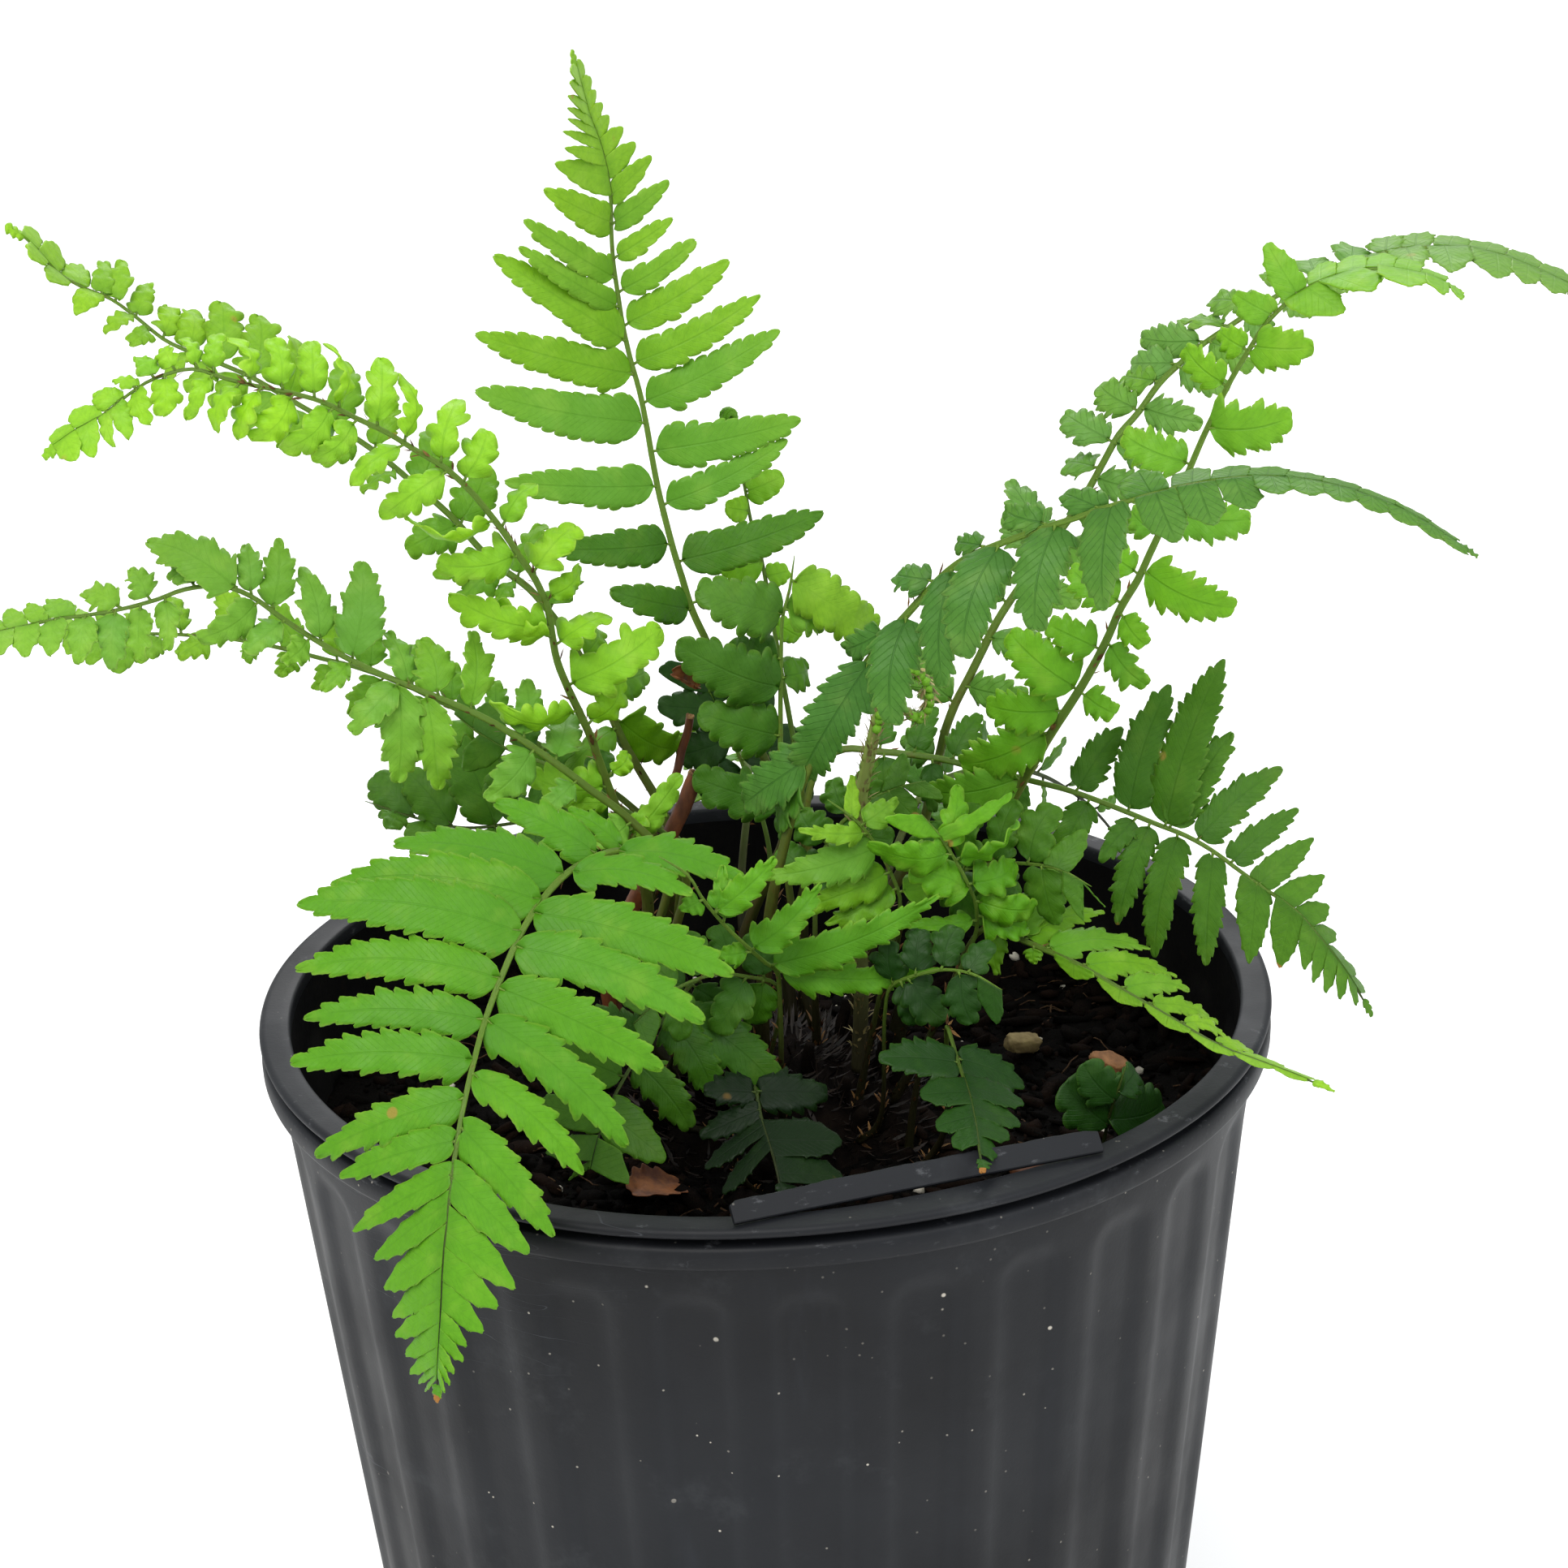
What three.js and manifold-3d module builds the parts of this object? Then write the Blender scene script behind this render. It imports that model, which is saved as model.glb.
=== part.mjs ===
// Potted fern in a round fluted nursery pot. Millimetres, +Z up.
// Origin: centre of the pot's base, on the surface that the pot stands on. The plant's widest view is seen from -Y.
import * as THREE from "three";
import { mergeVertices } from "three/addons/utils/BufferGeometryUtils.js";
import Module from "manifold-3d";

// ---------------------------------------------------------------- driving dimensions
const POT_HEIGHT = 165; // resting plane to the top of the rim
const RIM_RADIUS = 82.5; // over the rounded bead
const MOUTH_RADIUS = 77.4; // inner edge of the rim's flat top
const BODY_TOP_RADIUS = 79.9; // just under the collar
const BODY_TAPER = 0.109; // radius lost per millimetre of height
const BODY_TOP_Z = 158; // where the plain band under the collar starts
const WALL = 2.7; // wall, crest of a flute to the smooth inner face
const FLUTES = 28;
const FLUTE_DEPTH = 1.0;
const FLUTE_TOP_Z = 153; // the flutes start a little under the collar
const POT_SEGMENTS = 56; // two to a flute
const DRAIN_HOLES = 8;
const DRAIN_RADIUS = 4.5;
const DRAIN_CIRCLE = 44;
const SOIL_TOP_Z = 142; // level of the potting mix round the crown
const SOIL_GAP = 0.5; // clearance between the mix and the pot
const CROWN = { x: 2, y: 0, radius: 27, foot: 139, top: 156 };
const LEAF_HALF = 0.3; // half the thickness of a leaflet's plain solid
const CONTACT_GAP = 0.3; // gap kept where two pieces touch

const group = new THREE.Group();
const wasm = await Module();
wasm.setup();

function addNode(name, geometry, colour, roughness, metalness = 0) {
  const mesh = new THREE.Mesh(
    geometry,
    new THREE.MeshStandardMaterial({ color: colour, roughness, metalness }),
  );
  mesh.name = name;
  group.add(mesh);
  return mesh;
}

function geometryOf(positions, triangles) {
  const g = new THREE.BufferGeometry();
  g.setAttribute("position", new THREE.Float32BufferAttribute(positions, 3));
  g.setIndex(triangles);
  return g;
}

// A closed mesh with shared vertices as a boolean solid, and back.
function solidOf(geometry) {
  const g = geometry.clone();
  g.deleteAttribute("normal");
  g.deleteAttribute("uv");
  const m = mergeVertices(g, 1e-4);
  return new wasm.Manifold(
    new wasm.Mesh({
      numProp: 3,
      vertProperties: new Float32Array(m.attributes.position.array),
      triVerts: new Uint32Array(m.index.array),
    }),
  );
}
function geometryFrom(solid) {
  const m = solid.getMesh();
  const p = [];
  for (let i = 0; i < m.numVert; i++)
    p.push(
      m.vertProperties[i * m.numProp],
      m.vertProperties[i * m.numProp + 1],
      m.vertProperties[i * m.numProp + 2],
    );
  return geometryOf(p, Array.from(m.triVerts));
}

// A turned solid given as rings from the axis round the outside and back to the axis.
// Each ring is a function of the angle giving [radius, z]; the two ends are points on the axis.
function ringSolid(startZ, rings, endZ, segments, cx = 0, cy = 0) {
  const p = [cx, cy, startZ];
  const t = [];
  rings.forEach((ring) => {
    for (let k = 0; k < segments; k++) {
      const a = (2 * Math.PI * k) / segments;
      const [r, z] = ring(a, k);
      p.push(cx + r * Math.cos(a), cy + r * Math.sin(a), z);
    }
  });
  const end = p.length / 3;
  p.push(cx, cy, endZ);
  const at = (i, k) => 1 + i * segments + (k % segments);
  for (let k = 0; k < segments; k++) {
    t.push(0, at(0, k + 1), at(0, k));
    t.push(end, at(rings.length - 1, k), at(rings.length - 1, k + 1));
    for (let i = 0; i + 1 < rings.length; i++) {
      t.push(at(i, k), at(i, k + 1), at(i + 1, k + 1));
      t.push(at(i, k), at(i + 1, k + 1), at(i + 1, k));
    }
  }
  return geometryOf(p, t);
}

// ---------------------------------------------------------------- pot
const bodyRadius = (z) => BODY_TOP_RADIUS - BODY_TAPER * (BODY_TOP_Z - z);
const flute = (a) => 0.5 - 0.5 * Math.cos(FLUTES * a);
const plain = (r, z) => () => [r, z];
const fluted = (z, share) => (a) => [
  bodyRadius(z) - FLUTE_DEPTH * share * flute(a),
  z,
];
const innerRadius = (z) => bodyRadius(z) - WALL;
const potOuter = [
  plain(34, 0),
  plain(36, 2.2), // shallow recess round the drain holes
  plain(52, 2.2),
  plain(54, 0),
  plain(60.4, 0), // resting ring
  plain(bodyRadius(4), 4),
  fluted(12, 1),
  fluted(80, 1),
  fluted(FLUTE_TOP_Z - 3, 1),
  plain(bodyRadius(FLUTE_TOP_Z), FLUTE_TOP_Z), // the flutes run out in rounded tops
  plain(BODY_TOP_RADIUS, BODY_TOP_Z),
  plain(RIM_RADIUS - 0.3, 158.2), // collar
  plain(RIM_RADIUS - 0.2, 161.6),
  plain(79.6, 162.0),
  plain(79.6, 163.2), // groove under the lip
  plain(RIM_RADIUS - 0.1, 163.5),
  plain(RIM_RADIUS, 164.4),
  plain(RIM_RADIUS - 0.9, POT_HEIGHT),
];
const potInner = [
  plain(MOUTH_RADIUS, POT_HEIGHT),
  plain(innerRadius(156) + 0.3, 156),
  plain(innerRadius(80), 80),
  plain(innerRadius(6), 6),
  plain(innerRadius(6) - 2, 4.2),
];
let pot = solidOf(
  ringSolid(0, [...potOuter, ...potInner], 4.2, POT_SEGMENTS),
);
for (let k = 0; k < DRAIN_HOLES; k++) {
  const hole = new THREE.CylinderGeometry(DRAIN_RADIUS, DRAIN_RADIUS, 8, 10);
  hole.rotateX(Math.PI / 2);
  const a = (2 * Math.PI * (k + 0.5)) / DRAIN_HOLES;
  hole.translate(DRAIN_CIRCLE * Math.cos(a), DRAIN_CIRCLE * Math.sin(a), 3);
  pot = pot.subtract(solidOf(hole));
}
addNode("pot", geometryFrom(pot), 0x3b4047, 0.5);

// ---------------------------------------------------------------- potting mix, one body filling the pot, with a flat seat for the crown
const lump = (a, k, size) =>
  size * (Math.sin(3 * a + 0.7) * 0.6 + Math.sin(7 * a + k) * 0.4);
addNode(
  "potting_mix",
  ringSolid(
    4.6,
    [
      plain(innerRadius(6) - 3, 4.6),
      plain(innerRadius(6) - SOIL_GAP - 0.1, 6.4),
      plain(innerRadius(80) - SOIL_GAP, 80),
      plain(innerRadius(SOIL_TOP_Z - 2) - SOIL_GAP, SOIL_TOP_Z - 2.4),
      (a, k) => [69, SOIL_TOP_Z + lump(a, 1, 0.9)],
      (a, k) => [56, SOIL_TOP_Z - 0.6 + lump(a + 1, 2, 1.1)],
      (a, k) => [43, SOIL_TOP_Z - 0.2 + lump(a + 2, 3, 0.9)],
      (a, k) => [CROWN.radius + 4.5, SOIL_TOP_Z - 0.2],
      (a, k) => [CROWN.radius + 3.0, CROWN.foot - CONTACT_GAP],
    ],
    CROWN.foot - CONTACT_GAP,
    36,
  ),
  0x231c17,
  0.95,
);

// ---------------------------------------------------------------- crown: the short rhizome that the fronds grow from
const crownAt = (x, y) => {
  const r = Math.hypot(x - CROWN.x, y - CROWN.y) / CROWN.radius;
  return CROWN.top - (CROWN.top - CROWN.foot) * r * r;
};
addNode(
  "crown_rhizome",
  ringSolid(
    CROWN.foot,
    [1, 0.82, 0.6, 0.3].map((s, i) => (a, k) => {
      const r = CROWN.radius * s * (1 - 0.03 * ((k * 7 + i * 3) % 3));
      return [r, CROWN.top - (CROWN.top - CROWN.foot) * s * s - (i ? 0.5 : 0)];
    }),
    CROWN.top - 0.6,
    20,
    CROWN.x,
    CROWN.y,
  ),
  0x3a2a1c,
  0.9,
);

// ---------------------------------------------------------------- fronds
// spine: points from the crown to the tip. leaflets: [distance along the spine, tip x, y, z, width, arch, side, roll in degrees].
const vec = (a) => new THREE.Vector3(a[0], a[1], a[2]);
function spineFrames(spine) {
  const pts = spine.map(vec);
  const run = [0];
  for (let i = 1; i < pts.length; i++)
    run.push(run[i - 1] + pts[i].distanceTo(pts[i - 1]));
  const length = run[run.length - 1];
  const at = (s) => {
    let i = 1;
    while (i < pts.length - 1 && run[i] < s) i++;
    const f = (s - run[i - 1]) / (run[i] - run[i - 1]);
    return pts[i - 1].clone().lerp(pts[i], Math.min(1, Math.max(0, f)));
  };
  const tangent = (s) =>
    at(Math.min(length, s + 2.5))
      .sub(at(Math.max(0, s - 2.5)))
      .normalize();
  return { at, tangent, length };
}

const FROND_TIP_ZONE = 6.0; // leaflets shorter than this near the tip are drawn as one tapering blade
function frondGeometry({ r0, spine, leaflets }) {
  const { at, tangent, length } = spineFrames(spine);
  const base = leaflets.map(([s, x, y, z, w, arch, side, roll]) => {
    const b = at(s);
    const tip = new THREE.Vector3(x, y, z);
    return { s, b, tip, w, arch, side, roll, dir: tip.clone().sub(b) };
  });
  // sideways direction along the spine, from the leaflets around it
  const sideways = (s) => {
    const v = new THREE.Vector3();
    base.forEach((l) => {
      const k = Math.exp(-((l.s - s) ** 2) / (2 * 14 * 14)) + 1e-6;
      v.addScaledVector(l.dir.clone().normalize(), k * l.side);
    });
    const t = tangent(s);
    v.addScaledVector(t, -v.dot(t));
    return v.normalize();
  };
  const half = (s) => 0.3 + (r0 - 0.3) * Math.pow(1 - s / length, 0.9);
  const big = base.filter((l) => l.dir.length() >= FROND_TIP_ZONE);
  const lastBig = Math.max(...big.map((l) => l.s));
  const used = base.filter((l) => l.s <= lastBig + 0.5 && l.dir.length() > 3);
  const tipZone = base.filter((l) => l.s > lastBig + 0.5);

  // where each leaflet sits on its edge of the spine
  const spans = [];
  [1, -1].forEach((side) => {
    const row = used.filter((l) => l.side === side).sort((a, b) => a.s - b.s);
    row.forEach((l, i) => {
      const gapTo = (o) => (o ? Math.abs(o.s - l.s) : 9);
      const room = Math.min(gapTo(row[i - 1]), gapTo(row[i + 1]));
      if (room < 0.9) return;
      const h = Math.min(0.3 * l.w, 0.42 * room, 1.6);
      spans.push({ ...l, lo: l.s - h, hi: l.s + h, room });
    });
  });
  let stations = [0, ...spans.flatMap((l) => [l.lo, l.hi]), length];
  const plainEnd = Math.min(...spans.map((l) => l.lo));
  for (let s = 9; s < plainEnd - 5; s += 9) stations.push(s);
  tipZone.forEach((l, i) => i % 2 === 0 && stations.push(l.s));
  stations = stations
    .filter((s) => s >= 0 && s <= length)
    .sort((a, b) => a - b)
    .filter((s, i, all) => i === 0 || s - all[i - 1] > 0.02);
  // snap stations that lie close together
  const snapped = [stations[0]];
  for (const s of stations.slice(1)) {
    if (s - snapped[snapped.length - 1] < 1.3) {
      if (snapped.length > 1) continue;
    } else snapped.push(s);
  }
  if (length - snapped[snapped.length - 1] < 1.3) snapped.pop();
  if (snapped[snapped.length - 1] !== length) snapped.push(length);
  const nearest = (s) => {
    let best = 0;
    snapped.forEach((v, i) => {
      if (Math.abs(v - s) < Math.abs(snapped[best] - s)) best = i;
    });
    return best;
  };

  const p = [];
  const t = [];
  const push = (v) => p.push(v.x, v.y, v.z) / 3 - 1;
  const rows = snapped.map((s, i) => {
    const c = at(s);
    const S = sideways(s);
    const N = S.clone().cross(tangent(s)).normalize();
    let w = half(s);
    if (s > lastBig + 1 && tipZone.length && i < snapped.length - 1) {
      const near = tipZone.reduce((a, b) =>
        Math.abs(b.s - s) < Math.abs(a.s - s) ? b : a,
      );
      w = Math.max(w, 0.5 * near.dir.length());
    }
    if (i === snapped.length - 1) w = 0.35;
    const h = Math.max(LEAF_HALF, half(s) * 0.85);
    const corner = (a, b) =>
      push(c.clone().addScaledVector(S, a * w).addScaledVector(N, b * h));
    return {
      s, c, S, N, w, h,
      rt: corner(1, 1), rb: corner(1, -1), lt: corner(-1, 1), lb: corner(-1, -1),
    };
  });
  const quad = (a, b, c, d) => t.push(a, b, c, a, c, d);
  for (let i = 0; i + 1 < rows.length; i++) {
    const a = rows[i], b = rows[i + 1];
    quad(a.lt, a.rt, b.rt, b.lt); // upper face
    quad(a.rb, a.lb, b.lb, b.rb); // lower face
  }
  const f = rows[0], e = rows[rows.length - 1];
  quad(f.lb, f.rb, f.rt, f.lt);
  quad(e.rb, e.lb, e.lt, e.rt);

  const taken = { 1: new Set(), "-1": new Set() };
  spans.forEach((l) => {
    let i0 = nearest(l.lo), i1 = nearest(l.hi);
    if (i1 <= i0) i1 = Math.min(rows.length - 1, i0 + 1);
    if (i1 <= i0) return;
    for (let i = i0; i < i1; i++) if (taken[l.side].has(i)) return;
    for (let i = i0; i < i1; i++) taken[l.side].add(i);
    const mid = rows[i0].c.clone().add(rows[i1].c).multiplyScalar(0.5);
    const dir = l.tip.clone().sub(mid);
    const len = dir.length();
    const M = dir.normalize();
    const W = tangent(l.s);
    W.addScaledVector(M, -W.dot(M)).normalize();
    W.applyAxisAngle(M, (l.roll * Math.PI) / 180);
    const N = M.clone().cross(W).normalize().multiplyScalar(l.side);
    const w = 0.5 * Math.min(l.w, 0.86 * l.room + 0.6);
    const outline = len > 16
      ? [[0.3, -1], [0.68, -0.74], [1, 0], [0.68, 0.74], [0.3, 1]]
      : [[0.42, -1], [1, 0], [0.42, 1]];
    const top = [], bottom = [];
    outline.forEach(([u, k]) => {
      const c = mid.clone()
        .addScaledVector(M, u * len)
        .addScaledVector(W, k * w)
        .addScaledVector(N, l.arch * len * 2.4 * u * (1 - u));
      top.push(push(c.clone().addScaledVector(N, LEAF_HALF)));
      bottom.push(push(c.clone().addScaledVector(N, -LEAF_HALF)));
    });
    // the leaflet's edge, starting on the spine at its lower end
    const edge = [];
    for (let i = i1; i >= i0; i--)
      edge.push(l.side > 0 ? [rows[i].rt, rows[i].rb] : [rows[i].lt, rows[i].lb]);
    const loop = [...top.map((v, i) => [v, bottom[i]]), ...edge];
    const nOuter = top.length, nAll = loop.length;
    const face = (a, b, c) => {
      const [x, y, z] = [loop[a], loop[b], loop[c]];
      if (l.side > 0) t.push(x[0], y[0], z[0], z[1], y[1], x[1]);
      else t.push(z[0], y[0], x[0], x[1], y[1], z[1]);
    };
    // zip the outline to the base from the two shoulders to the tip
    const lowSide = [nAll - 1, ...Array.from({ length: (nOuter - 1) / 2 }, (_, i) => i)];
    const highSide = [nOuter, ...Array.from({ length: (nOuter - 1) / 2 }, (_, i) => nOuter - 1 - i)];
    for (let i = nOuter + 1; i < nAll - 1; i++) face(nOuter, i, i + 1);
    for (let i = 0; i + 1 < lowSide.length; i++) {
      face(lowSide[i], lowSide[i + 1], highSide[i + 1]);
      face(lowSide[i], highSide[i + 1], highSide[i]);
    }
    const tipIndex = (nOuter - 1) / 2;
    face(lowSide[lowSide.length - 1], tipIndex, highSide[highSide.length - 1]);
    // side walls, all round except on the spine
    for (let i = 0; i < nOuter + 1; i++) {
      const a = loop[(i + nAll - 1) % nAll], b = loop[i % nAll];
      if (l.side > 0) t.push(a[0], a[1], b[1], a[0], b[1], b[0]);
      else t.push(b[0], b[1], a[1], b[0], a[1], a[0]);
    }
  });
  for (let i = 0; i + 1 < rows.length; i++) {
    const a = rows[i], b = rows[i + 1];
    if (!taken[1].has(i)) quad(a.rt, a.rb, b.rb, b.rt);
    if (!taken[-1].has(i)) quad(a.lb, a.lt, b.lt, b.lb);
  }
  return geometryOf(p, t);
}

// A closed round tube along points, with its own radius at each point.
function tubeSolid(points, radii, sides = 8) {
  const pts = points.map(vec);
  const p = [];
  const t = [];
  let S = new THREE.Vector3(1, 0, 0);
  pts.forEach((c, i) => {
    const T = pts[Math.min(i + 1, pts.length - 1)]
      .clone()
      .sub(pts[Math.max(i - 1, 0)])
      .normalize();
    S.addScaledVector(T, -S.dot(T));
    if (S.length() < 0.1) S.set(0, 1, 0).addScaledVector(T, -T.y);
    S.normalize();
    const B = T.clone().cross(S);
    for (let k = 0; k < sides; k++) {
      const a = (2 * Math.PI * k) / sides;
      const v = c
        .clone()
        .addScaledVector(S, radii[i] * Math.cos(a))
        .addScaledVector(B, radii[i] * Math.sin(a));
      p.push(v.x, v.y, v.z);
    }
  });
  const n = pts.length;
  const a0 = p.push(...pts[0].toArray()) / 3 - 1;
  const a1 = p.push(...pts[n - 1].toArray()) / 3 - 1;
  for (let k = 0; k < sides; k++) {
    const k1 = (k + 1) % sides;
    t.push(a0, k1, k, a1, (n - 1) * sides + k, (n - 1) * sides + k1);
    for (let i = 0; i + 1 < n; i++) {
      const a = i * sides + k, b = i * sides + k1;
      t.push(a, b, b + sides, a, b + sides, a + sides);
    }
  }
  return geometryOf(p, t);
}

const FRONDS = [
  {
    name: "frond_tall_centre", r0: 1.35, colour: 0x5f9a2e,
    spine: [
      [-2, 14, 151.6], [-3, 14, 156.3], [-3.9, 14, 161.8], [-3.6, 14, 166.6], [-1.9, 14.2, 171.9],
      [0.1, 14.4, 176.2], [2.4, 14.7, 181.3], [4, 15, 185.8], [4, 15.4, 191.4], [2.4, 15.7, 195.9],
      [0.3, 16, 201.1], [-1, 16, 205.7], [-3.4, 16.5, 210.7], [-5.8, 17.3, 214.8], [-7.9, 18, 219.9],
      [-9.7, 19, 224.1], [-11.1, 19.6, 229.5], [-12.3, 20.3, 234.1], [-13.5, 21.4, 239.5], [-14.4, 22.3, 244.1],
      [-15.2, 23.2, 249.6], [-15.8, 23.9, 254.3], [-16.7, 24.9, 259.7], [-17.8, 25.5, 264.3], [-18.8, 26.1, 269.8],
      [-19.3, 26, 274.6], [-19.8, 26, 280.1], [-19.9, 26, 284.9], [-19.7, 25.3, 290.5], [-20, 24.6, 295.2],
      [-21, 23.5, 300.6], [-22.2, 21.9, 304.9], [-23.3, 20.8, 310.3], [-24.2, 20, 315],
    ],
    leaflets: [
      [77.6, -22.4, 10, 231, 7.9, 0.1, -1, 1], [78.4, -6.1, 23.1, 224.8, 3.7, 0.1, 1, -8], [85.6, 12, 23.9, 238.3, 8.5, 0.1, 1, -9],
      [88.8, -31.1, 11.4, 237.9, 7.4, 0.1, -1, 6], [95.2, 6.6, 25.7, 250.1, 7.9, 0.1, 1, -8], [98.4, -38.2, 13.3, 248.8, 8.8, 0.1, -1, 7],
      [104, 8.9, 27.2, 253, 8.4, 0.1, 1, -9], [108.8, -42, 14.9, 263.4, 9.7, 0.1, -1, 6], [112, 6, 28.5, 267.6, 8.5, 0.1, 1, -9],
      [116.8, -41.5, 16, 272.3, 9.3, 0.1, -1, 5], [118.4, 3.1, 29.3, 273.3, 8, 0.1, 1, -9], [122.4, -38, 17, 284.6, 8.8, 0.1, -1, 2],
      [124.8, -1.7, 30.1, 278.9, 7.1, 0.1, 1, -12], [128, -33.9, 17, 285.8, 6, 0.1, -1, 4], [130.4, -6.9, 30, 282.4, 5.7, 0.1, 1, -13],
      [132.8, -33, 17, 289.9, 7.2, 0.1, -1, 4], [136, -10.3, 30, 286.1, 4.7, 0.1, 1, -14], [141.91, -29.6, 17.1, 294.8, 6.4, 0.1, -1, 2],
      [141.6, -10.6, 29.9, 292.3, 5.3, 0.1, 1, -17], [149.65, -27.7, 16.6, 298.9, 6.5, 0.1, -1, 4], [146.4, -13.1, 29.1, 296.5, 4.6, 0.1, 1, -19],
      [153.15, -26, 15.7, 301.5, 6.2, 0.1, -1, 5], [151.2, -15.5, 28.5, 298.9, 4.1, 0.1, 1, -18], [155.01, -26.1, 15.3, 304.2, 6.1, 0.1, -1, 4],
      [154.4, -17.3, 28, 301.5, 3.7, 0.1, 1, -20], [157.16, -25.2, 14.5, 306.3, 6.1, 0.1, -1, 4], [157.6, -19.4, 27, 303.7, 3.7, 0.1, 1, -21],
      [159.2, -25.1, 13.4, 308.2, 5.9, 0.1, -1, 7], [160, -20.3, 26.1, 305.9, 3.7, 0.1, 1, -22], [161.6, -24.9, 12.7, 310.2, 5.8, 0.1, -1, 9],
      [162.4, -21.2, 25.5, 308, 3.6, 0.1, 1, -23], [164, -24.5, 12.2, 312.3, 5.7, 0.1, -1, 13], [164.8, -21.8, 25.1, 310, 3.5, 0.1, 1, -23],
      [167.2, -24.3, 11.7, 314.3, 5.5, 0.1, -1, 22], [168, -22.8, 24.5, 312.2, 3.5, 0.1, 1, -24],
    ],
  },
  {
    name: "frond_young_crozier", r0: 1.1, colour: 0x86c437,
    spine: [
      [6, 17, 149.4], [6.2, 17.1, 154.2], [6.4, 17.2, 159.8], [6.6, 17.3, 165.4], [6.8, 17.3, 170.1],
      [6.9, 17.5, 174.9], [7.1, 17.7, 180.5], [7.1, 18, 186.1], [7.1, 18.6, 190.9], [6.7, 19.6, 195.5],
      [5.9, 21.7, 200.7], [5.1, 23.4, 205.9], [4.4, 24.8, 210.4], [3.8, 26.3, 215], [3.1, 28.2, 220.2],
      [2.3, 30.1, 225.4], [1.5, 31.4, 229.9], [0.3, 33.5, 234.1], [-0.5, 35, 239.4], [-1.6, 36, 244.8],
      [-2.4, 36, 249.5],
    ],
    leaflets: [
      [70.3, 7.8, 29.4, 214.9, 3.7, 0.08, 1, 1], [78.3, 6.3, 32.1, 225.6, 3.8, 0.08, 1, -10], [80.7, -5, 27.6, 228.3, 4.7, 0.08, -1, 7],
      [89.5, -3.6, 31.1, 237.2, 4.3, 0.08, -1, 4], [92.7, 5.9, 36.9, 240.5, 4.4, 0.08, 1, -11],
    ],
  },
  {
    name: "frond_broken_tip", r0: 1.2, colour: 0x2f5f24,
    spine: [
      [8, 6, 154.8], [6.8, 6.6, 160.3], [6, 7, 165], [5.3, 7.3, 170.6], [4.7, 7.6, 176.1],
      [4.2, 7.9, 181.7], [3.9, 8, 186.5], [3.7, 8, 192.1], [3.7, 8, 197.7], [3.8, 8.5, 203.3],
      [4, 9.2, 208.1], [4.2, 9.8, 213.6], [4.5, 10.7, 219.2], [4.9, 11.7, 224.7], [6.2, 12.9, 229.1],
      [7.2, 14, 234.5],
    ],
    leaflets: [
      [40.1, -9.3, 3, 201.2, 7.8, 0.08, -1, 13], [51.3, -8.6, 3.9, 211.8, 8.1, 0.08, -1, 10], [59.3, -11, 3.8, 223.4, 9.1, 0.12, -1, 9],
      [60.9, 9.5, 16.1, 214.4, 5.7, 0.1, 1, -20], [64.1, -4.6, 14.5, 218.7, 5.9, 0.12, -1, 14], [71.3, -7.5, 5.9, 232.1, 8.9, 0.12, -1, 9],
      [72.1, 12.7, 18.1, 222.1, 5.4, 0.1, 1, -12], [76.9, 21.5, 19.3, 219.3, 9.7, 0.1, 1, -7],
    ],
  },
  {
    name: "frond_upper_left_back", r0: 1.4, colour: 0x5f9a2e,
    spine: [
      [-10, 16, 147.2], [-11.7, 16.3, 151.6], [-13.7, 16.7, 156.9], [-15, 16.9, 161.5], [-15.8, 16.9, 167],
      [-15.6, 16.7, 171.8], [-15.1, 16.4, 177.4], [-14.6, 16.1, 182.2], [-15, 16.2, 187], [-16.9, 16.8, 192.2],
      [-19.1, 17.3, 196.4], [-21.7, 18.1, 201.4], [-23.5, 18.9, 205.8], [-25.6, 20, 210.8], [-27.8, 20.8, 215],
      [-30.1, 21.6, 219.1], [-33.3, 22.7, 223.7], [-36.3, 23.8, 227.2], [-40.7, 25.4, 230.3], [-44.1, 26.7, 233.4],
      [-47.6, 27.9, 237.6], [-51, 28.9, 240.9], [-55.1, 30, 244.5], [-58.6, 30.6, 247.7], [-62.4, 31.2, 250.7],
      [-67, 31.9, 253.8], [-71.1, 32.6, 256.2], [-75.8, 33.4, 259.1], [-79.9, 34.2, 261.5], [-85, 34.9, 263.8],
      [-89.4, 35.5, 265.6], [-93.6, 36.2, 267.7], [-97.8, 37, 271.3], [-101.5, 37, 274.4], [-106.2, 35.7, 277.2],
      [-109.6, 34.5, 280.2], [-112.3, 32.6, 284.8], [-115.1, 31, 288.3],
    ],
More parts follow.
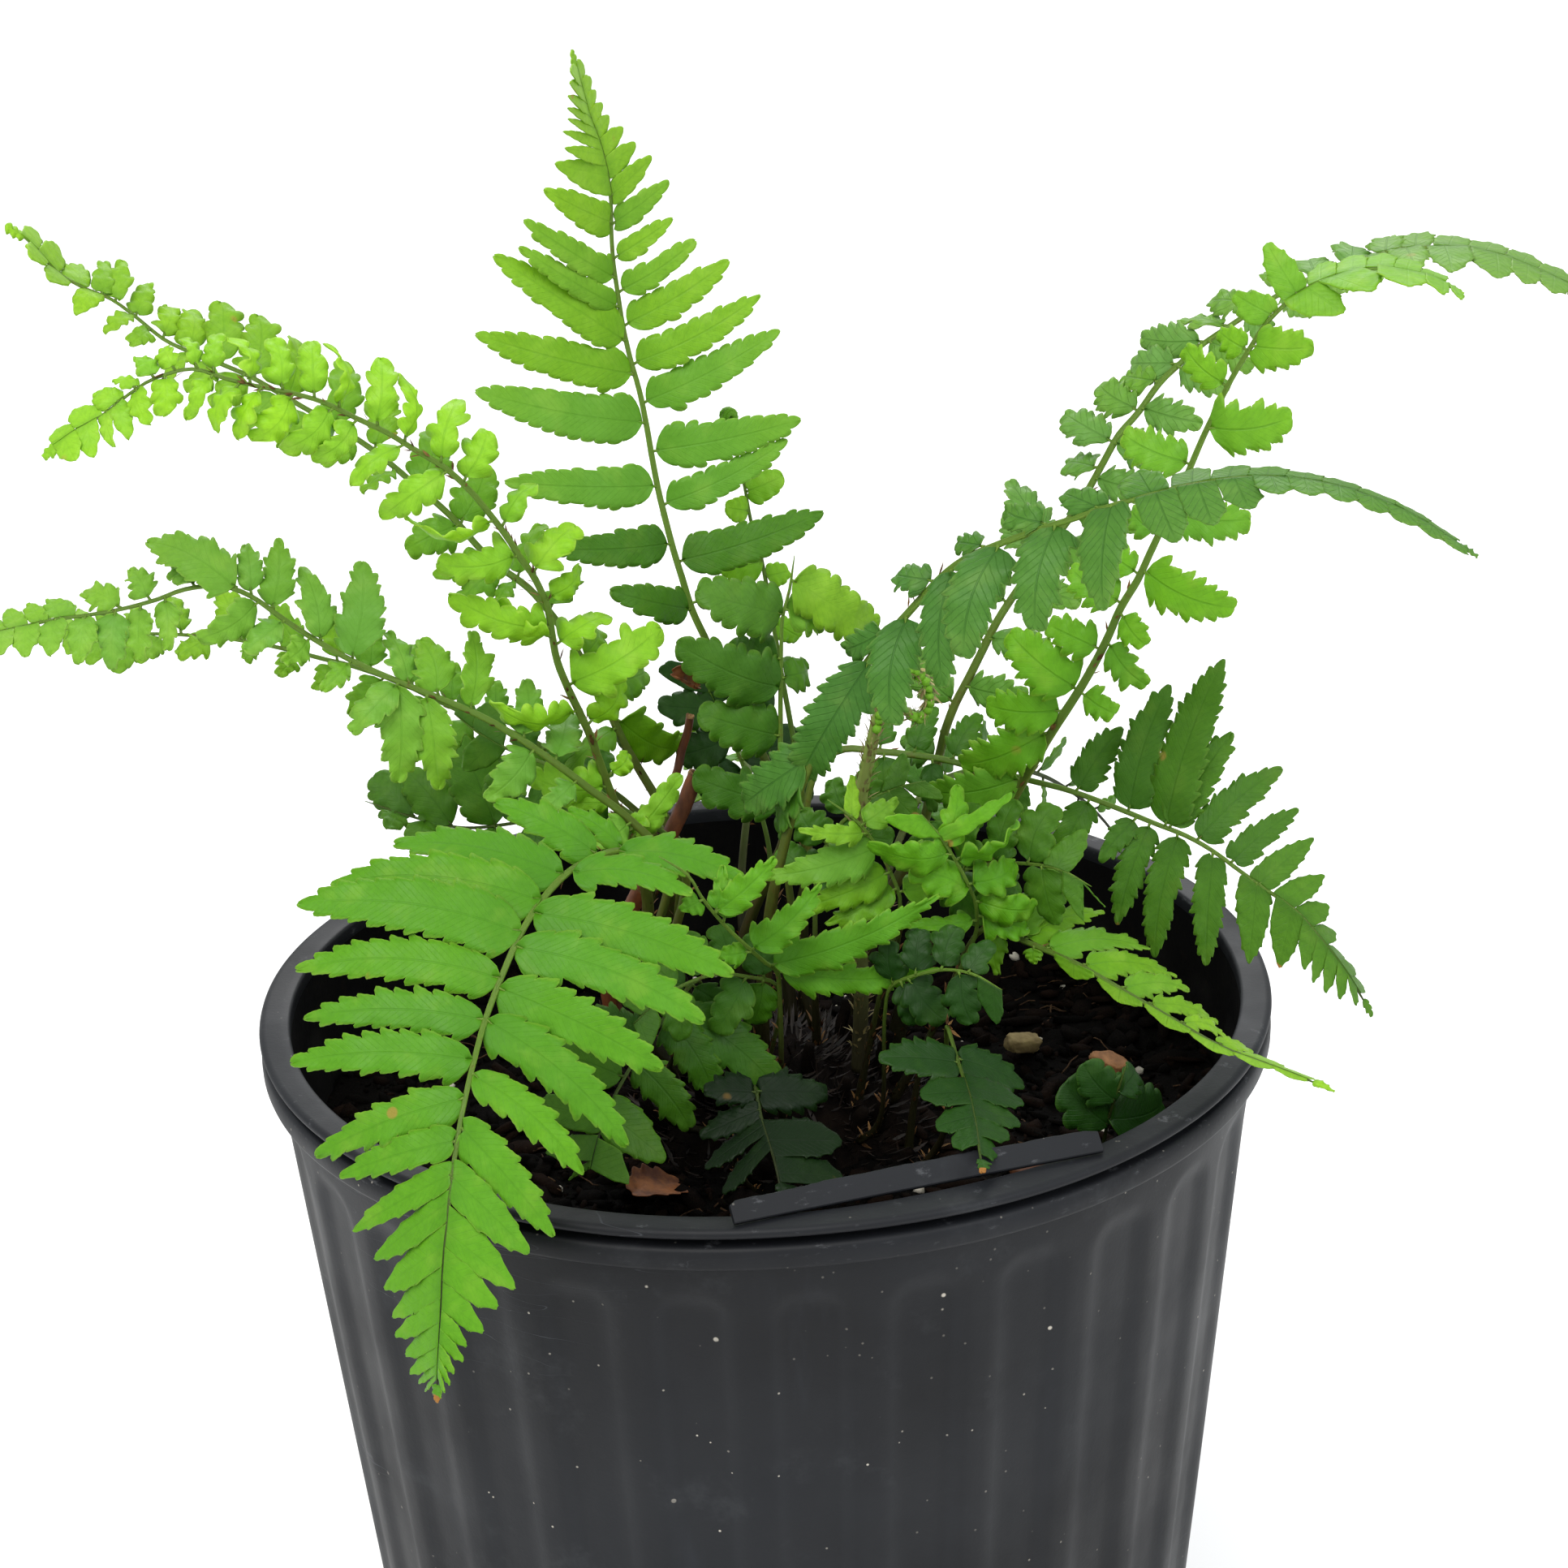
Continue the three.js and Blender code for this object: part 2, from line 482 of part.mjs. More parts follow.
    leaflets: [
      [60.1, -32.2, 12.6, 199.3, 6.1, 0.14, -1, 11], [60.9, -12.9, 26.8, 196.5, 7.4, 0.14, 1, 5], [67.3, -17.1, 28, 210.6, 6, 0.14, 1, -8],
      [72.9, -24.8, 28.9, 218.4, 5.1, 0.14, 1, -16], [82.5, -29.3, 30.7, 227.9, 5.4, 0.14, 1, -12], [89.8, -41.6, 18.4, 226.8, 4.4, 0.14, -1, 4],
      [89.8, -34.9, 32.4, 236, 5.8, 0.14, 1, -5], [93, -47.2, 19.4, 228, 5.1, 0.14, -1, 0], [96.2, -50.4, 20.3, 231.5, 5.2, 0.14, -1, 0],
      [102.6, -55.1, 21.7, 235.9, 5.4, 0.14, -1, 3], [102.6, -42.6, 35.7, 244.7, 6.1, 0.14, 1, -9], [111.4, -49.6, 37.5, 251.6, 6.2, 0.14, 1, -8],
      [116.2, -61.9, 24.3, 245.2, 4.6, 0.14, -1, 3], [121, -57.7, 38.9, 257.3, 6, 0.14, 1, -9], [124.2, -68.2, 25.3, 249.3, 4.7, 0.14, -1, 3],
      [128.2, -64.9, 39.8, 262.5, 6.2, 0.14, 1, -7], [132.2, -75, 26.4, 252.2, 4.9, 0.14, -1, 3], [137, -72.3, 41, 266.6, 6.1, 0.14, 1, -6],
      [138.6, -80.7, 27.3, 256, 4.9, 0.14, -1, 2], [143.4, -78.7, 42.1, 269.9, 6.1, 0.14, 1, -6], [145, -85.5, 28.3, 258.6, 4.9, 0.14, -1, 1],
      [149.1, -84.7, 42.8, 272, 6, 0.14, 1, -5], [150.7, -89.3, 29, 261.2, 4.6, 0.14, -1, 1], [154.7, -92.7, 29.5, 263.6, 4.4, 0.14, -1, 0],
      [154.7, -89.6, 43.5, 271.7, 5.4, 0.14, 1, -7], [159.5, -92.8, 44.2, 272.2, 4.1, 0.14, 1, -10], [161.9, -97.9, 30.7, 269.2, 3.3, 0.14, -1, 5],
      [165.1, -96.6, 45, 275.3, 4, 0.14, 1, -14], [165.9, -101.7, 31, 271.2, 3.4, 0.14, -1, 6], [169.1, -100.5, 45, 278.8, 4.1, 0.14, 1, -16],
      [171.5, -102.8, 44.7, 279.3, 4, 0.14, 1, -15], [173.1, -106.1, 30.3, 274.7, 3.3, 0.14, -1, 9], [175.5, -107.2, 43.7, 279.1, 3.8, 0.14, 1, -19],
      [179.5, -109.5, 28.7, 280.2, 3.2, 0.14, -1, 19], [182.7, -110.2, 41.7, 282.8, 3.8, 0.14, 1, -25], [184.3, -111.7, 27.2, 284.3, 3.2, 0.14, -1, 23],
      [186.7, -113.1, 40.4, 285.6, 3.8, 0.14, 1, -26],
    ],
  },
  {
    name: "frond_upper_left_front", r0: 1.6, colour: 0x86c437,
    spine: [
      [-13, 6, 150.4], [-15.6, 5.3, 154.4], [-18.4, 4.6, 159.2], [-19.7, 4, 163.7], [-19.7, 3.4, 168.5],
      [-19.1, 2.8, 174], [-18.6, 2.2, 178.8], [-18.9, 1.2, 183.4], [-20, -0.4, 188.7], [-21.2, -1.9, 193.1],
      [-22.4, -3.3, 198.4], [-23.6, -4.2, 202.9], [-24.7, -5.2, 207.5], [-26, -6.4, 212.8], [-27.4, -7.6, 217.2],
      [-28.9, -8.7, 221.7], [-30.3, -10, 226.9], [-30.8, -10.9, 231.6], [-31.2, -11.7, 236.3], [-32.7, -13.2, 241.5],
      [-34.7, -14.6, 245.6], [-36.7, -15.7, 249.8], [-39.5, -16.9, 254.6], [-42.1, -17.9, 258.5], [-45.1, -19.1, 262],
      [-49.4, -20.2, 265.4], [-53.1, -20.9, 268.3], [-57.1, -21.8, 270.8], [-61.7, -22.9, 273.8], [-66, -24, 275.7],
      [-71.3, -24.8, 277.3], [-75.8, -25, 278.7], [-80.4, -25, 280.3], [-85.8, -26, 279.4], [-89.9, -26, 277.1],
      [-93.7, -27, 274.5], [-98.6, -28, 272.1], [-102.5, -28, 269.3],
    ],
    leaflets: [
      [45.6, -12.5, 1.1, 202.5, 5.1, 0.26, 1, -23], [47.2, -16, 0.7, 197.9, 3, 0.26, 1, -23], [53.6, -30, -7.7, 202.7, 3.7, 0.26, -1, 16],
      [56.8, -35.6, -8.3, 206.6, 5, 0.26, -1, 18], [58.4, -19.9, -1.7, 207.7, 3.1, 0.26, 1, -22], [68.8, -19.9, -4, 221, 4.1, 0.26, 1, -21],
      [72, -40.4, -14, 220.1, 5.2, 0.26, -1, 18], [76.8, -13.8, -5.9, 229.7, 6.2, 0.26, 1, -21], [84.8, -22.2, -7.6, 234.4, 4.2, 0.35, 1, -21],
      [86.4, -38.9, -14.9, 235.7, 4.2, 0.26, -1, 16], [88, -45.2, -15.1, 238.6, 5.8, 0.26, -1, 18], [92.8, -25.1, -9.1, 241.7, 3.7, 0.26, 1, -22],
      [98.4, -27.3, -10.7, 250.2, 4.2, 0.26, 1, -21], [102.4, -46.3, -18.8, 245.9, 4.8, 0.26, -1, 19], [108, -32.8, -13, 257.7, 3.8, 0.26, 1, -19],
      [109.6, -50.4, -20.4, 250.7, 5.1, 0.26, -1, 18], [117.6, -38.5, -15.1, 266.2, 3.9, 0.26, 1, -17], [120.8, -54.7, -22.9, 256.4, 4.8, 0.26, -1, 17],
      [122.4, -43.9, -16.3, 271.9, 4.2, 0.26, 1, -13], [128.8, -58.8, -24.4, 262.1, 4.2, 0.26, -1, 13], [128.8, -48.7, -17.4, 275.9, 4.3, 0.26, 1, -11],
      [133.6, -53.5, -18.2, 279.1, 4.3, 0.26, 1, -10], [136.8, -63, -25.8, 265.7, 3.9, 0.26, -1, 13], [140, -58.4, -19.4, 281.5, 4.1, 0.26, 1, -11],
      [140.8, -67.5, -26.6, 267.7, 4.2, 0.26, -1, 14], [144, -63.4, -20.3, 282.8, 3.9, 0.26, 1, -10], [147.2, -71.3, -28, 269.6, 4, 0.26, -1, 10],
      [148.8, -68.5, -21.3, 283.7, 3.7, 0.26, 1, -7], [152, -74.9, -28.7, 271.5, 3.7, 0.26, -1, 7], [153.6, -72.9, -21.9, 284.4, 3.6, 0.26, 1, -5],
      [155.2, -78.3, -29, 273.3, 3.6, 0.26, -1, 5], [159.2, -81.7, -29, 274.9, 3.5, 0.26, -1, 4], [159.2, -77.4, -22, 285.1, 3.3, 0.26, 1, -4],
      [161.6, -81.5, -22, 284.7, 3.1, 0.26, 1, -4], [164.8, -85.3, -22.5, 283.4, 2.9, 0.26, 1, -3], [166.4, -84.4, -29.8, 275.1, 3.2, 0.26, -1, -2],
      [168, -88.7, -23, 282.3, 2.9, 0.26, 1, 2], [171.2, -87.4, -30, 273.7, 3.1, 0.26, -1, -7], [171.2, -92.4, -23, 279.2, 2.8, 0.26, 1, 1],
      [174.4, -95.4, -23.3, 277.2, 2.9, 0.26, 1, 1], [175.2, -89.8, -30.6, 272, 3.1, 0.26, -1, -6], [176.8, -92.3, -31, 270.8, 3.1, 0.26, -1, -6],
      [180, -95.3, -31.1, 269.4, 3.1, 0.26, -1, -6], [180, -98.4, -24.1, 274.8, 2.6, 0.26, 1, 1], [184, -97.8, -32, 269.3, 2.8, 0.26, -1, -7],
      [184, -101.2, -25, 272, 2.5, 0.26, 1, 1],
    ],
  },
  {
    name: "frond_left_upper", r0: 1.3, colour: 0x76ad42,
    spine: [
      [-14, -2, 150.4], [-16.8, -2.6, 154.3], [-19.8, -3.2, 159], [-21.2, -3.8, 163.5], [-20.7, -4.3, 169],
      [-19.3, -4.7, 173.6], [-17.2, -5.2, 178.7], [-15.6, -5.6, 183.2], [-14.7, -6.1, 188.7], [-15.9, -6.8, 193.2],
      [-19.3, -7.7, 197.6], [-22.3, -8.6, 201.1], [-26.1, -10, 205], [-29.4, -10.9, 208.4], [-33.4, -11.7, 212.2],
      [-37, -12.3, 215.3], [-41.4, -13, 218.7], [-45.4, -13.6, 221.2], [-50.3, -14, 223.8], [-54.6, -14, 225.9],
      [-59.6, -14, 228.5], [-63.7, -14, 231], [-68.2, -14, 234.2], [-72, -14, 237.2], [-76.3, -14, 240.8],
      [-80.7, -14, 242.6], [-86.2, -14, 242.3], [-90.7, -14, 240.8], [-96.2, -14.1, 239.5], [-100.9, -13.8, 238.7],
      [-106.4, -13.2, 237.9], [-111, -12.6, 236.9], [-116.4, -12, 235.6], [-121, -12, 234.2],
    ],
    leaflets: [
      [53.5, -25.6, -13, 197.1, 4.7, 0.12, -1, 16], [65.5, -33.7, -15.6, 204.1, 4.9, 0.12, -1, 17], [70.3, -29.6, 1.3, 216.4, 5.7, 0.1, 1, -21],
      [74.2, -42.1, -16.9, 207, 6, 0.12, -1, 16], [76.6, -35.6, -6.1, 222.7, 5.5, 0.1, 1, -17], [86.2, -43, -8.4, 231.8, 6.5, 0.1, 1, -11],
      [91.8, -51.1, -9, 231.3, 5.5, 0.1, 1, -11], [93.4, -49.8, -19, 209.6, 7.4, 0.12, -1, 6], [96.6, -56.1, -9, 232.6, 5.4, 0.1, 1, -10],
      [98.2, -55.5, -19, 211.1, 7.6, 0.12, -1, 5], [98.2, -62.1, -19, 220.1, 5.8, 0.12, -1, 8], [106.2, -65.8, -19, 227.2, 4.5, 0.12, -1, 6],
      [106.2, -59.6, -9, 244, 7.5, 0.1, 1, -7], [111.8, -68.4, -9, 243.7, 6.4, 0.1, 1, -9], [113.4, -71.2, -19, 231.8, 4.3, 0.12, -1, 8],
      [118.2, -77.4, -19, 234, 5, 0.12, -1, 9], [120.6, -72.1, -9, 248.4, 6.1, 0.1, 1, -11], [123, -83.5, -19, 235.6, 5.8, 0.12, -1, 10],
      [124.6, -77.4, -9, 247.9, 5.1, 0.1, 1, -12], [127, -92.2, -9, 249, 7.9, 0.2, 1, -25], [133.3, -88.2, -9, 245.4, 4.4, 0.1, 1, -4],
      [138.1, -89.2, -19, 234.5, 5, 0.12, -1, -6], [140.5, -95.4, -9, 244.5, 4.7, 0.1, 1, 2], [142.1, -93.9, -19, 233.1, 5.1, 0.12, -1, -4],
      [145.3, -103.1, -9.1, 241.2, 5.1, 0.1, 1, -8], [146.1, -98.3, -19, 232, 5.3, 0.12, -1, -4], [150.9, -103, -18.7, 232.9, 4.7, 0.12, -1, -6],
      [154.9, -108.3, -8.3, 239.5, 4.1, 0.1, 1, -4], [155.7, -107.3, -18.2, 234.1, 4.3, 0.12, -1, -8], [158.1, -111.4, -7.9, 239, 4.1, 0.1, 1, -3],
      [160.5, -111.2, -17.6, 233.7, 4.1, 0.12, -1, -8], [162.1, -114.9, -7.4, 237.9, 4, 0.1, 1, -2], [164.5, -114.9, -17.1, 234, 3.9, 0.12, -1, -9],
      [165.3, -118.1, -7, 236.3, 4, 0.1, 1, -6], [167.7, -117.6, -16.9, 234.3, 3.8, 0.12, -1, -7],
    ],
  },
  {
    name: "frond_left_lower", r0: 1.1, colour: 0x5f9a2e,
    spine: [
      [-12, 12, 148.6], [-14.4, 12.5, 152.7], [-17.1, 13.1, 157.6], [-18.8, 13.6, 162], [-19.6, 14.2, 167.5],
      [-19.1, 14.7, 172.2], [-18.2, 15.1, 176.9], [-17.3, 15.7, 182.4], [-17.8, 16.4, 187], [-21.5, 17.7, 190.9],
      [-25.2, 18.8, 193.7], [-29.7, 20, 196.8], [-33.6, 20.7, 199.4], [-37.8, 21.2, 201.8], [-42.9, 21.8, 204],
      [-47.2, 22.1, 206.1], [-52.1, 22, 208.8], [-56.2, 22, 211.2], [-60.5, 22, 213.3], [-65.7, 22, 215.4],
      [-70.3, 22, 216.8], [-75.6, 22, 218.5], [-80.2, 22, 219.8], [-85.7, 21.7, 221.1], [-90.3, 21.2, 221.9],
      [-95, 20.6, 222.6], [-100.6, 20, 223.2], [-105.3, 19.9, 224.1], [-110.7, 18.7, 224.6], [-115.4, 18, 224.4],
    ],
    leaflets: [
      [59.9, -31.2, 25.5, 202, 4.2, 0.1, 1, -10], [63.1, -39.2, 16.8, 196.5, 4.5, 0.12, -1, 5], [66.3, -37, 26.2, 207, 4.6, 0.1, 1, -7],
      [71.9, -46.4, 17.8, 199.2, 4.6, 0.12, -1, 5], [71.9, -42.9, 26.8, 210.2, 4.8, 0.1, 1, -7], [75.8, -52.3, 18, 201.5, 5, 0.12, -1, 7],
      [79.8, -49.4, 27, 213.7, 4.8, 0.1, 1, -10], [83.8, -60, 18, 204.7, 5.3, 0.12, -1, 9], [87, -55.8, 27, 217.2, 4.8, 0.1, 1, -10],
      [91.8, -66.4, 18, 208.5, 5.1, 0.12, -1, 7], [94.2, -62.9, 27, 220.9, 5, 0.1, 1, -8], [99.8, -69.4, 27, 223.4, 5.2, 0.1, 1, -6],
      [100.6, -71.6, 18, 213.3, 4.1, 0.12, -1, 3], [106.2, -79, 27, 224.8, 5.5, 0.1, 1, -8], [107, -77.1, 18, 216, 3.8, 0.12, -1, 2],
      [113.4, -82.5, 18, 218.8, 3.6, 0.12, -1, 0], [115.8, -87, 26.9, 227.9, 5.5, 0.1, 1, -6], [120.6, -93.3, 17.5, 220.2, 4.4, 0.12, -1, -6],
      [125.4, -94.6, 25.9, 227.5, 4.7, 0.1, 1, -7], [128.6, -99.6, 16.5, 219.7, 4.2, 0.12, -1, 0], [131.8, -100.8, 25.1, 226.3, 4.2, 0.1, 1, -9],
      [132.5, -103.3, 16, 218.1, 4.6, 0.12, -1, 4], [137.3, -107.5, 16, 219.7, 4.3, 0.12, -1, 4], [137.3, -105.7, 25, 226.1, 4, 0.1, 1, -10],
      [140.5, -109.6, 24.4, 226.2, 4, 0.1, 1, -13], [142.9, -110.5, 14.9, 221.9, 3.7, 0.12, -1, 3], [143.7, -113, 23.7, 225.4, 4, 0.1, 1, -14],
      [145.3, -112.9, 14.5, 222.9, 3.5, 0.12, -1, -2],
    ],
  },
  {
    name: "frond_back_left", r0: 0.9, colour: 0x2f5f24,
    spine: [
      [-12, 20, 142.6], [-14.7, 21.4, 147.3], [-17, 22.6, 151.3], [-19.5, 24, 156.2], [-20.9, 25.3, 160.6],
      [-20.5, 26.7, 165.9], [-18.3, 27.6, 170], [-15, 28.8, 174.4], [-13.7, 31.2, 178.1], [-17.2, 35.2, 179.3],
      [-20.8, 38.4, 179.2], [-24.8, 42.3, 178.7], [-28.4, 45.4, 177.9], [-32.7, 48.7, 176.5], [-36.5, 51.2, 175.2],
      [-41.3, 53.7, 173.5], [-45.5, 55.5, 172.2], [-50.6, 57.5, 171], [-55.1, 59.2, 170.8], [-60.3, 61, 171.6],
      [-64.8, 62.2, 172.8], [-70, 63, 174.6],
    ],
    leaflets: [
      [61.6, -30.3, 36.9, 174.4, 5.1, 0.1, -1, -11], [61.6, -29.1, 50.9, 184.4, 5.7, 0.1, 1, 12], [66.4, -35.9, 53.8, 185.8, 6.8, 0.1, 1, 13],
      [75.2, -39.9, 44.3, 170.8, 5, 0.1, -1, -10], [79.2, -45.2, 60, 176.7, 5.3, 0.1, 1, 6], [84, -47.9, 47.8, 168.6, 5, 0.1, -1, -9],
      [84, -53, 61.8, 186.6, 9.1, 0.1, 1, 9], [91.2, -55.1, 50.3, 168.8, 4.9, 0.1, -1, -6], [92.8, -62.5, 64.9, 179.2, 7.5, 0.1, 1, 7],
      [97.6, -60.8, 52.5, 170.4, 4.8, 0.1, -1, -2], [100, -68.6, 67.2, 177.7, 6.7, 0.1, 1, -1], [103.2, -65.3, 54, 173.3, 4.7, 0.1, -1, 1],
    ],
  },
  {
    name: "frond_front_left_drooping", r0: 1.3, colour: 0x74b53a,
    spine: [
      [-14, -8, 149], [-16.4, -9.8, 152.8], [-18.7, -11.9, 157.4], [-19.4, -13.5, 161.9], [-18.8, -15, 167.2],
      [-17.7, -16.2, 171.7], [-16.1, -17.5, 177], [-14.7, -18.6, 181.4], [-13.4, -19.8, 185.9], [-12, -21.2, 191.1],
      [-11.6, -22.8, 195.6], [-13.8, -25.5, 199.7], [-17, -28.4, 201.8], [-20.2, -32.4, 204.1], [-22.8, -36.2, 205.5],
      [-25.5, -40.1, 206.1], [-28.6, -44.8, 206.1], [-31.2, -48.7, 205], [-33.8, -53.3, 203.2], [-35.8, -57, 200.9],
      [-37.6, -60.5, 198.1], [-39.5, -64.6, 194.8], [-40.8, -68.4, 192.3], [-41.9, -73.3, 189.7], [-42.8, -77.2, 187.2],
      [-43.9, -81.2, 183.4], [-44.7, -84.2, 179.7], [-45.4, -87, 175.9], [-46.1, -89.7, 171], [-46.7, -91.6, 166.7],
      [-47.2, -93.1, 161.3], [-47.7, -94, 156.6], [-48.3, -94.6, 151.1], [-48.8, -95, 146.3],
    ],
    leaflets: [
      [67.2, -28.9, -28.4, 209.2, 4.4, 0.12, 1, -44], [69.6, -2.6, -36.2, 199.9, 6.8, 0.12, -1, 47], [74.4, -39.4, -34.1, 213.4, 6.2, 0.12, 1, -37],
      [81.6, -10.3, -47.1, 202.8, 6.5, 0.12, -1, 32], [83.2, -54.3, -41.4, 210.3, 8.5, 0.12, 1, -29], [89.6, -63.5, -46.6, 206.4, 10, 0.12, 1, -23],
      [92, -4.5, -55.6, 193.5, 9.9, 0.12, -1, 19], [96, -68.1, -51.8, 205.6, 10.6, 0.12, 1, -16], [98.4, -9, -60.6, 188.4, 9.6, 0.12, -1, 12],
      [104, -68.4, -57.6, 197.7, 9.8, 0.12, 1, -12], [105.6, -15.3, -65.8, 183.4, 8.8, 0.12, -1, 12], [111.2, -67.1, -63.1, 192.4, 8.8, 0.12, 1, -17],
      [111.2, -20.8, -70.1, 173.3, 9.1, 0.12, -1, 22], [118.4, -68.7, -69.3, 188.2, 8.9, 0.12, 1, -19], [120.8, -27.1, -78.3, 173.2, 7.4, 0.12, -1, 23],
      [124.8, -65.7, -74.5, 175.7, 8.3, 0.12, 1, -17], [129.18, -31.4, -83.2, 165.9, 7.6, 0.12, -1, 21], [131.2, -61.9, -78.7, 174.3, 6.8, 0.12, 1, -9],
      [136.46, -34.7, -87.7, 165.7, 6.1, 0.12, -1, 13], [136, -60.4, -81.6, 167, 6.7, 0.12, 1, -13], [144.07, -36.8, -90.4, 161.5, 6, 0.12, -1, 11],
      [140, -57.4, -83.8, 163.5, 6, 0.12, 1, -15], [148.43, -39.3, -91.9, 159.6, 5.5, 0.12, -1, 11], [146.05, -56.1, -85.7, 159.8, 5.7, 0.12, 1, -16],
      [153.5, -41.5, -93.3, 156.4, 5.4, 0.12, -1, 12], [151.92, -55.1, -87, 155.7, 5.7, 0.12, 1, -20], [157.07, -43.9, -94.9, 155, 4.7, 0.12, -1, 5],
      [155.15, -54.8, -88.1, 153.3, 5.5, 0.12, 1, -18], [159.09, -44.4, -95.8, 153.2, 4.3, 0.12, -1, -8], [159.13, -53.4, -89, 150.6, 5.2, 0.12, 1, -22],
      [162.49, -52.9, -89.5, 147.8, 5.2, 0.12, 1, -25], [161.5, -45.8, -96.5, 151.6, 3.9, 0.12, -1, -23], [164.77, -51.7, -90, 146.3, 4.7, 0.12, 1, -30],
      [163.3, -46.5, -97, 150, 3.5, 0.12, -1, -34], [164.55, -47.3, -97.3, 149, 3.1, 0.12, -1, -46], [165.57, -50.8, -90.4, 145.2, 4.1, 0.12, 1, -34],
    ],
  },
  {
    name: "frond_upper_right_back", r0: 1.4, colour: 0x4f8a44,
    spine: [
      [14, 12, 149.8], [14.7, 12.3, 154.5], [15.5, 12.6, 160.1], [16.5, 12.9, 164.7], [18.1, 13.1, 169.2],
      [20.6, 13.4, 174.3], [22.9, 13.7, 178.4], [25.2, 14, 182.7], [27.2, 14.5, 187.9], [28.2, 15.1, 192.5],
      [29.7, 16, 197.9], [30.9, 16.6, 202.5], [32.7, 17.5, 206.8], [35.4, 18.7, 211.5], [37.6, 19.4, 215.7],
      [39.9, 20.2, 219.9], [43.1, 21.5, 224.3], [46, 22.4, 228], [48.9, 23.1, 231.7], [52.3, 23.9, 236.1],
      [55, 24.5, 240], [57.8, 25.3, 244.8], [60.3, 26.3, 248.8], [63.6, 27.8, 252], [67, 28.9, 256.3],
      [70.5, 29.9, 259.3], [74.3, 31.2, 262], [79, 32.9, 264.5], [83.1, 33.7, 266.9], [87.3, 34.7, 269],
      [92.3, 36.1, 271], [96.8, 36.8, 272.5], [101.4, 37.4, 273.7], [106.9, 38.1, 274.6], [111.7, 38.6, 274.7],
      [116.4, 39.1, 274.3], [121.8, 39.8, 273.1], [126.3, 40.1, 271.4], [131.4, 40.1, 269], [135.7, 39.9, 266.8],
      [139.7, 39.3, 264.3], [144.2, 38.6, 261], [147.7, 38, 257.8],
    ],
    leaflets: [
      [51.2, 23.8, 23, 199.4, 6.3, 0.12, -1, 12], [60.8, 25.5, 24.5, 213.9, 7.6, 0.12, -1, 9], [64, 43.5, 11.2, 210.4, 6.3, 0.14, 1, -4],
      [72, 31.8, 26.5, 221.1, 6.8, 0.12, -1, 10], [72.8, 47.4, 12.6, 218.5, 6.3, 0.14, 1, -4], [79.2, 37.3, 27.9, 227.7, 6.5, 0.12, -1, 8],
      [82.4, 52.8, 14.7, 224.8, 6.3, 0.14, 1, -3], [88.8, 41.9, 29.7, 235.1, 6.7, 0.12, -1, 8], [91.2, 42.9, 30.1, 240.8, 7.8, 0.12, -1, 8],
      [91.2, 58.4, 16.1, 231, 6.4, 0.14, 1, -4], [97.6, 62.2, 17, 236.4, 6.3, 0.14, 1, -4], [104, 64.9, 17.9, 242.5, 6.1, 0.14, 1, -5],
      [105.6, 51.8, 32.1, 242.8, 6.1, 0.12, -1, 6], [110.4, 51.9, 32.9, 251.1, 7, 0.12, -1, 6], [110.4, 68.9, 18.9, 247.5, 6.4, 0.14, 1, -3],
      [116.8, 57.7, 34.8, 254.9, 6.4, 0.12, -1, 5], [117.6, 72.7, 21, 252.1, 6.1, 0.14, 1, -1], [122.4, 61.9, 35.9, 255.9, 6, 0.12, -1, 2],
      [126.4, 62.9, 36.8, 257.7, 6.6, 0.12, -1, -4], [126.4, 77, 22.8, 256.8, 5.8, 0.14, 1, -1], [132, 64.7, 38.2, 261.5, 7.4, 0.12, -1, -6],
      [132.8, 81.1, 24.4, 260, 5.5, 0.14, 1, 1], [136.8, 71.6, 39.7, 264, 6.5, 0.12, -1, -4], [140, 86.5, 26.4, 262.8, 5.4, 0.14, 1, 0],
      [142.4, 76.1, 40.7, 267.1, 6.6, 0.12, -1, -2], [147.2, 90.8, 27.7, 267.2, 5, 0.14, 1, 0], [148, 86.5, 42, 270.6, 5.4, 0.12, -1, 1],
      [153.6, 93.3, 47.3, 271.3, 7, 0.12, -1, 1], [156, 96.2, 24.6, 272.2, 6.5, 0.14, 1, 0], [160, 101, 49.1, 273, 7.5, 0.12, -1, 0],
      [161.6, 101.7, 25.3, 273.6, 6.5, 0.14, 1, 0], [165.6, 107, 49.8, 273.9, 7.6, 0.12, -1, 0], [168.8, 107.6, 26.2, 274.5, 6.4, 0.14, 1, 0],
      [170.4, 111.9, 50.3, 274.3, 7.6, 0.12, -1, 0], [175.2, 113.6, 26.8, 273.8, 6.5, 0.14, 1, 0], [176, 117.9, 50.9, 273.5, 7.6, 0.12, -1, 0],
      [182.4, 124.5, 51.7, 271.9, 7.7, 0.12, -1, 0], [184, 121.2, 27.9, 271.5, 6.5, 0.14, 1, 0], [188.8, 130.6, 51.1, 270.1, 7.3, 0.12, -1, 0],
      [189.6, 125.6, 28.1, 270.1, 6.5, 0.14, 1, 0], [194.4, 135.7, 50.1, 267.8, 6.9, 0.12, -1, 0], [194.4, 130, 29.1, 268.1, 6.2, 0.14, 1, 0],
      [199.2, 140.5, 48.8, 265.4, 6.6, 0.12, -1, 0], [200, 134.5, 29.7, 265.7, 5.8, 0.14, 1, 0], [204.8, 138.6, 30.1, 263.4, 5.4, 0.14, 1, 0],
      [205.6, 145.1, 47, 262, 6.1, 0.12, -1, 0], [208.8, 142.1, 30.6, 261.3, 5.1, 0.14, 1, 0],
    ],
  },
  {
    name: "frond_upper_right_front", r0: 1.6, colour: 0x66a62f,
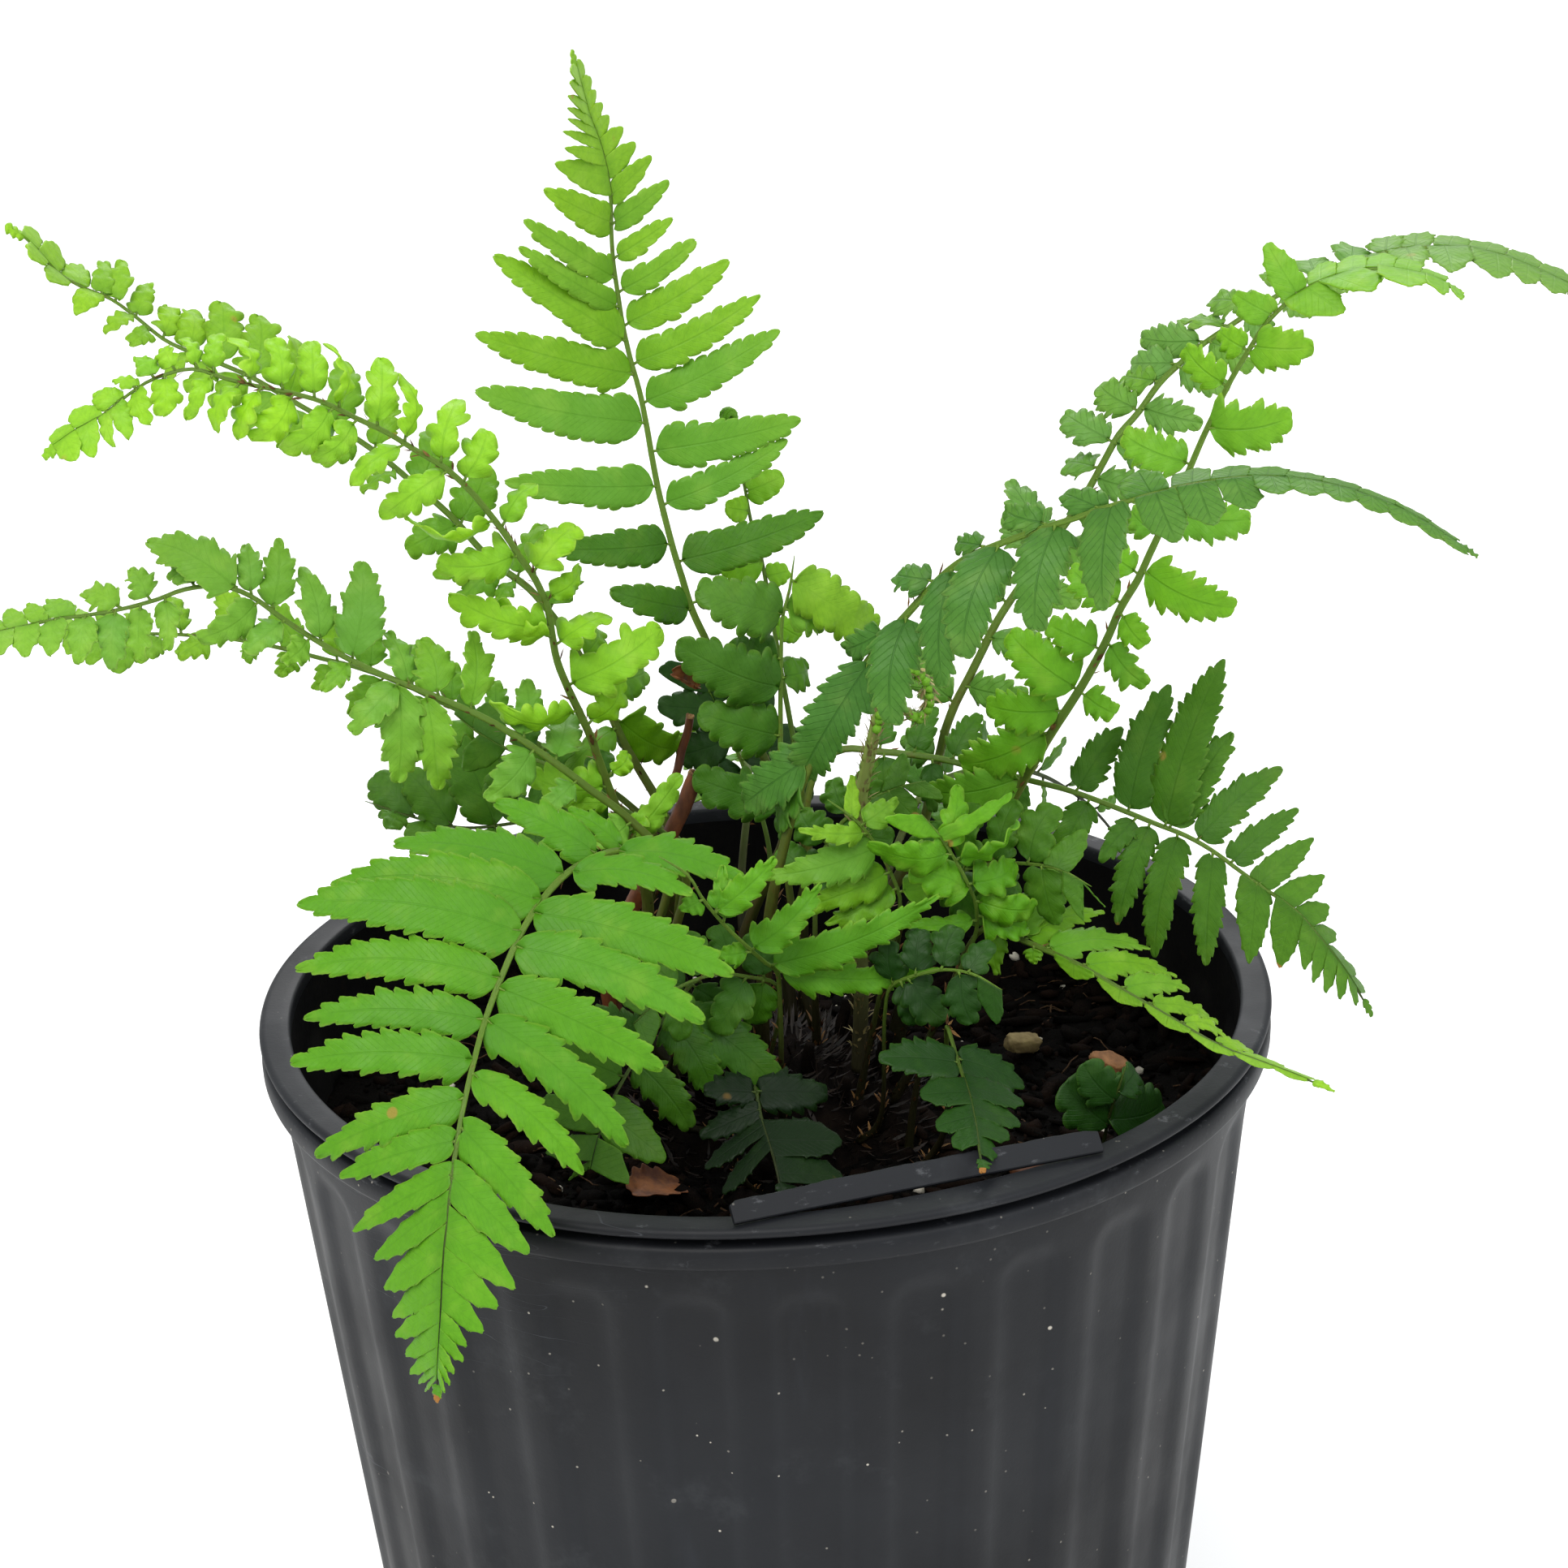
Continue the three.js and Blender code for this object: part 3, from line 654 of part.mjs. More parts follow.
    spine: [
      [20, 2, 148.9], [21, 1.7, 153.6], [22.2, 1.4, 159], [23.7, 1.1, 163.6], [26.2, 0.8, 168.6],
      [28.9, 0.6, 172.6], [32, 0.3, 177.2], [34.4, -0.1, 181.3], [36.5, -0.8, 186.5], [37.9, -1.5, 191],
      [39.9, -2.4, 196.2], [41.9, -3.2, 200.5], [44.3, -4.3, 205.4], [46.4, -5.3, 209.6], [49, -6.6, 214.4],
      [51.3, -7.6, 218.6], [53.7, -8.5, 223.5], [55.6, -9.2, 227.9], [57.2, -10.1, 232.3], [59.8, -11, 237.2],
      [61.6, -11.6, 241.6], [63.8, -12.3, 246.8], [65.7, -13.1, 251.1], [67.6, -14, 256.3], [69.4, -14, 260.7],
      [71.6, -14.7, 265.9], [73.5, -15.4, 270.2], [76.2, -16, 275.1], [78.8, -16, 279.1], [83, -16, 282.9],
      [87.2, -16, 285.1], [92.6, -16.4, 286.5], [97.3, -17, 286.6], [102.8, -17.1, 285.2], [107, -18, 283.2],
    ],
    leaflets: [
      [57.7, 27.5, 0.6, 198.1, 9.7, 0.1, -1, 15], [67.3, 32.2, -1.3, 203.2, 10, 0.1, -1, 15], [72.1, 36.3, -2.4, 214.1, 8.5, 0.1, -1, 17],
      [76.9, 40.3, -3.5, 226.4, 9.1, 0.1, -1, 16], [76.9, 56, -11.5, 215.3, 5.7, 0.1, 1, -16], [84.9, 46.2, -4.7, 228, 6.9, 0.1, -1, 16],
      [86.5, 60.9, -12.9, 220.4, 6.8, 0.1, 1, -17], [92.1, 60.5, -13.9, 227.5, 5.7, 0.1, 1, -18], [93.7, 49.7, -6.2, 237.8, 7.1, 0.1, -1, 16],
      [99.4, 54.9, -7.1, 241.6, 6, 0.1, -1, 16], [100.2, 74.1, -15.2, 233.1, 9.6, 0.1, 1, -16], [106.6, 58.8, -8, 247.4, 5.4, 0.1, -1, 17],
      [110.6, 76.3, -16.6, 248.2, 8.3, 0.1, 1, -14], [119.4, 57.6, -10, 260.4, 7.9, 0.1, -1, 8], [125.8, 82.1, -18.1, 264.4, 11.1, 0.1, 1, -3],
      [133, 66.8, -11.2, 274, 6.7, 0.1, -1, 0], [140.46, 85, -20, 275.9, 8.4, 0.1, 1, 0], [139.4, 71.7, -12, 276.6, 5.3, 0.1, -1, 0],
      [145.8, 74.1, -12, 282.3, 5.8, 0.1, -1, 0], [152.31, 89.4, -20, 281.1, 6.8, 0.1, 1, 0], [150.6, 78.8, -12, 289.9, 7.6, 0.1, -1, 0],
      [154.6, 87.8, -7, 285.2, 6.7, 0.1, -1, 0], [156.06, 92.7, -25, 285.7, 7.4, 0.1, 1, 0], [159.4, 92.8, -6.1, 286, 7.2, 0.1, -1, 0],
      [163.5, 97.2, -6.8, 286.3, 7.3, 0.1, -1, 0], [167.5, 101.1, -8, 285.6, 6.8, 0.1, -1, 0], [167.5, 97.7, -27, 286.8, 7.2, 0.1, 1, 0],
      [171.5, 104.9, -9.1, 283.7, 6.4, 0.1, -1, 0], [173.1, 103, -26.3, 285.2, 6.7, 0.1, 1, 0], [174.7, 105.9, -24.7, 283.9, 5.7, 0.1, 1, 0],
    ],
  },
  {
    name: "frond_right_blue_hanging", r0: 1.5, colour: 0x3f7d46,
    spine: [
      [0, -11, 153.6], [-0.7, -12.7, 158], [-0.9, -13.9, 163.5], [-0.6, -14.5, 168.2], [-0.1, -15, 173],
      [0.5, -15.5, 178.5], [1, -16, 183.3], [1.6, -16.9, 187.9], [2.7, -18.3, 193.3], [3.8, -18.8, 197.9],
      [5.1, -19.7, 203.2], [6.4, -20.6, 207.8], [8, -21.5, 212.2], [10.2, -22.3, 217.3], [12.3, -23.2, 221.5],
      [14.5, -24.2, 225.7], [17.3, -25.5, 230.4], [19.8, -26.8, 234.3], [22.5, -28.2, 238], [25.7, -29.8, 242.2],
      [28.6, -31.1, 245.8], [31.9, -32.7, 249], [36.3, -34.8, 251.7], [40.4, -36.3, 253.7], [44.5, -37.9, 255.6],
      [49.2, -40.1, 257.8], [53.1, -42, 259.7], [57.2, -43.9, 261.5], [62.1, -45.8, 263.3], [66.4, -47.5, 264.6],
      [71.4, -49.7, 265.8], [75.7, -51.7, 266.3], [80.2, -53.4, 266.2], [85.5, -55, 265.2], [89.9, -56.1, 263.7],
      [94.2, -57, 261.8], [98.9, -58.1, 258.9], [102.8, -59, 256.3],
    ],
    leaflets: [
      [59.2, 2.8, -15.2, 198.7, 7.9, 0.16, -1, -39], [61.6, -2.4, -15.6, 203.9, 7.5, 0.16, -1, 7], [82.4, 6.4, -19.7, 208.7, 11.3, 0.16, 1, 4],
      [88, 14.1, -21.2, 231.3, 5.3, 0.16, -1, 3], [92.8, 20.6, -36.7, 225, 8, 0.2, 1, -31], [100, 22, -24.7, 244.3, 4.7, 0.16, -1, 15],
      [104, 28.1, -39.9, 231.8, 8.4, 0.2, 1, -25], [110.4, 31.3, -28.2, 250.3, 4.3, 0.16, -1, -2], [112.8, 31, -43.1, 237.8, 8.7, 0.2, 1, -20],
      [120.8, 38.2, -31.6, 256.2, 4.7, 0.16, -1, 5], [122.4, 41.4, -46.2, 242.7, 8.5, 0.2, 1, -15], [129.6, 46.6, -35.1, 259.6, 4.5, 0.16, -1, 3],
      [132, 51, -50, 246.6, 8.3, 0.2, 1, -6], [138.4, 57.2, -38.4, 263.7, 4.1, 0.16, -1, 0], [139.2, 61.4, -52.7, 257.5, 6, 0.2, 1, 0],
      [144.8, 65.3, -37.6, 263.6, 5, 0.16, -1, 0], [145.6, 66.6, -54.9, 260, 5.3, 0.2, 1, 0], [150.4, 71.3, -38.7, 264.5, 5.4, 0.16, -1, 0],
      [151.2, 71.9, -57, 262, 5.2, 0.2, 1, 0], [156, 76.5, -41, 265.2, 5.4, 0.16, -1, 0], [156.8, 75.4, -60.3, 265.1, 5.3, 0.2, 1, 0],
      [161.6, 81.2, -44.1, 265, 5.1, 0.16, -1, 0], [161.6, 79.5, -62.1, 265.1, 5.3, 0.2, 1, 0], [166.4, 86, -46.6, 264.4, 4.7, 0.16, -1, 0],
      [166.4, 83.7, -62.6, 264.4, 4.9, 0.2, 1, 0], [171.2, 87.9, -62.8, 262.9, 4.6, 0.2, 1, 0], [172, 91.1, -48.9, 262.8, 4.4, 0.16, -1, 0],
      [176, 91.8, -62.7, 261.2, 4.2, 0.2, 1, 0], [177.6, 95.8, -51, 260.6, 4, 0.16, -1, 0], [180.8, 95.5, -62.6, 259.6, 3.9, 0.2, 1, 0],
      [182.4, 99.6, -52.9, 258.2, 3.7, 0.16, -1, 0], [184.8, 99, -62.4, 257.8, 3.5, 0.2, 1, 0],
    ],
  },
  {
    name: "frond_right", r0: 1.2, colour: 0x2f5f24,
    spine: [
      [4, 10, 154.1], [3.8, 11.1, 159.6], [3.9, 11.7, 164.3], [4.7, 11.5, 169.9], [5.9, 10.6, 174.4],
      [7.2, 9.4, 179.7], [7.8, 8.8, 184.5], [7.7, 8.9, 190.1], [8.1, 9.3, 194.9], [10.1, 10.3, 199.9],
      [14.2, 10.8, 202.1], [19.7, 9.7, 201.9], [24.4, 8.8, 201.6], [29.8, 7.4, 201.1], [34.2, 5.5, 200.5],
      [39.4, 3.8, 199.7], [44, 2.4, 198.8], [49.2, 0.8, 197.8], [53.7, -0.6, 196.5], [58.7, -2.5, 194.9],
      [63, -4.3, 193.5], [67.9, -6.4, 192], [71.9, -8.1, 190], [76.3, -9.8, 186.9], [80.1, -11.2, 184.3],
      [84.5, -13.2, 181.5], [87.6, -14.9, 178.2], [90.9, -16.4, 174], [93.5, -17.1, 170], [96.2, -18, 165.2],
    ],
    leaflets: [
      [36.9, 10.4, 4.9, 192.3, 3.1, 0.08, 1, -14], [50.5, 10.4, 15.9, 206.3, 3.5, 0.08, -1, 7], [57.7, 21.4, 14.7, 206.4, 3.4, 0.08, -1, 5],
      [58.5, 20.3, 5.6, 191.6, 4.8, 0.08, 1, -5], [63.3, 28.9, 13.7, 207.9, 4, 0.08, -1, 5], [66.5, 28.1, 3.9, 193.5, 4.1, 0.08, 1, -8],
      [69.7, 36.4, 11.8, 206.9, 4.1, 0.08, -1, 9], [75.3, 36.5, 0.7, 193, 4, 0.08, 1, -8], [77.7, 44.4, 9, 207, 4.4, 0.08, -1, 6],
      [80.9, 42.2, -0.9, 194.1, 4.2, 0.08, 1, -5], [90.5, 58.9, 5.3, 206.2, 6.4, 0.08, -1, 3], [92.9, 46.1, -4.4, 183.2, 7.1, 0.08, 1, -3],
      [99.4, 66, 2.5, 214.3, 7.8, 0.08, -1, 5], [101, 54.1, -7.1, 188.6, 4.7, 0.08, 1, -5], [103.4, 56.9, -8, 177.6, 6, 0.08, 1, -6],
      [105.8, 74.2, 0.1, 219.2, 8.8, 0.08, -1, 6], [106.6, 75.8, -0.2, 206.9, 7.6, 0.08, -1, 4], [108.2, 62.6, -9.8, 172.4, 7, 0.08, 1, -8],
      [111.4, 83.6, -2, 201.3, 6.5, 0.08, -1, 1], [114.6, 70.6, -12.1, 171.7, 5.6, 0.08, 1, -8], [117.8, 86, -4.1, 195.1, 5.4, 0.08, -1, -2],
      [123.02, 77.2, -14.3, 172.8, 4.5, 0.08, 1, -5], [123.4, 88.4, -5.8, 190.6, 4.8, 0.08, -1, -1], [129.86, 81.8, -15.6, 172.5, 3.8, 0.08, 1, -6],
      [128.2, 90, -7.2, 184.7, 4, 0.08, -1, 3], [134.57, 85.5, -17.2, 172.8, 3.1, 0.08, 1, -6], [132.2, 90.5, -8.8, 180.1, 3.4, 0.08, -1, 4],
      [137.02, 86.8, -18.4, 171, 3, 0.08, 1, -1], [136.2, 91.4, -10.2, 176, 3.2, 0.08, -1, 4], [139.54, 88.6, -19.4, 169.7, 2.8, 0.08, 1, 6],
      [139.4, 92.7, -11, 172, 3.3, 0.08, -1, 14], [142.33, 90.8, -20.2, 168.9, 2.5, 0.08, 1, 17], [142.6, 94.3, -11.6, 170.3, 3.2, 0.08, -1, 4],
      [144.82, 93.3, -20.9, 168.1, 2.2, 0.08, 1, 32], [145.8, 95.7, -12.1, 167.3, 3.2, 0.08, -1, 5],
    ],
  },
  {
    name: "frond_front_right", r0: 1.0, colour: 0x5f9a2e,
    spine: [
      [20, -8, 147.5], [22.1, -8.9, 151.7], [24.5, -10, 156.6], [26.7, -10.9, 161.6], [28.5, -11.4, 166],
      [30.1, -11.9, 170.5], [32, -12.5, 175.7], [34.8, -13.9, 180.3], [38.3, -16.9, 180.7], [41.6, -20.3, 180.7],
      [45.2, -24.6, 180.7], [48.8, -28.9, 180.6], [52, -32.3, 179.9], [55.3, -35.7, 179], [59.2, -39.6, 178],
      [63.1, -43.4, 176.9], [66.5, -46.5, 175.8], [70.2, -49.4, 174.9], [74.9, -52.4, 174.1], [79.7, -54.9, 173],
      [83.9, -57, 171.8],
    ],
    leaflets: [
      [39.8, 37, -17.8, 174.3, 3.5, 0.1, 1, -19], [44.6, 46.2, -12.9, 185.4, 4.3, 0.1, -1, 16], [45.4, 54.3, -12.1, 182, 5, 0.1, -1, 22],
      [47.8, 42.4, -23.5, 175.1, 2.6, 0.1, 1, -21], [50.2, 61.1, -17.4, 177.9, 4.7, 0.1, -1, 27], [56.6, 47.9, -30.3, 175.2, 2.2, 0.1, 1, -20],
      [58.2, 64.8, -23.5, 175.7, 4.9, 0.1, -1, 26], [66.2, 66.2, -29.1, 176, 4, 0.1, -1, 23], [66.2, 53.6, -37.1, 174.9, 1.8, 0.1, 1, -15],
      [71.7, 70.2, -33, 171.9, 3.4, 0.1, -1, 28], [75.7, 60.4, -43.8, 174.2, 1.3, 0.1, 1, -13], [78.1, 71.3, -37.4, 171, 2.5, 0.1, -1, 29],
      [84.5, 67.2, -49.5, 173, 1.1, 0.1, 1, -10], [85.3, 74.6, -42, 170.9, 2.2, 0.1, -1, 27], [91.7, 78.5, -45.6, 170.3, 2, 0.1, -1, 29],
      [91.7, 73.2, -53.6, 172.6, 1, 0.1, 1, -7], [97.2, 81.9, -48.2, 169.6, 1.9, 0.1, -1, 26], [97.2, 78.4, -56.2, 172.1, 0.9, 0.1, 1, -2],
    ],
  },
  {
    name: "frond_small_bright", r0: 0.8, colour: 0x74b53a,
    spine: [
      [22, -16, 141.2], [22.6, -16.5, 146.7], [23.3, -17.1, 152.3], [24.2, -17.6, 157.8], [25.4, -18, 162.4],
      [27.2, -18.5, 167.7], [29.4, -19.1, 172.8], [31.7, -19.6, 177.9], [33.5, -20.5, 183.1], [33.4, -22.3, 188.4],
      [32.2, -24, 192.7], [30.2, -25.7, 197.6], [27.9, -27.6, 202.4], [25, -29, 206.9],
    ],
    leaflets: [
      [46.4, 22.7, -24.1, 186.3, 3, 0.2, -1, 39], [47.2, 41.8, -19.9, 183.1, 4.7, 0.22, 1, -38], [50.4, 43.2, -20.8, 186.9, 5.1, 0.35, 1, -41],
      [53.6, 24.7, -26.8, 197.2, 5.7, 0.2, -1, 33], [54.4, 41.1, -21, 194, 4.7, 0.22, 1, -38], [60, 40.8, -22.7, 201.1, 5.3, 0.22, 1, -37],
      [61.6, 17.7, -29.2, 201.5, 5.3, 0.2, -1, 37], [64, 31.5, -24.1, 209.3, 4.6, 0.22, 1, -36], [65.6, 39.5, -24.6, 207.6, 5.8, 0.22, 1, -36],
      [69.6, 19.3, -31.7, 207.3, 3.8, 0.2, -1, 25],
    ],
  },
  {
    name: "frond_centre_front", r0: 0.8, colour: 0x74b53a,
    spine: [
      [2, -20, 147.2], [2, -22.4, 151.3], [2, -24.9, 156.4], [2.1, -26.5, 161.7], [2.2, -27.4, 166.4],
      [2.3, -28.3, 171.1], [2.3, -29.3, 176.7], [2.1, -30.8, 182], [0.4, -33.9, 185.1], [-1.7, -36.5, 188.5],
      [-4.4, -39.2, 192.7], [-7, -41.5, 197.1], [-8.9, -43.5, 201], [-10.7, -45, 205.2], [-14.8, -46, 208.8],
    ],
    leaflets: [
      [36.8, 27.5, -26.6, 179.6, 4.8, 0.08, 1, -51], [40, 27.4, -30.9, 193.8, 5.4, 0.05, 1, -56], [46.4, 9.1, -34.5, 198.2, 4.7, 0.08, 1, -46],
      [46.4, -7.4, -38.5, 189, 3, 0.08, -1, 48], [55.2, -3.7, -39.6, 201.6, 3.1, 0.1, 1, -38], [57.6, -5.5, -39.5, 203.9, 3.3, 0.1, 1, -42],
      [57.6, 2.4, -39.5, 204.9, 4.6, 0.08, 1, -42], [61.6, -12, -45.2, 199.7, 2.4, 0.08, -1, 41],
    ],
  },
  {
    name: "frond_centre_right", r0: 0.8, colour: 0x5f9a2e,
    spine: [
      [14, -14, 148.6], [14.8, -15.4, 154], [15.6, -16.5, 158.6], [16.6, -17.4, 164], [17.7, -18.3, 169.5],
      [18.7, -18.9, 174.2], [19.8, -19.6, 179.6], [21.1, -20.4, 185], [21.6, -21.1, 189.7], [19.9, -21.8, 195.1],
      [17.6, -22.5, 200.1], [14.9, -23.2, 204], [10.8, -24, 207.8],
    ],
    leaflets: [
      [43.4, 30.9, -17.2, 190.4, 4.5, 0.1, 1, -33], [44.2, 10, -25.3, 187.6, 4.1, 0.1, -1, 34], [47.4, 5.9, -25.7, 190.6, 4.7, 0.1, -1, 31],
      [49, 27.2, -17.9, 197.1, 4, 0.1, 1, -29], [52.2, 0.4, -26.3, 196.3, 5.5, 0.1, -1, 30], [55.4, 6.6, -26.7, 204.1, 2.9, 0.1, -1, 21],
      [57, 21.6, -19, 205.3, 3.7, 0.1, 1, -26], [59.4, 14.8, -19.3, 209.8, 3.4, 0.1, 1, -31],
    ],
  },
  {
    name: "frond_small_front", r0: 0.7, colour: 0x1d4018,
    spine: [
      [24, -22, 142.5], [26.1, -24.7, 146.9], [27.4, -26.9, 150.9], [28, -29, 156.1], [28.1, -30.6, 160.6],
      [28, -32.4, 165.9], [27.9, -34.2, 170.3], [27.9, -37.3, 174.8], [28.7, -42.5, 173.6], [29.4, -47, 172.3],
      [30.2, -52.5, 171.6], [30.6, -57.2, 171], [30.9, -62.7, 170.2], [31, -67.5, 169.6], [31.1, -73, 168.7],
    ],
    leaflets: [
      [44.6, 39.3, -43.7, 167.5, 5.3, 0.05, -1, 38], [45.4, 17.1, -46.5, 174.5, 6, 0.05, 1, -34], [51.8, 38.8, -50.7, 167.9, 3.9, 0.05, -1, 42],
      [53.4, 22.9, -54.3, 171.8, 4, 0.05, 1, -38], [57.4, 37.9, -56.2, 167.3, 4.2, 0.05, -1, 42], [59.8, 24.9, -60.6, 169.6, 3.6, 0.05, 1, -38],
      [62.2, 35.9, -61, 167.8, 3.5, 0.05, -1, 40], [64.6, 27, -65.3, 169.3, 3, 0.05, 1, -38], [67, 33.7, -65.7, 167.6, 2.6, 0.05, -1, 41],
    ],
  },
  {
    name: "leaf_small_lobed", r0: 0.6, colour: 0x1d4018,
    spine: [
      [50, -40, 142.5], [50.4, -41, 146.3], [50.8, -42.1, 150.9], [51.2, -43.1, 154.8], [51.7, -44.2, 159.4],
      [52.4, -44.9, 163.2], [53.6, -45.9, 167.7], [54.7, -46, 171.5],
    ],
    leaflets: [
      [19, 45.4, -46.5, 168.9, 7.1, 0.06, -1, 22], [19.8, 62.3, -30.6, 157, 8.4, 0.06, 1, -38], [23.8, 48.1, -47.3, 172.4, 5.9, 0.06, -1, 19],
      [25.4, 56.7, -40.7, 167.9, 4.5, 0.06, 1, -52],
    ],
  },
  {
    name: "frond_low_front", r0: 0.7, colour: 0x1d4018,
    spine: [
      [-2, -26, 140.4], [-3.9, -29.4, 144.4], [-5.4, -32.6, 148.8], [-5.6, -34.5, 153.2], [-4.8, -35.8, 158.7],
      [-3.5, -37, 164], [-2, -40.5, 167.3], [-1.2, -45.5, 164.7], [-0.2, -49.9, 163], [0.9, -55, 161],
      [1.6, -60, 158.4],
    ],
    leaflets: [
      [33.8, -9.7, -43.3, 168.2, 4.9, 0.06, 1, -38], [33.8, 9.2, -39.3, 165, 6, 0.06, -1, 39], [37, -10.7, -46.1, 162, 5.6, 0.06, 1, -24],
      [40.2, -10.1, -48.9, 157.9, 6, 0.06, 1, -28], [43.5, -7.5, -51.9, 155.1, 5.8, 0.06, 1, -34], [43.5, 11.1, -47.9, 161.3, 6.1, 0.06, -1, 29],
      [49.9, 11.1, -53.7, 157.9, 5.8, 0.06, -1, 26], [53.1, 6.7, -56.6, 155.7, 4.3, 0.06, -1, 29],
    ],
  },
  {
    name: "frond_low_left", r0: 0.8, colour: 0x2f5f24,
    spine: [
      [-10, -16, 147.2], [-13.6, -18.3, 149.4], [-16.9, -20.9, 152.9], [-17, -22.1, 157.5], [-15.5, -22.7, 162.8],
      [-13.8, -23, 167.3], [-11.7, -23.3, 172.5], [-10, -24, 177], [-11, -27.2, 179.2], [-13.8, -30.5, 177.1],
      [-16.7, -35, 175.3], [-19.1, -38.7, 173.5], [-21.8, -42.7, 170.8], [-24, -45.9, 167.9], [-26, -49.3, 164],
      [-27.3, -52, 160.2],
    ],
    leaflets: [
      [40.7, -4.5, -27.6, 171.9, 4.3, 0.08, -1, 35], [41.5, -21.1, -23.2, 179.8, 4.7, 0.08, 1, -34], [46.3, 1.9, -32.4, 162.2, 6.9, 0.08, -1, 19],
      [47.9, -8.4, -35.7, 164.3, 5.7, 0.08, -1, 27], [53.5, -30.5, -32.2, 176.8, 5.5, 0.08, 1, -23], [57.5, -12.2, -42.3, 161.5, 5.6, 0.08, -1, 23],
      [60.7, -35.3, -37.6, 172.6, 5.8, 0.08, 1, -16], [67.1, -16, -48.9, 159.5, 5, 0.08, -1, 11], [67.9, -36.3, -42.4, 166.7, 5.2, 0.08, 1, -10],
      [73.5, -34.4, -45.8, 160, 4.3, 0.08, 1, -10], [75.1, -21.5, -53.7, 158.3, 3.6, 0.08, -1, 0], [75.9, -31.1, -47.1, 155.7, 3.9, 0.08, 1, -31],
    ],
  },
  {
    name: "frond_back_centre", r0: 1.2, colour: 0x5f9a2e,
    spine: [
      [-2, 24, 142.7], [-2.5, 25.5, 148.1], [-3, 26.7, 152.7], [-3.5, 28.4, 158], [-3.7, 30.1, 162.5],
      [-3.8, 32.9, 167.3], [-3.5, 35.9, 171], [-2.9, 40, 174.8], [-2.2, 44.5, 178.1], [-1.8, 48.7, 180.4],
      [-1.9, 54, 182.1], [-2.7, 58.7, 181.8], [-3.6, 64.1, 180.9], [-4.3, 69.6, 179.8], [-4.8, 74.2, 178.7],
      [-5.4, 79.5, 177], [-5.8, 84, 175.3], [-6.3, 89.1, 172.9], [-6.6, 93.3, 170.6], [-7, 98, 167.6],
      [-7.4, 102.5, 164.3], [-7.8, 106.1, 161.2], [-8.1, 110.2, 157.3], [-8.4, 113.4, 153.8], [-8.7, 116.7, 149.3],
      [-8.9, 119.2, 145.2], [-9, 122, 140.3],
    ],
    leaflets: [
      [48, 6.8, 52.4, 177.8, 5.1, 0.12, 1, 0], [50.4, -11.6, 51.6, 177.3, 5.5, 0.12, -1, 0], [55.2, 6.4, 59.4, 182.6, 4.9, 0.12, 1, 0],
      [57.6, -13.3, 58.7, 180.6, 5.4, 0.12, -1, 0], [65.6, 4.4, 69.5, 183.3, 5, 0.12, 1, 0], [68, -13.9, 68.8, 181.7, 5.2, 0.12, -1, 0],
      [76.8, 3, 80.3, 180.2, 4.9, 0.12, 1, 0], [78.4, -14.6, 78.8, 178.8, 5, 0.12, -1, 0], [88, 1.4, 90.6, 173.5, 4.6, 0.12, -1, 0],
      [90.4, -15.5, 89.8, 171.3, 4.9, 0.12, 1, 0], [103.2, 0.1, 103.6, 163.5, 4.6, 0.12, -1, 0], [105.7, -15.7, 102.5, 160.5, 4.9, 0.12, 1, 0],
      [114.5, -1.4, 112, 153.5, 4.8, 0.12, -1, 0], [118.5, -15.1, 111.8, 150, 4.8, 0.12, 1, 0], [126.5, -3.6, 119.7, 142.8, 4.8, 0.12, -1, 0],
      [128.9, -13.5, 118, 141.4, 4.4, 0.12, 1, 0],
    ],
  },
  {
    name: "frond_back_right", r0: 1.2, colour: 0x2f5f24,
    spine: [
      [14, 22, 141.9], [15, 23.3, 146.4], [16.2, 24.7, 151.7], [17.2, 26, 156.2], [18.5, 27.8, 161.4],
      [19.7, 29.7, 165.6], [21.1, 32.2, 169.5], [22.9, 35.8, 173.4], [24.7, 39.3, 176.1], [26.9, 43.8, 178.6],
      [29.2, 47.9, 179.5], [31.5, 52.1, 179.1], [34.4, 56.8, 178.1], [36.9, 60.8, 177.1], [39.9, 65.3, 175.7],
      [42.4, 69.1, 174.1], [45.3, 73.4, 172.1], [47.7, 77.1, 170.1], [50.1, 80.7, 167.9], [52.7, 84.8, 165.1],
      [54.8, 88.2, 162.5], [57.3, 92.1, 159.3], [59.4, 95.3, 156.4], [61.5, 98.3, 153.3], [63.8, 101.7, 149.5],
      [65.7, 104.5, 146], [67.9, 107.5, 141.8], [69.6, 110, 138.1],
    ],
    leaflets: [
      [46.5, 33, 38.8, 177.1, 4.5, 0.12, 1, 0], [49.7, 26, 52.5, 183.8, 4.5, 0.12, -1, 0], [57.7, 32.8, 59.4, 185.4, 4.8, 0.12, -1, 0],
      [64.9, 39.4, 54.5, 174.1, 4.1, 0.12, 1, 0], [68.9, 40.4, 68.7, 183.3, 5, 0.12, -1, 0], [80.1, 48.6, 77.6, 179.2, 5.1, 0.12, -1, 0],
      [80.1, 45.4, 66.6, 169, 4, 0.12, 1, 0], [92.2, 56.6, 86.7, 172.9, 5.3, 0.12, -1, 0], [94.6, 50.9, 77.4, 161.8, 4.2, 0.12, 1, 0],
      [105, 63.9, 95.9, 164.1, 5.3, 0.12, -1, 0], [111.4, 56.2, 89.2, 150.9, 4.7, 0.12, 1, 0], [118.6, 69.6, 104.8, 153.7, 5.2, 0.12, -1, 0],
      [129, 72.5, 110.9, 144.4, 4.8, 0.12, -1, 0], [129, 61.5, 99.9, 140.3, 4.7, 0.12, 1, 0], [137, 66, 104.2, 135.8, 4.1, 0.12, 1, 0],
    ],
  },
  {
    name: "frond_inner_left", r0: 0.9, colour: 0x2f5f24,
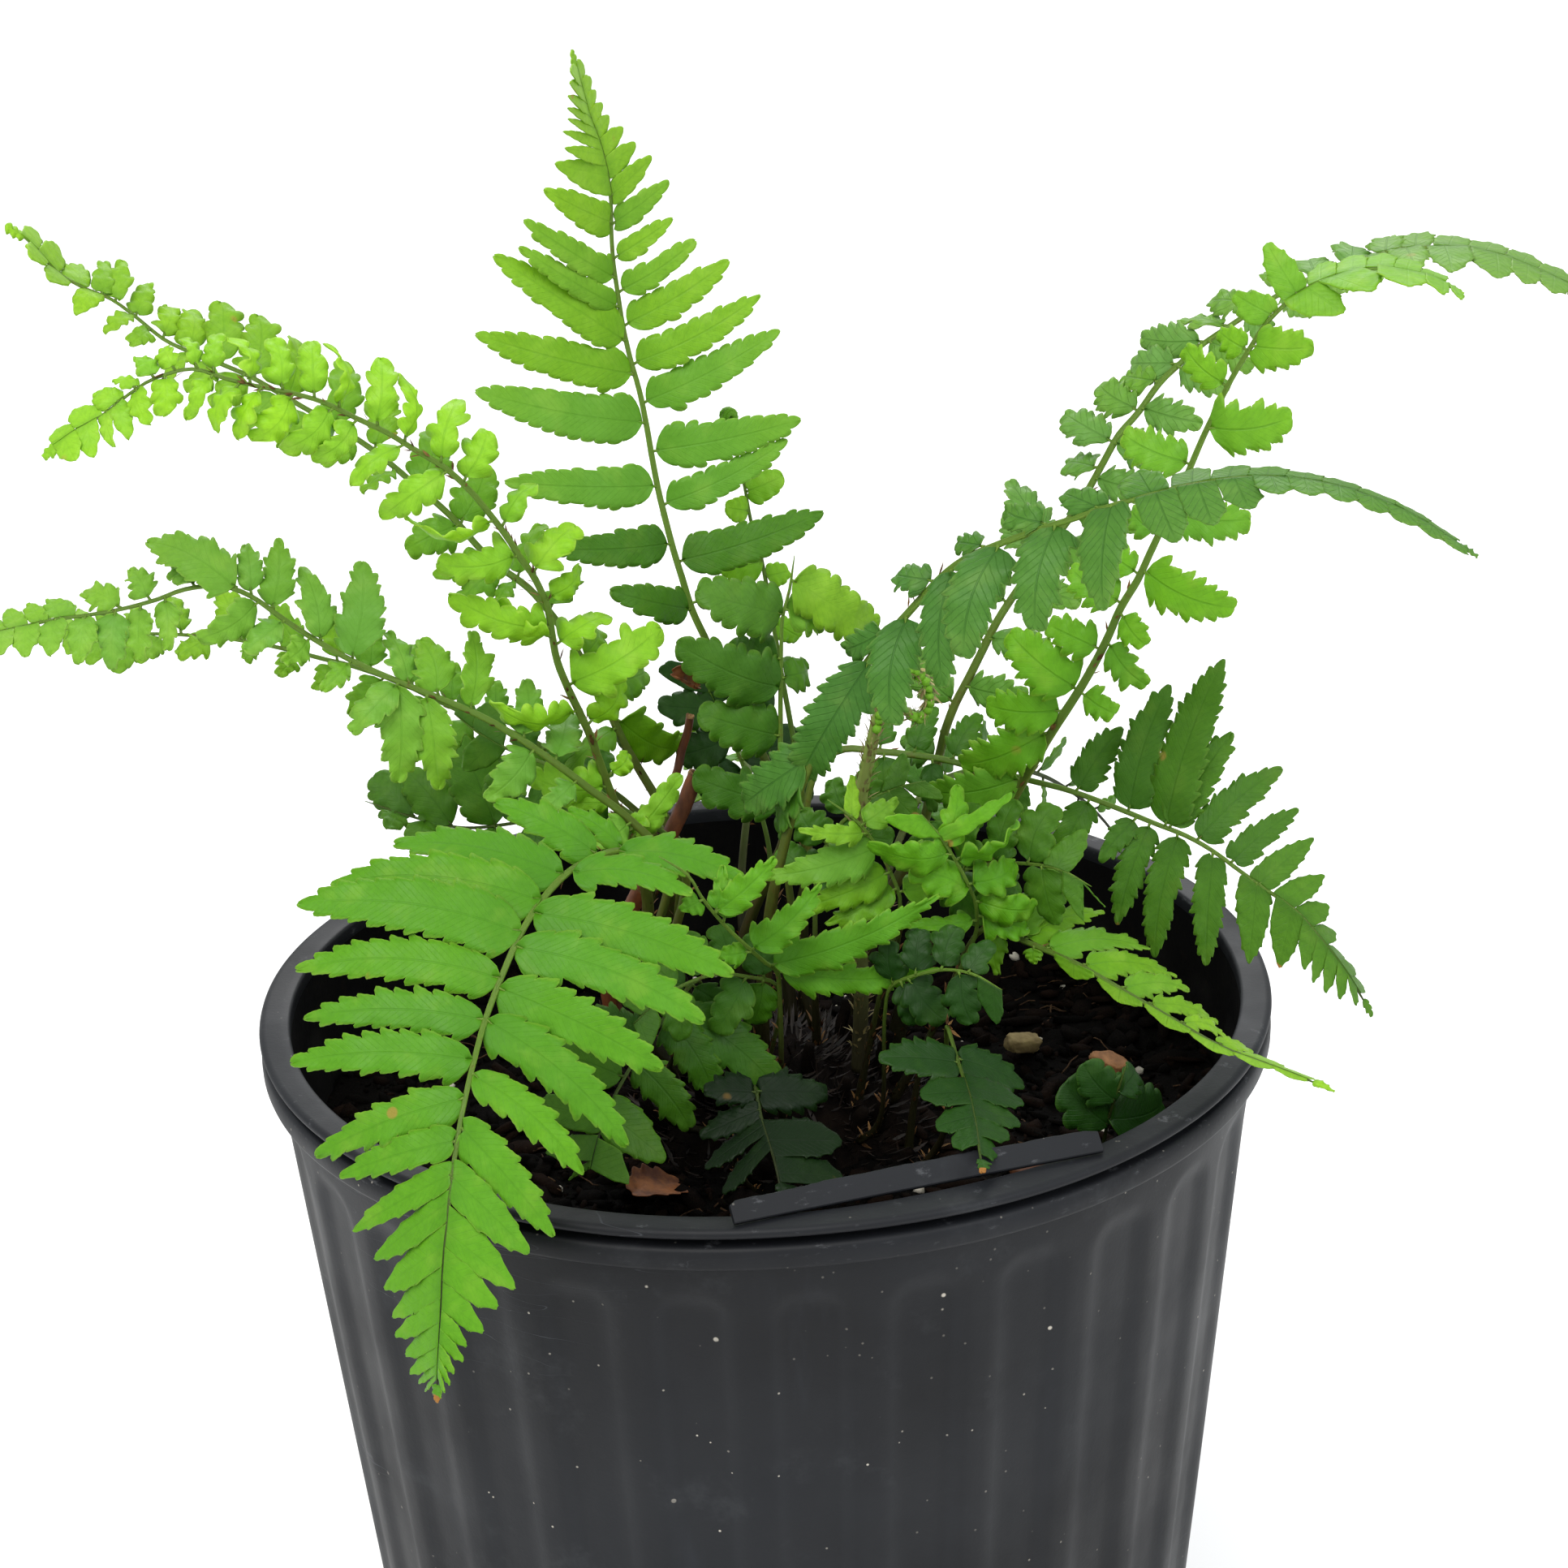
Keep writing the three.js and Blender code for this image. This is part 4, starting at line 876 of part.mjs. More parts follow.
    spine: [
      [-8, 4, 153.8], [-11.3, 5.6, 156.9], [-14.1, 6.7, 161.5], [-14.7, 6.3, 167.1], [-14.5, 5.5, 171.8],
      [-14.1, 4.5, 176.5], [-13.5, 3.4, 182], [-13.3, 2.3, 187.5], [-14.8, 1.6, 191.9], [-18.9, 2.3, 194.3],
      [-23.4, 4, 197.2], [-27.6, 7.1, 199.2], [-31.4, 9.9, 200.3], [-35.4, 12.2, 201.3], [-40.6, 13, 203.4],
      [-45.2, 13, 206.5], [-48.8, 13, 209.8],
    ],
    leaflets: [
      [47.3, -25.6, 2.8, 189.6, 5.5, 0.1, -1, 9], [53, -32.2, 1.4, 191.9, 5.5, 0.1, -1, -5], [56.2, -24.7, 10.1, 203.6, 4.2, 0.1, 1, 9],
      [61.8, -38.9, 6.4, 193.6, 5.7, 0.1, -1, -11], [63.4, -31.9, 14.3, 205.8, 4.2, 0.1, 1, 11], [69.8, -44.2, 9.7, 196, 5.2, 0.1, -1, 3],
      [69.8, -37.4, 16.7, 208.6, 4.6, 0.1, 1, -1], [75.4, -47.6, 10, 201, 4.3, 0.1, -1, 10], [77, -43, 17, 210.1, 4.1, 0.1, 1, -14],
      [81.8, -46.9, 17, 212.4, 3.8, 0.1, 1, -18],
    ],
  },
  {
    name: "frond_inner_back", r0: 0.9, colour: 0x1d4018,
    spine: [
      [3, 16, 150.5], [2.6, 18.2, 155.6], [2.3, 20.3, 160.8], [2, 22, 165.2], [1.8, 23.7, 170.6],
      [1.5, 25.2, 175.9], [1, 26.8, 180.4], [-0.3, 29.3, 185.2], [-2.1, 31.3, 190.1], [-4, 32.9, 195.1],
      [-6.1, 34.6, 200], [-8.2, 36.1, 204], [-10.8, 37, 208.9],
    ],
    leaflets: [
      [38.3, 8.8, 32.6, 187.4, 6.5, 0.1, 1, -5], [43.8, -10, 28.5, 188.3, 6.4, 0.1, -1, 8], [45.4, 7.1, 34.9, 195.4, 6.9, 0.1, 1, -8],
      [49.4, -13.4, 30.1, 194.4, 6.4, 0.1, -1, 7], [51.8, 2.6, 36.8, 202.9, 6.3, 0.1, 1, -7], [55, -16.2, 31.9, 202.9, 6.7, 0.1, -1, 2],
      [58.2, -1.6, 38.9, 207.8, 5.8, 0.1, 1, -8], [60.6, -16, 33.4, 208.1, 5.7, 0.1, -1, 1],
    ],
  },
  {
    name: "frond_inner_low", r0: 0.8, colour: 0x2f5f24,
    spine: [
      [8, -2, 155.6], [8, -3.2, 161], [8, -3.8, 166.6], [8.2, -3.5, 172.2], [8.4, -2.8, 177.7],
      [8.7, -2.1, 183.3], [9.8, -2, 188.7], [12.4, -2, 193.6], [16.5, -2, 197.4], [21.4, -2, 200],
      [26.7, -3, 201.7],
    ],
    leaflets: [
      [28.8, 17.8, -5.1, 187, 6.2, 0.1, 1, -17], [30.4, 3, 1.1, 189.2, 5.3, 0.1, -1, 25], [36, 6.5, 1, 195.5, 5, 0.1, -1, 23],
      [39.2, 21.2, -5, 192.5, 6, 0.1, 1, -18], [41.6, 11.9, 1, 200.9, 4, 0.1, -1, 16], [46.4, 17.8, 1, 204.2, 4.1, 0.1, -1, 11],
      [49.6, 25.2, -5, 195.9, 4.1, 0.1, 1, -12], [50.4, 23.3, 1, 205, 3.9, 0.1, -1, 12], [54.4, 29.1, -5.7, 199.5, 3.6, 0.1, 1, -7],
    ],
  },
  {
    name: "frond_inner_right", r0: 0.9, colour: 0x2f5f24,
    spine: [
      [16, 2, 151.8], [17.7, 1.3, 157.1], [19.1, 0.6, 161.7], [20.3, -0.7, 167], [21.2, -2.1, 171.5],
      [22.2, -3.9, 176.7], [23.4, -5.6, 181.1], [26.2, -7.5, 185.5], [29.9, -9.4, 187.9], [34.1, -12, 190.4],
      [38, -14.5, 191.9], [42.6, -17.5, 192.9], [46.8, -19.8, 192.8], [51.5, -22, 190.7],
    ],
    leaflets: [
      [39.3, 27.7, -5.4, 195.7, 6.2, 0.1, -1, 25], [41.7, 35.6, -11.4, 180.6, 6.3, 0.1, 1, -32], [44.9, 34.1, -7.8, 199.5, 6.8, 0.1, -1, 25],
      [49.7, 41.6, -11.3, 179.4, 7.1, 0.1, 1, -35], [51.3, 40.4, -11.1, 201.3, 5.6, 0.1, -1, 23], [56.9, 46.3, -14.1, 201.4, 5.4, 0.1, -1, 18],
      [59.3, 46.2, -19.2, 183, 5.4, 0.1, 1, -26], [61.7, 51.1, -16.4, 198, 4.6, 0.1, -1, 12], [66.5, 50.1, -23.4, 185.5, 4.1, 0.1, 1, -12],
      [66.5, 53.5, -23.4, 187.7, 3.8, 0.1, 1, -22],
    ],
  },
  {
    name: "frond_low_middle", r0: 0.7, colour: 0x2f5f24,
    spine: [
      [0, -14, 151.8], [-1.8, -18.9, 152.2], [-1.1, -21.3, 157.1], [0.1, -23, 162.3], [1.2, -24.5, 167.5],
      [2.2, -26, 172.8], [1.8, -28.1, 178.7], [-2.5, -30.3, 181.2], [-7, -33, 183.1], [-11.7, -35.8, 183.1],
      [-16.2, -38.8, 181.7], [-20.1, -42, 179.4],
    ],
    leaflets: [
      [36.5, -2.4, -28.8, 172.3, 4.6, 0.1, -1, 31], [36.5, -1.2, -27, 187.3, 4.7, 0.1, 1, -30], [39.7, -8, -33.4, 173.4, 5.6, 0.1, -1, 34],
      [42.9, -6.7, -29.8, 189.9, 4.8, 0.1, 1, -25], [46.9, -12.6, -31.8, 189.4, 4.7, 0.1, 1, -20], [52.4, -18.1, -34.7, 186.8, 4.3, 0.1, 1, -14],
      [53.2, -12.9, -39.1, 174.9, 4.8, 0.1, -1, 21], [57.2, -21.9, -37.2, 183.6, 4, 0.1, 1, -13], [60.4, -17.8, -43.1, 175.7, 3.7, 0.1, -1, 17],
    ],
  },
  {
    name: "frond_low_right", r0: 0.7, colour: 0x1d4018,
    spine: [
      [14, -18, 145.6], [16.5, -21.5, 149.1], [17.7, -23.7, 153.1], [18.2, -25.5, 158.4], [18.3, -26.9, 163.8],
      [18.4, -28.2, 169.2], [18.6, -29.4, 173.8], [19.6, -31.1, 179], [23.4, -33.7, 182], [27.8, -36.3, 184],
      [31.9, -38.9, 184.3], [36.2, -42, 182.9],
    ],
    leaflets: [
      [38.2, 19.5, -30.6, 186.5, 4.3, 0.1, -1, 35], [39.8, 23.4, -34.2, 173.9, 4.6, 0.1, 1, -36], [41.4, 27.8, -34.9, 174.6, 5.1, 0.1, 1, -39],
      [43, 24.5, -30.7, 188.4, 4.5, 0.1, -1, 31], [47.8, 30, -32.9, 189.6, 4.5, 0.1, -1, 27], [50.9, 31.7, -39.6, 176.2, 5, 0.1, 1, -30],
      [52.5, 35.1, -35.4, 188.1, 4.1, 0.1, -1, 22], [57.3, 35.2, -43.1, 177.7, 4.1, 0.1, 1, -25],
    ],
  },
];
FRONDS.forEach((frond) => {
  let geometry = frondGeometry(frond);
  if (frond.name === "frond_young_crozier") {
    // the young frond still ends in a tight curled head
    const head = new THREE.IcosahedronGeometry(1.75, 1);
    const tip = frond.spine[frond.spine.length - 1];
    head.scale(1, 1, 1.4);
    head.translate(tip[0] - 0.15, tip[1], tip[2] + 1.6);
    geometry = geometryFrom(solidOf(geometry).add(solidOf(head)));
  }
  addNode(frond.name, geometry, frond.colour, 0.55);
});

// ---------------------------------------------------------------- a straight strip of the pot's plastic, lying across the rim at the front right
// It rests on the flat top of the rim at both ends and leans in over the mouth.
{
  const from = [-5.6, -80.2], to = [49.4, -61.9];
  const run = Math.hypot(to[0] - from[0], to[1] - from[1]);
  const along = [(to[0] - from[0]) / run, (to[1] - from[1]) / run];
  const inward = [-along[1], along[0]];
  const stations = [[0, 2.9], [0.015, 3.4], [0.3, 3.8], [0.6, 3.9], [0.97, 3.7], [1, 3.2]];
  const lean = 0.72, rise = 0.69, thick = 1.0;
  const p = [], t = [];
  stations.forEach(([f, w]) => {
    [[0, 0], [w, 0], [w, thick], [0, thick]].forEach(([a, b]) => {
      const h = a * lean - b * rise;
      const z = a * rise + b * lean;
      p.push(
        from[0] + along[0] * run * f + inward[0] * (h - 0.6),
        from[1] + along[1] * run * f + inward[1] * (h - 0.6),
        POT_HEIGHT + CONTACT_GAP + z,
      );
    });
  });
  const n = stations.length;
  for (let i = 0; i + 1 < n; i++)
    for (let k = 0; k < 4; k++) {
      const a = 4 * i + k, b = 4 * i + ((k + 1) % 4);
      t.push(a, b + 4, a + 4, a, b, b + 4);
    }
  const e = 4 * (n - 1);
  t.push(0, 2, 1, 0, 3, 2, e, e + 1, e + 2, e, e + 2, e + 3);
  addNode("rim_strip", geometryOf(p, t), 0x3b4047, 0.5);
}

// ---------------------------------------------------------------- hairy crozier, old cut stubs, dry bits and chips on the mix
addNode(
  "crozier_hairy",
  tubeSolid(
    [
      [14.6, -8.6, 153.6], [15.4, -9, 168], [15.4, -9.0, 182.5], [15.6, -9.0, 190.9],
      [16.3, -9.0, 201.7], [18.3, -8.0, 210.6], [19.9, -8.0, 216.7], [21.5, -7.6, 221.0],
      [24.4, -7.0, 222.6], [26.9, -6.0, 220.0], [27.4, -5.4, 216.3], [25.8, -5.2, 213.4], [23.9, -5.4, 214.8],
    ],
    [1.5, 1.4, 1.35, 1.3, 1.3, 1.25, 1.2, 1.15, 1.1, 1.1, 1.1, 1.1, 0.9],
  ),
  0x8a9450,
  0.8,
);
addNode(
  "cut_stub_thick",
  tubeSolid(
    [[-21.5, 7.4, 147.2], [-25, 8.5, 156], [-25.6, 8.2, 166], [-20.6, 7.6, 178.6], [-14.9, 8.0, 188.7], [-12.1, 9.0, 194.3], [-10.1, 10.0, 198.8]],
    [1.5, 1.5, 1.45, 1.4, 1.4, 1.4, 1.35],
  ),
  0x5a3018,
  0.7,
);
addNode(
  "cut_stub_thin",
  tubeSolid(
    [[-16.5, 11.2, 149.6], [-19.4, 20, 165], [-18.7, 23.4, 181.0], [-13.9, 24.0, 192.8], [-12.1, 25.0, 198.6], [-11.0, 25.0, 203.0]],
    [0.9, 0.85, 0.8, 0.75, 0.7, 0.7],
    6,
  ),
  0x4a2814,
  0.7,
);

// A small irregular lump: a stretched, dented icosahedron.
function chip(x, y, z, lx, ly, lz, turn, tilt, seed) {
  const g = new THREE.IcosahedronGeometry(1, 1);
  g.deleteAttribute("normal");
  g.deleteAttribute("uv");
  const m = mergeVertices(g, 1e-4);
  const q = m.attributes.position;
  for (let i = 0; i < q.count; i++) {
    const k = 1 + 0.16 * Math.sin(12.9898 * (i + 1) * seed + 4.1 * i);
    q.setXYZ(i, (q.getX(i) * k * lx) / 2, (q.getY(i) * k * ly) / 2, (q.getZ(i) * k * lz) / 2);
  }
  m.rotateY(tilt);
  m.rotateZ(turn);
  m.computeBoundingBox();
  m.translate(x, y, z - m.boundingBox.min.z);
  return m;
}
addNode("dry_leaf_curl", chip(-11.0, 10.6, 213.2, 5.6, 3.2, 4.4, 0.5, 0.3, 1.7), 0x7a4a1c, 0.7);
addNode("dry_leaf_piece", chip(-18, -30, 143.2, 9, 6, 2.2, 0.6, 0.1, 2.3), 0x6a3514, 0.8);
addNode("bark_chip_front", chip(-24, -47, 143.2, 10, 5.5, 3, -0.4, 0.05, 3.1), 0x5a2f18, 0.85);
addNode("bark_chip_right", chip(41, -27, 143.2, 7, 4.5, 2.6, 0.9, 0.08, 4.7), 0x4a2a1a, 0.85);
addNode("bark_chip_tan", chip(57, 10, 143.2, 8, 4.5, 2.6, 2.1, 0.06, 5.3), 0x8a5c34, 0.85);
addNode("pale_chip", chip(43, 18, 143.2, 6, 4.6, 3, 0.4, 0.1, 6.1), 0xb09a6a, 0.85);
addNode("pale_chip_small", chip(12, -47, 143.2, 4, 3.2, 2.4, 1.2, 0.1, 7.9), 0x9c8458, 0.85);

export default group;
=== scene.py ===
"""Potted fern: its visible surface and finish. Lengths in this script are in millimetres until a mesh is made."""

import math

import bpy
import numpy as np
from mathutils import Matrix, Vector, noise


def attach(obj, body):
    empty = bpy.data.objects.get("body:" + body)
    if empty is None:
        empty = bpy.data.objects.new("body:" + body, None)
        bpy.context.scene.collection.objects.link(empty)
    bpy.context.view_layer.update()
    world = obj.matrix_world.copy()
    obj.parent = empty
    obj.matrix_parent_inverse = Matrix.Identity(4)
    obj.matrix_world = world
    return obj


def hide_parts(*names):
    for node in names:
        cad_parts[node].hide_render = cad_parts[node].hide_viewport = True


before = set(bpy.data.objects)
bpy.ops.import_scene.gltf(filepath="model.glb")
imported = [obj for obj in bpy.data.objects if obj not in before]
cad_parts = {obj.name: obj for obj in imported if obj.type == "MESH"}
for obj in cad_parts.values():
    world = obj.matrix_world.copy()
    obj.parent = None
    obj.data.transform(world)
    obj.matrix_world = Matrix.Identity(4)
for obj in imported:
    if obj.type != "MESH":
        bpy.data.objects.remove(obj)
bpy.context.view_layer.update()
scene = bpy.context.scene
MM = 0.001


# ---------------------------------------------------------------- camera, at the photograph's viewing angle
def make_camera():
    data = bpy.data.cameras.new("camera")
    data.sensor_width = 36.0
    data.lens = 93.17
    data.clip_start, data.clip_end = 0.01, 50
    cam = bpy.data.objects.new("camera", data)
    scene.collection.objects.link(cam)
    place = Vector((4.19, -600.4, 447.4)) * MM
    aim = Vector((4.19, 0.0, 200.8)) * MM
    turn = (aim - place).to_track_quat("-Z", "Y").to_matrix()
    turn = turn @ Matrix.Rotation(math.radians(-2.08), 3, "Z")
    cam.matrix_world = Matrix.Translation(place) @ turn.to_4x4()
    scene.camera = cam


make_camera()


# ---------------------------------------------------------------- small maths
def unit(v):
    v = np.asarray(v, float)
    return v / max(1e-9, np.linalg.norm(v))


def smooth(a, b, x):
    t = np.clip((np.asarray(x, float) - a) / (b - a), 0, 1)
    return t * t * (3 - 2 * t)


def spline(points, step):
    """Points along a smooth curve through the given ones, about step apart."""
    p = np.asarray(points, float)
    p = np.vstack([2 * p[0] - p[1], p, 2 * p[-1] - p[-2]])
    out = []
    for i in range(1, len(p) - 2):
        n = max(1, int(round(np.linalg.norm(p[i + 1] - p[i]) / step)))
        for k in range(n):
            t = k / n
            a, b, c, d = p[i - 1], p[i], p[i + 1], p[i + 2]
            out.append(
                0.5
                * (
                    2 * b
                    + (c - a) * t
                    + (2 * a - 5 * b + 4 * c - d) * t * t
                    + (3 * b - a - 3 * c + d) * t**3
                )
            )
    out.append(p[-2])
    return np.array(out)


def fbm(x, y, z=0.0, scale=1.0, octaves=4):
    total, amp = 0.0, 1.0
    for _ in range(octaves):
        total += amp * noise.noise(Vector((x * scale, y * scale, z * scale)))
        scale *= 2.03
        amp *= 0.5
    return total


# ---------------------------------------------------------------- a mesh under construction
NUMBERS = ("u", "x", "y", "edge", "rnd", "pos", "dry", "tone")


class Piece:
    """Vertices, faces and per-vertex numbers of one piece. Each face has a material slot."""

    def __init__(self, name):
        self.name = name
        self.v, self.f, self.m = [], [], []
        self.n = {k: [] for k in NUMBERS}
        self.count = 0

    def add(self, verts, faces, slot=0, **numbers):
        verts = np.asarray(verts, float).reshape(-1, 3)
        k = len(verts)
        self.v.append(verts)
        off = self.count
        self.f.extend([tuple(i + off for i in f) for f in faces])
        self.m.extend([slot] * len(faces))
        for name in NUMBERS:
            value = numbers.get(name, 0.0)
            self.n[name].append(np.broadcast_to(np.asarray(value, float), (k,)))
        self.count += k

    def make(self, materials, flat=False):
        mesh = bpy.data.meshes.new(self.name)
        verts = np.vstack(self.v) * MM
        mesh.from_pydata(verts.tolist(), [], self.f)
        mesh.polygons.foreach_set("material_index", self.m)
        for m in materials:
            mesh.materials.append(m)
        for name in NUMBERS:
            data = np.concatenate(self.n[name]).astype(np.float32)
            if np.any(data):
                at = mesh.attributes.new(name, "FLOAT", "POINT")
                at.data.foreach_set("value", data)
        mesh.polygons.foreach_set("use_smooth", [not flat] * len(mesh.polygons))
        mesh.update()
        mesh.validate()
        obj = bpy.data.objects.new(self.name, mesh)
        scene.collection.objects.link(obj)
        return obj


def place(obj, slot, *nodes):
    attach(obj, "root")
    if nodes:
        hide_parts(*nodes)
    return obj


def grid_faces(rows, cols, wrap=False):
    out = []
    for i in range(rows - 1):
        for j in range(cols if wrap else cols - 1):
            k = (j + 1) % cols
            out.append((i * cols + j, i * cols + k, (i + 1) * cols + k, (i + 1) * cols + j))
    return out


# ---------------------------------------------------------------- materials
def colour(r, g, b):
    """Linear colour of an sRGB one given as 0 to 255."""
    return tuple(
        (c / 255 / 12.92) if c / 255 <= 0.04045 else ((c / 255 + 0.055) / 1.055) ** 2.4
        for c in (r, g, b)
    ) + (1.0,)


class Nodes:
    """Short names for the shader nodes used here."""

    def __init__(self, name):
        self.mat = bpy.data.materials.new(name)
        self.mat.use_nodes = True
        self.t = self.mat.node_tree
        self.t.nodes.clear()
        self.out = self.t.nodes.new("ShaderNodeOutputMaterial")

    def node(self, kind, **values):
        n = self.t.nodes.new(kind)
        for k, v in values.items():
            setattr(n, k, v)
        return n

    def put(self, socket, value):
        if isinstance(value, bpy.types.NodeSocket):
            self.t.links.new(value, socket)
        elif value is not None:
            socket.default_value = value

    def attr(self, name):
        n = self.node("ShaderNodeAttribute", attribute_name=name)
        return n.outputs["Fac"]

    def math(self, op, a, b=None, c=None, clamp=False):
        n = self.node("ShaderNodeMath", operation=op, use_clamp=clamp)
        for i, v in enumerate((a, b, c)):
            if v is not None:
                self.put(n.inputs[i], v)
        return n.outputs[0]

    def ramp(self, value, lo, hi, a=0.0, b=1.0, kind="SMOOTHSTEP"):
        n = self.node("ShaderNodeMapRange", interpolation_type=kind)
        for k, v in (("Value", value), ("From Min", lo), ("From Max", hi), ("To Min", a), ("To Max", b)):
            self.put(n.inputs[k], v)
        return n.outputs["Result"]

    def mix(self, fac, a, b, how="MIX"):
        n = self.node("ShaderNodeMix", data_type="RGBA", blend_type=how)
        self.put(n.inputs[0], fac)
        self.put(n.inputs[6], a)
        self.put(n.inputs[7], b)
        return n.outputs[2]

    def noise(self, scale, detail=3.0, rough=0.55, vector=None, distortion=0.0):
        n = self.node("ShaderNodeTexNoise")
        self.put(n.inputs["Vector"], vector if vector is not None else self.coords())
        n.inputs["Scale"].default_value = scale
        n.inputs["Detail"].default_value = detail
        n.inputs["Roughness"].default_value = rough
        n.inputs["Distortion"].default_value = distortion
        return n.outputs["Fac"]

    def voronoi(self, scale, out="Distance", vector=None, feature="F1"):
        n = self.node("ShaderNodeTexVoronoi", feature=feature)
        self.put(n.inputs["Vector"], vector if vector is not None else self.coords())
        n.inputs["Scale"].default_value = scale
        return n.outputs[out]

    def coords(self):
        if not hasattr(self, "_co"):
            self._co = self.node("ShaderNodeTexCoord").outputs["Object"]
        return self._co

    def stretch(self, sx, sy, sz):
        n = self.node("ShaderNodeMapping")
        self.put(n.inputs["Vector"], self.coords())
        n.inputs["Scale"].default_value = (sx, sy, sz)
        return n.outputs[0]

    def bump(self, height, strength, distance, normal=None):
        n = self.node("ShaderNodeBump")
        self.put(n.inputs["Height"], height)
        n.inputs["Strength"].default_value = strength
        n.inputs["Distance"].default_value = distance
        if normal is not None:
            self.put(n.inputs["Normal"], normal)
        return n.outputs[0]

    def principled(self, base, roughness, normal=None, specular=0.5, coat=0.0, coat_rough=0.3):
        n = self.node("ShaderNodeBsdfPrincipled")
        self.put(n.inputs["Base Color"], base)
        self.put(n.inputs["Roughness"], roughness)
        n.inputs["Specular IOR Level"].default_value = specular
        if coat:
            n.inputs["Coat Weight"].default_value = coat
            n.inputs["Coat Roughness"].default_value = coat_rough
        if normal is not None:
            self.put(n.inputs["Normal"], normal)
        return n

    def finish(self, shader):
        self.t.links.new(shader, self.out.inputs["Surface"])
        return self.mat


def leaf_material(name, low, high, vein, edge, through, painted_sheen_tint, painted_glow_tint, thin=0.3, rough=0.46, vein_pitch=1.1, spots=0.0, branch=0.06, midline=0.34):
    """Fern leaflet: herringbone veins, a dark midrib, a pale thin margin, mottling, dry brown patches and light through the blade."""
    n = Nodes(name)
    pos, rnd, x, y, u, rim, dry, tone = (n.attr(k) for k in ("pos", "rnd", "x", "y", "u", "edge", "dry", "tone"))
    across = n.math("ABSOLUTE", y)
    base = n.mix(n.ramp(pos, 0.1, 0.95), low, high)
    # painted light: leaflets turned up to the front lean to a painted bluish sheen, the others to painted yellow light
    # through the blade (the tone number, which also varies at random); and each is a little lighter or darker
    base = n.mix(n.ramp(tone, 0.5, 0.0, 0.0, 0.75, "LINEAR"), base, painted_sheen_tint)
    base = n.mix(n.ramp(tone, 0.5, 1.0, 0.0, 0.75, "LINEAR"), base, painted_glow_tint)
    base = n.mix(n.math("MULTIPLY", rnd, 0.26), base, vein)
    base = n.mix(n.ramp(u, 0.35, 1.0, 0.0, 0.22), base, high)
    mottle = n.noise(1100, 4, 0.6)
    base = n.mix(n.ramp(mottle, 0.35, 0.7, 0.0, 0.24), base, vein)
    patch = n.noise(190, 3, 0.5)
    base = n.mix(n.ramp(patch, 0.52, 0.72, 0.0, 0.14), base, edge)
    # painted shade: each leaflet darker towards its base, where it meets the rachis
    base = n.mix(n.ramp(u, 0.26, 0.0, 0.0, 0.34), base, vein)
    # veins run out and forward from the midrib, one to each tooth
    run = n.math("DIVIDE", n.math("SUBTRACT", x, n.math("MULTIPLY", across, 1.15)), vein_pitch)
    wobble = n.math("MULTIPLY", n.noise(700, 2, 0.5), 0.35)
    wave = n.math("PINGPONG", n.math("ADD", run, wobble), 0.5)
    veins = n.math("MULTIPLY", n.ramp(wave, 0.11, 0.0), n.ramp(across, 0.05, 0.5))
    rib = n.math("MULTIPLY", n.ramp(across, 0.21, 0.07), n.ramp(u, 1.0, 0.72))
    rib = n.math("MULTIPLY", rib, n.ramp(pos, 0.60, 0.86, 1.0, 0.30))
    base = n.mix(n.math("MULTIPLY", veins, branch), base, vein)
    base = n.mix(n.math("MULTIPLY", rib, midline), base, vein)
    base = n.mix(n.math("MULTIPLY", n.ramp(rim, 0.95, 1.0), 0.22), base, edge)
    brown = n.mix(n.noise(900, 3, 0.6), colour(122, 74, 26), colour(196, 138, 70))
    ragged = n.math("ADD", dry, n.math("MULTIPLY", n.math("SUBTRACT", n.noise(520, 3, 0.6), 0.5), 0.5))
    base = n.mix(n.ramp(ragged, 0.42, 0.62), base, brown)
    if spots:
        flecks = n.voronoi(150)
        few = n.math("MULTIPLY", n.ramp(flecks, 0.16, 0.10), n.ramp(n.noise(95, 2, 0.5), 0.60, 0.66))
        base = n.mix(n.math("MULTIPLY", few, spots), base, colour(168, 128, 62))
    relief = n.math("SUBTRACT", n.math("MULTIPLY", n.noise(760, 4, 0.62), 0.75), n.math("MULTIPLY", veins, 2.4 * branch))
    relief = n.math("SUBTRACT", relief, n.math("MULTIPLY", rib, 1.6 * midline))
    normal = n.bump(relief, 0.6, 0.00026)
    roughness = n.ramp(n.noise(420, 3, 0.5), 0.3, 0.75, rough - 0.06, rough + 0.1)
    front = n.principled(base, roughness, normal, specular=0.22)
    glow = n.node("ShaderNodeBsdfTranslucent")
    n.put(glow.inputs["Color"], n.mix(0.55, base, through))
    n.put(glow.inputs["Normal"], normal)
    both = n.node("ShaderNodeMixShader")
    both.inputs[0].default_value = thin
    n.put(both.inputs[1], front.outputs[0])
    n.put(both.inputs[2], glow.outputs[0])
    return n.finish(both.outputs[0])


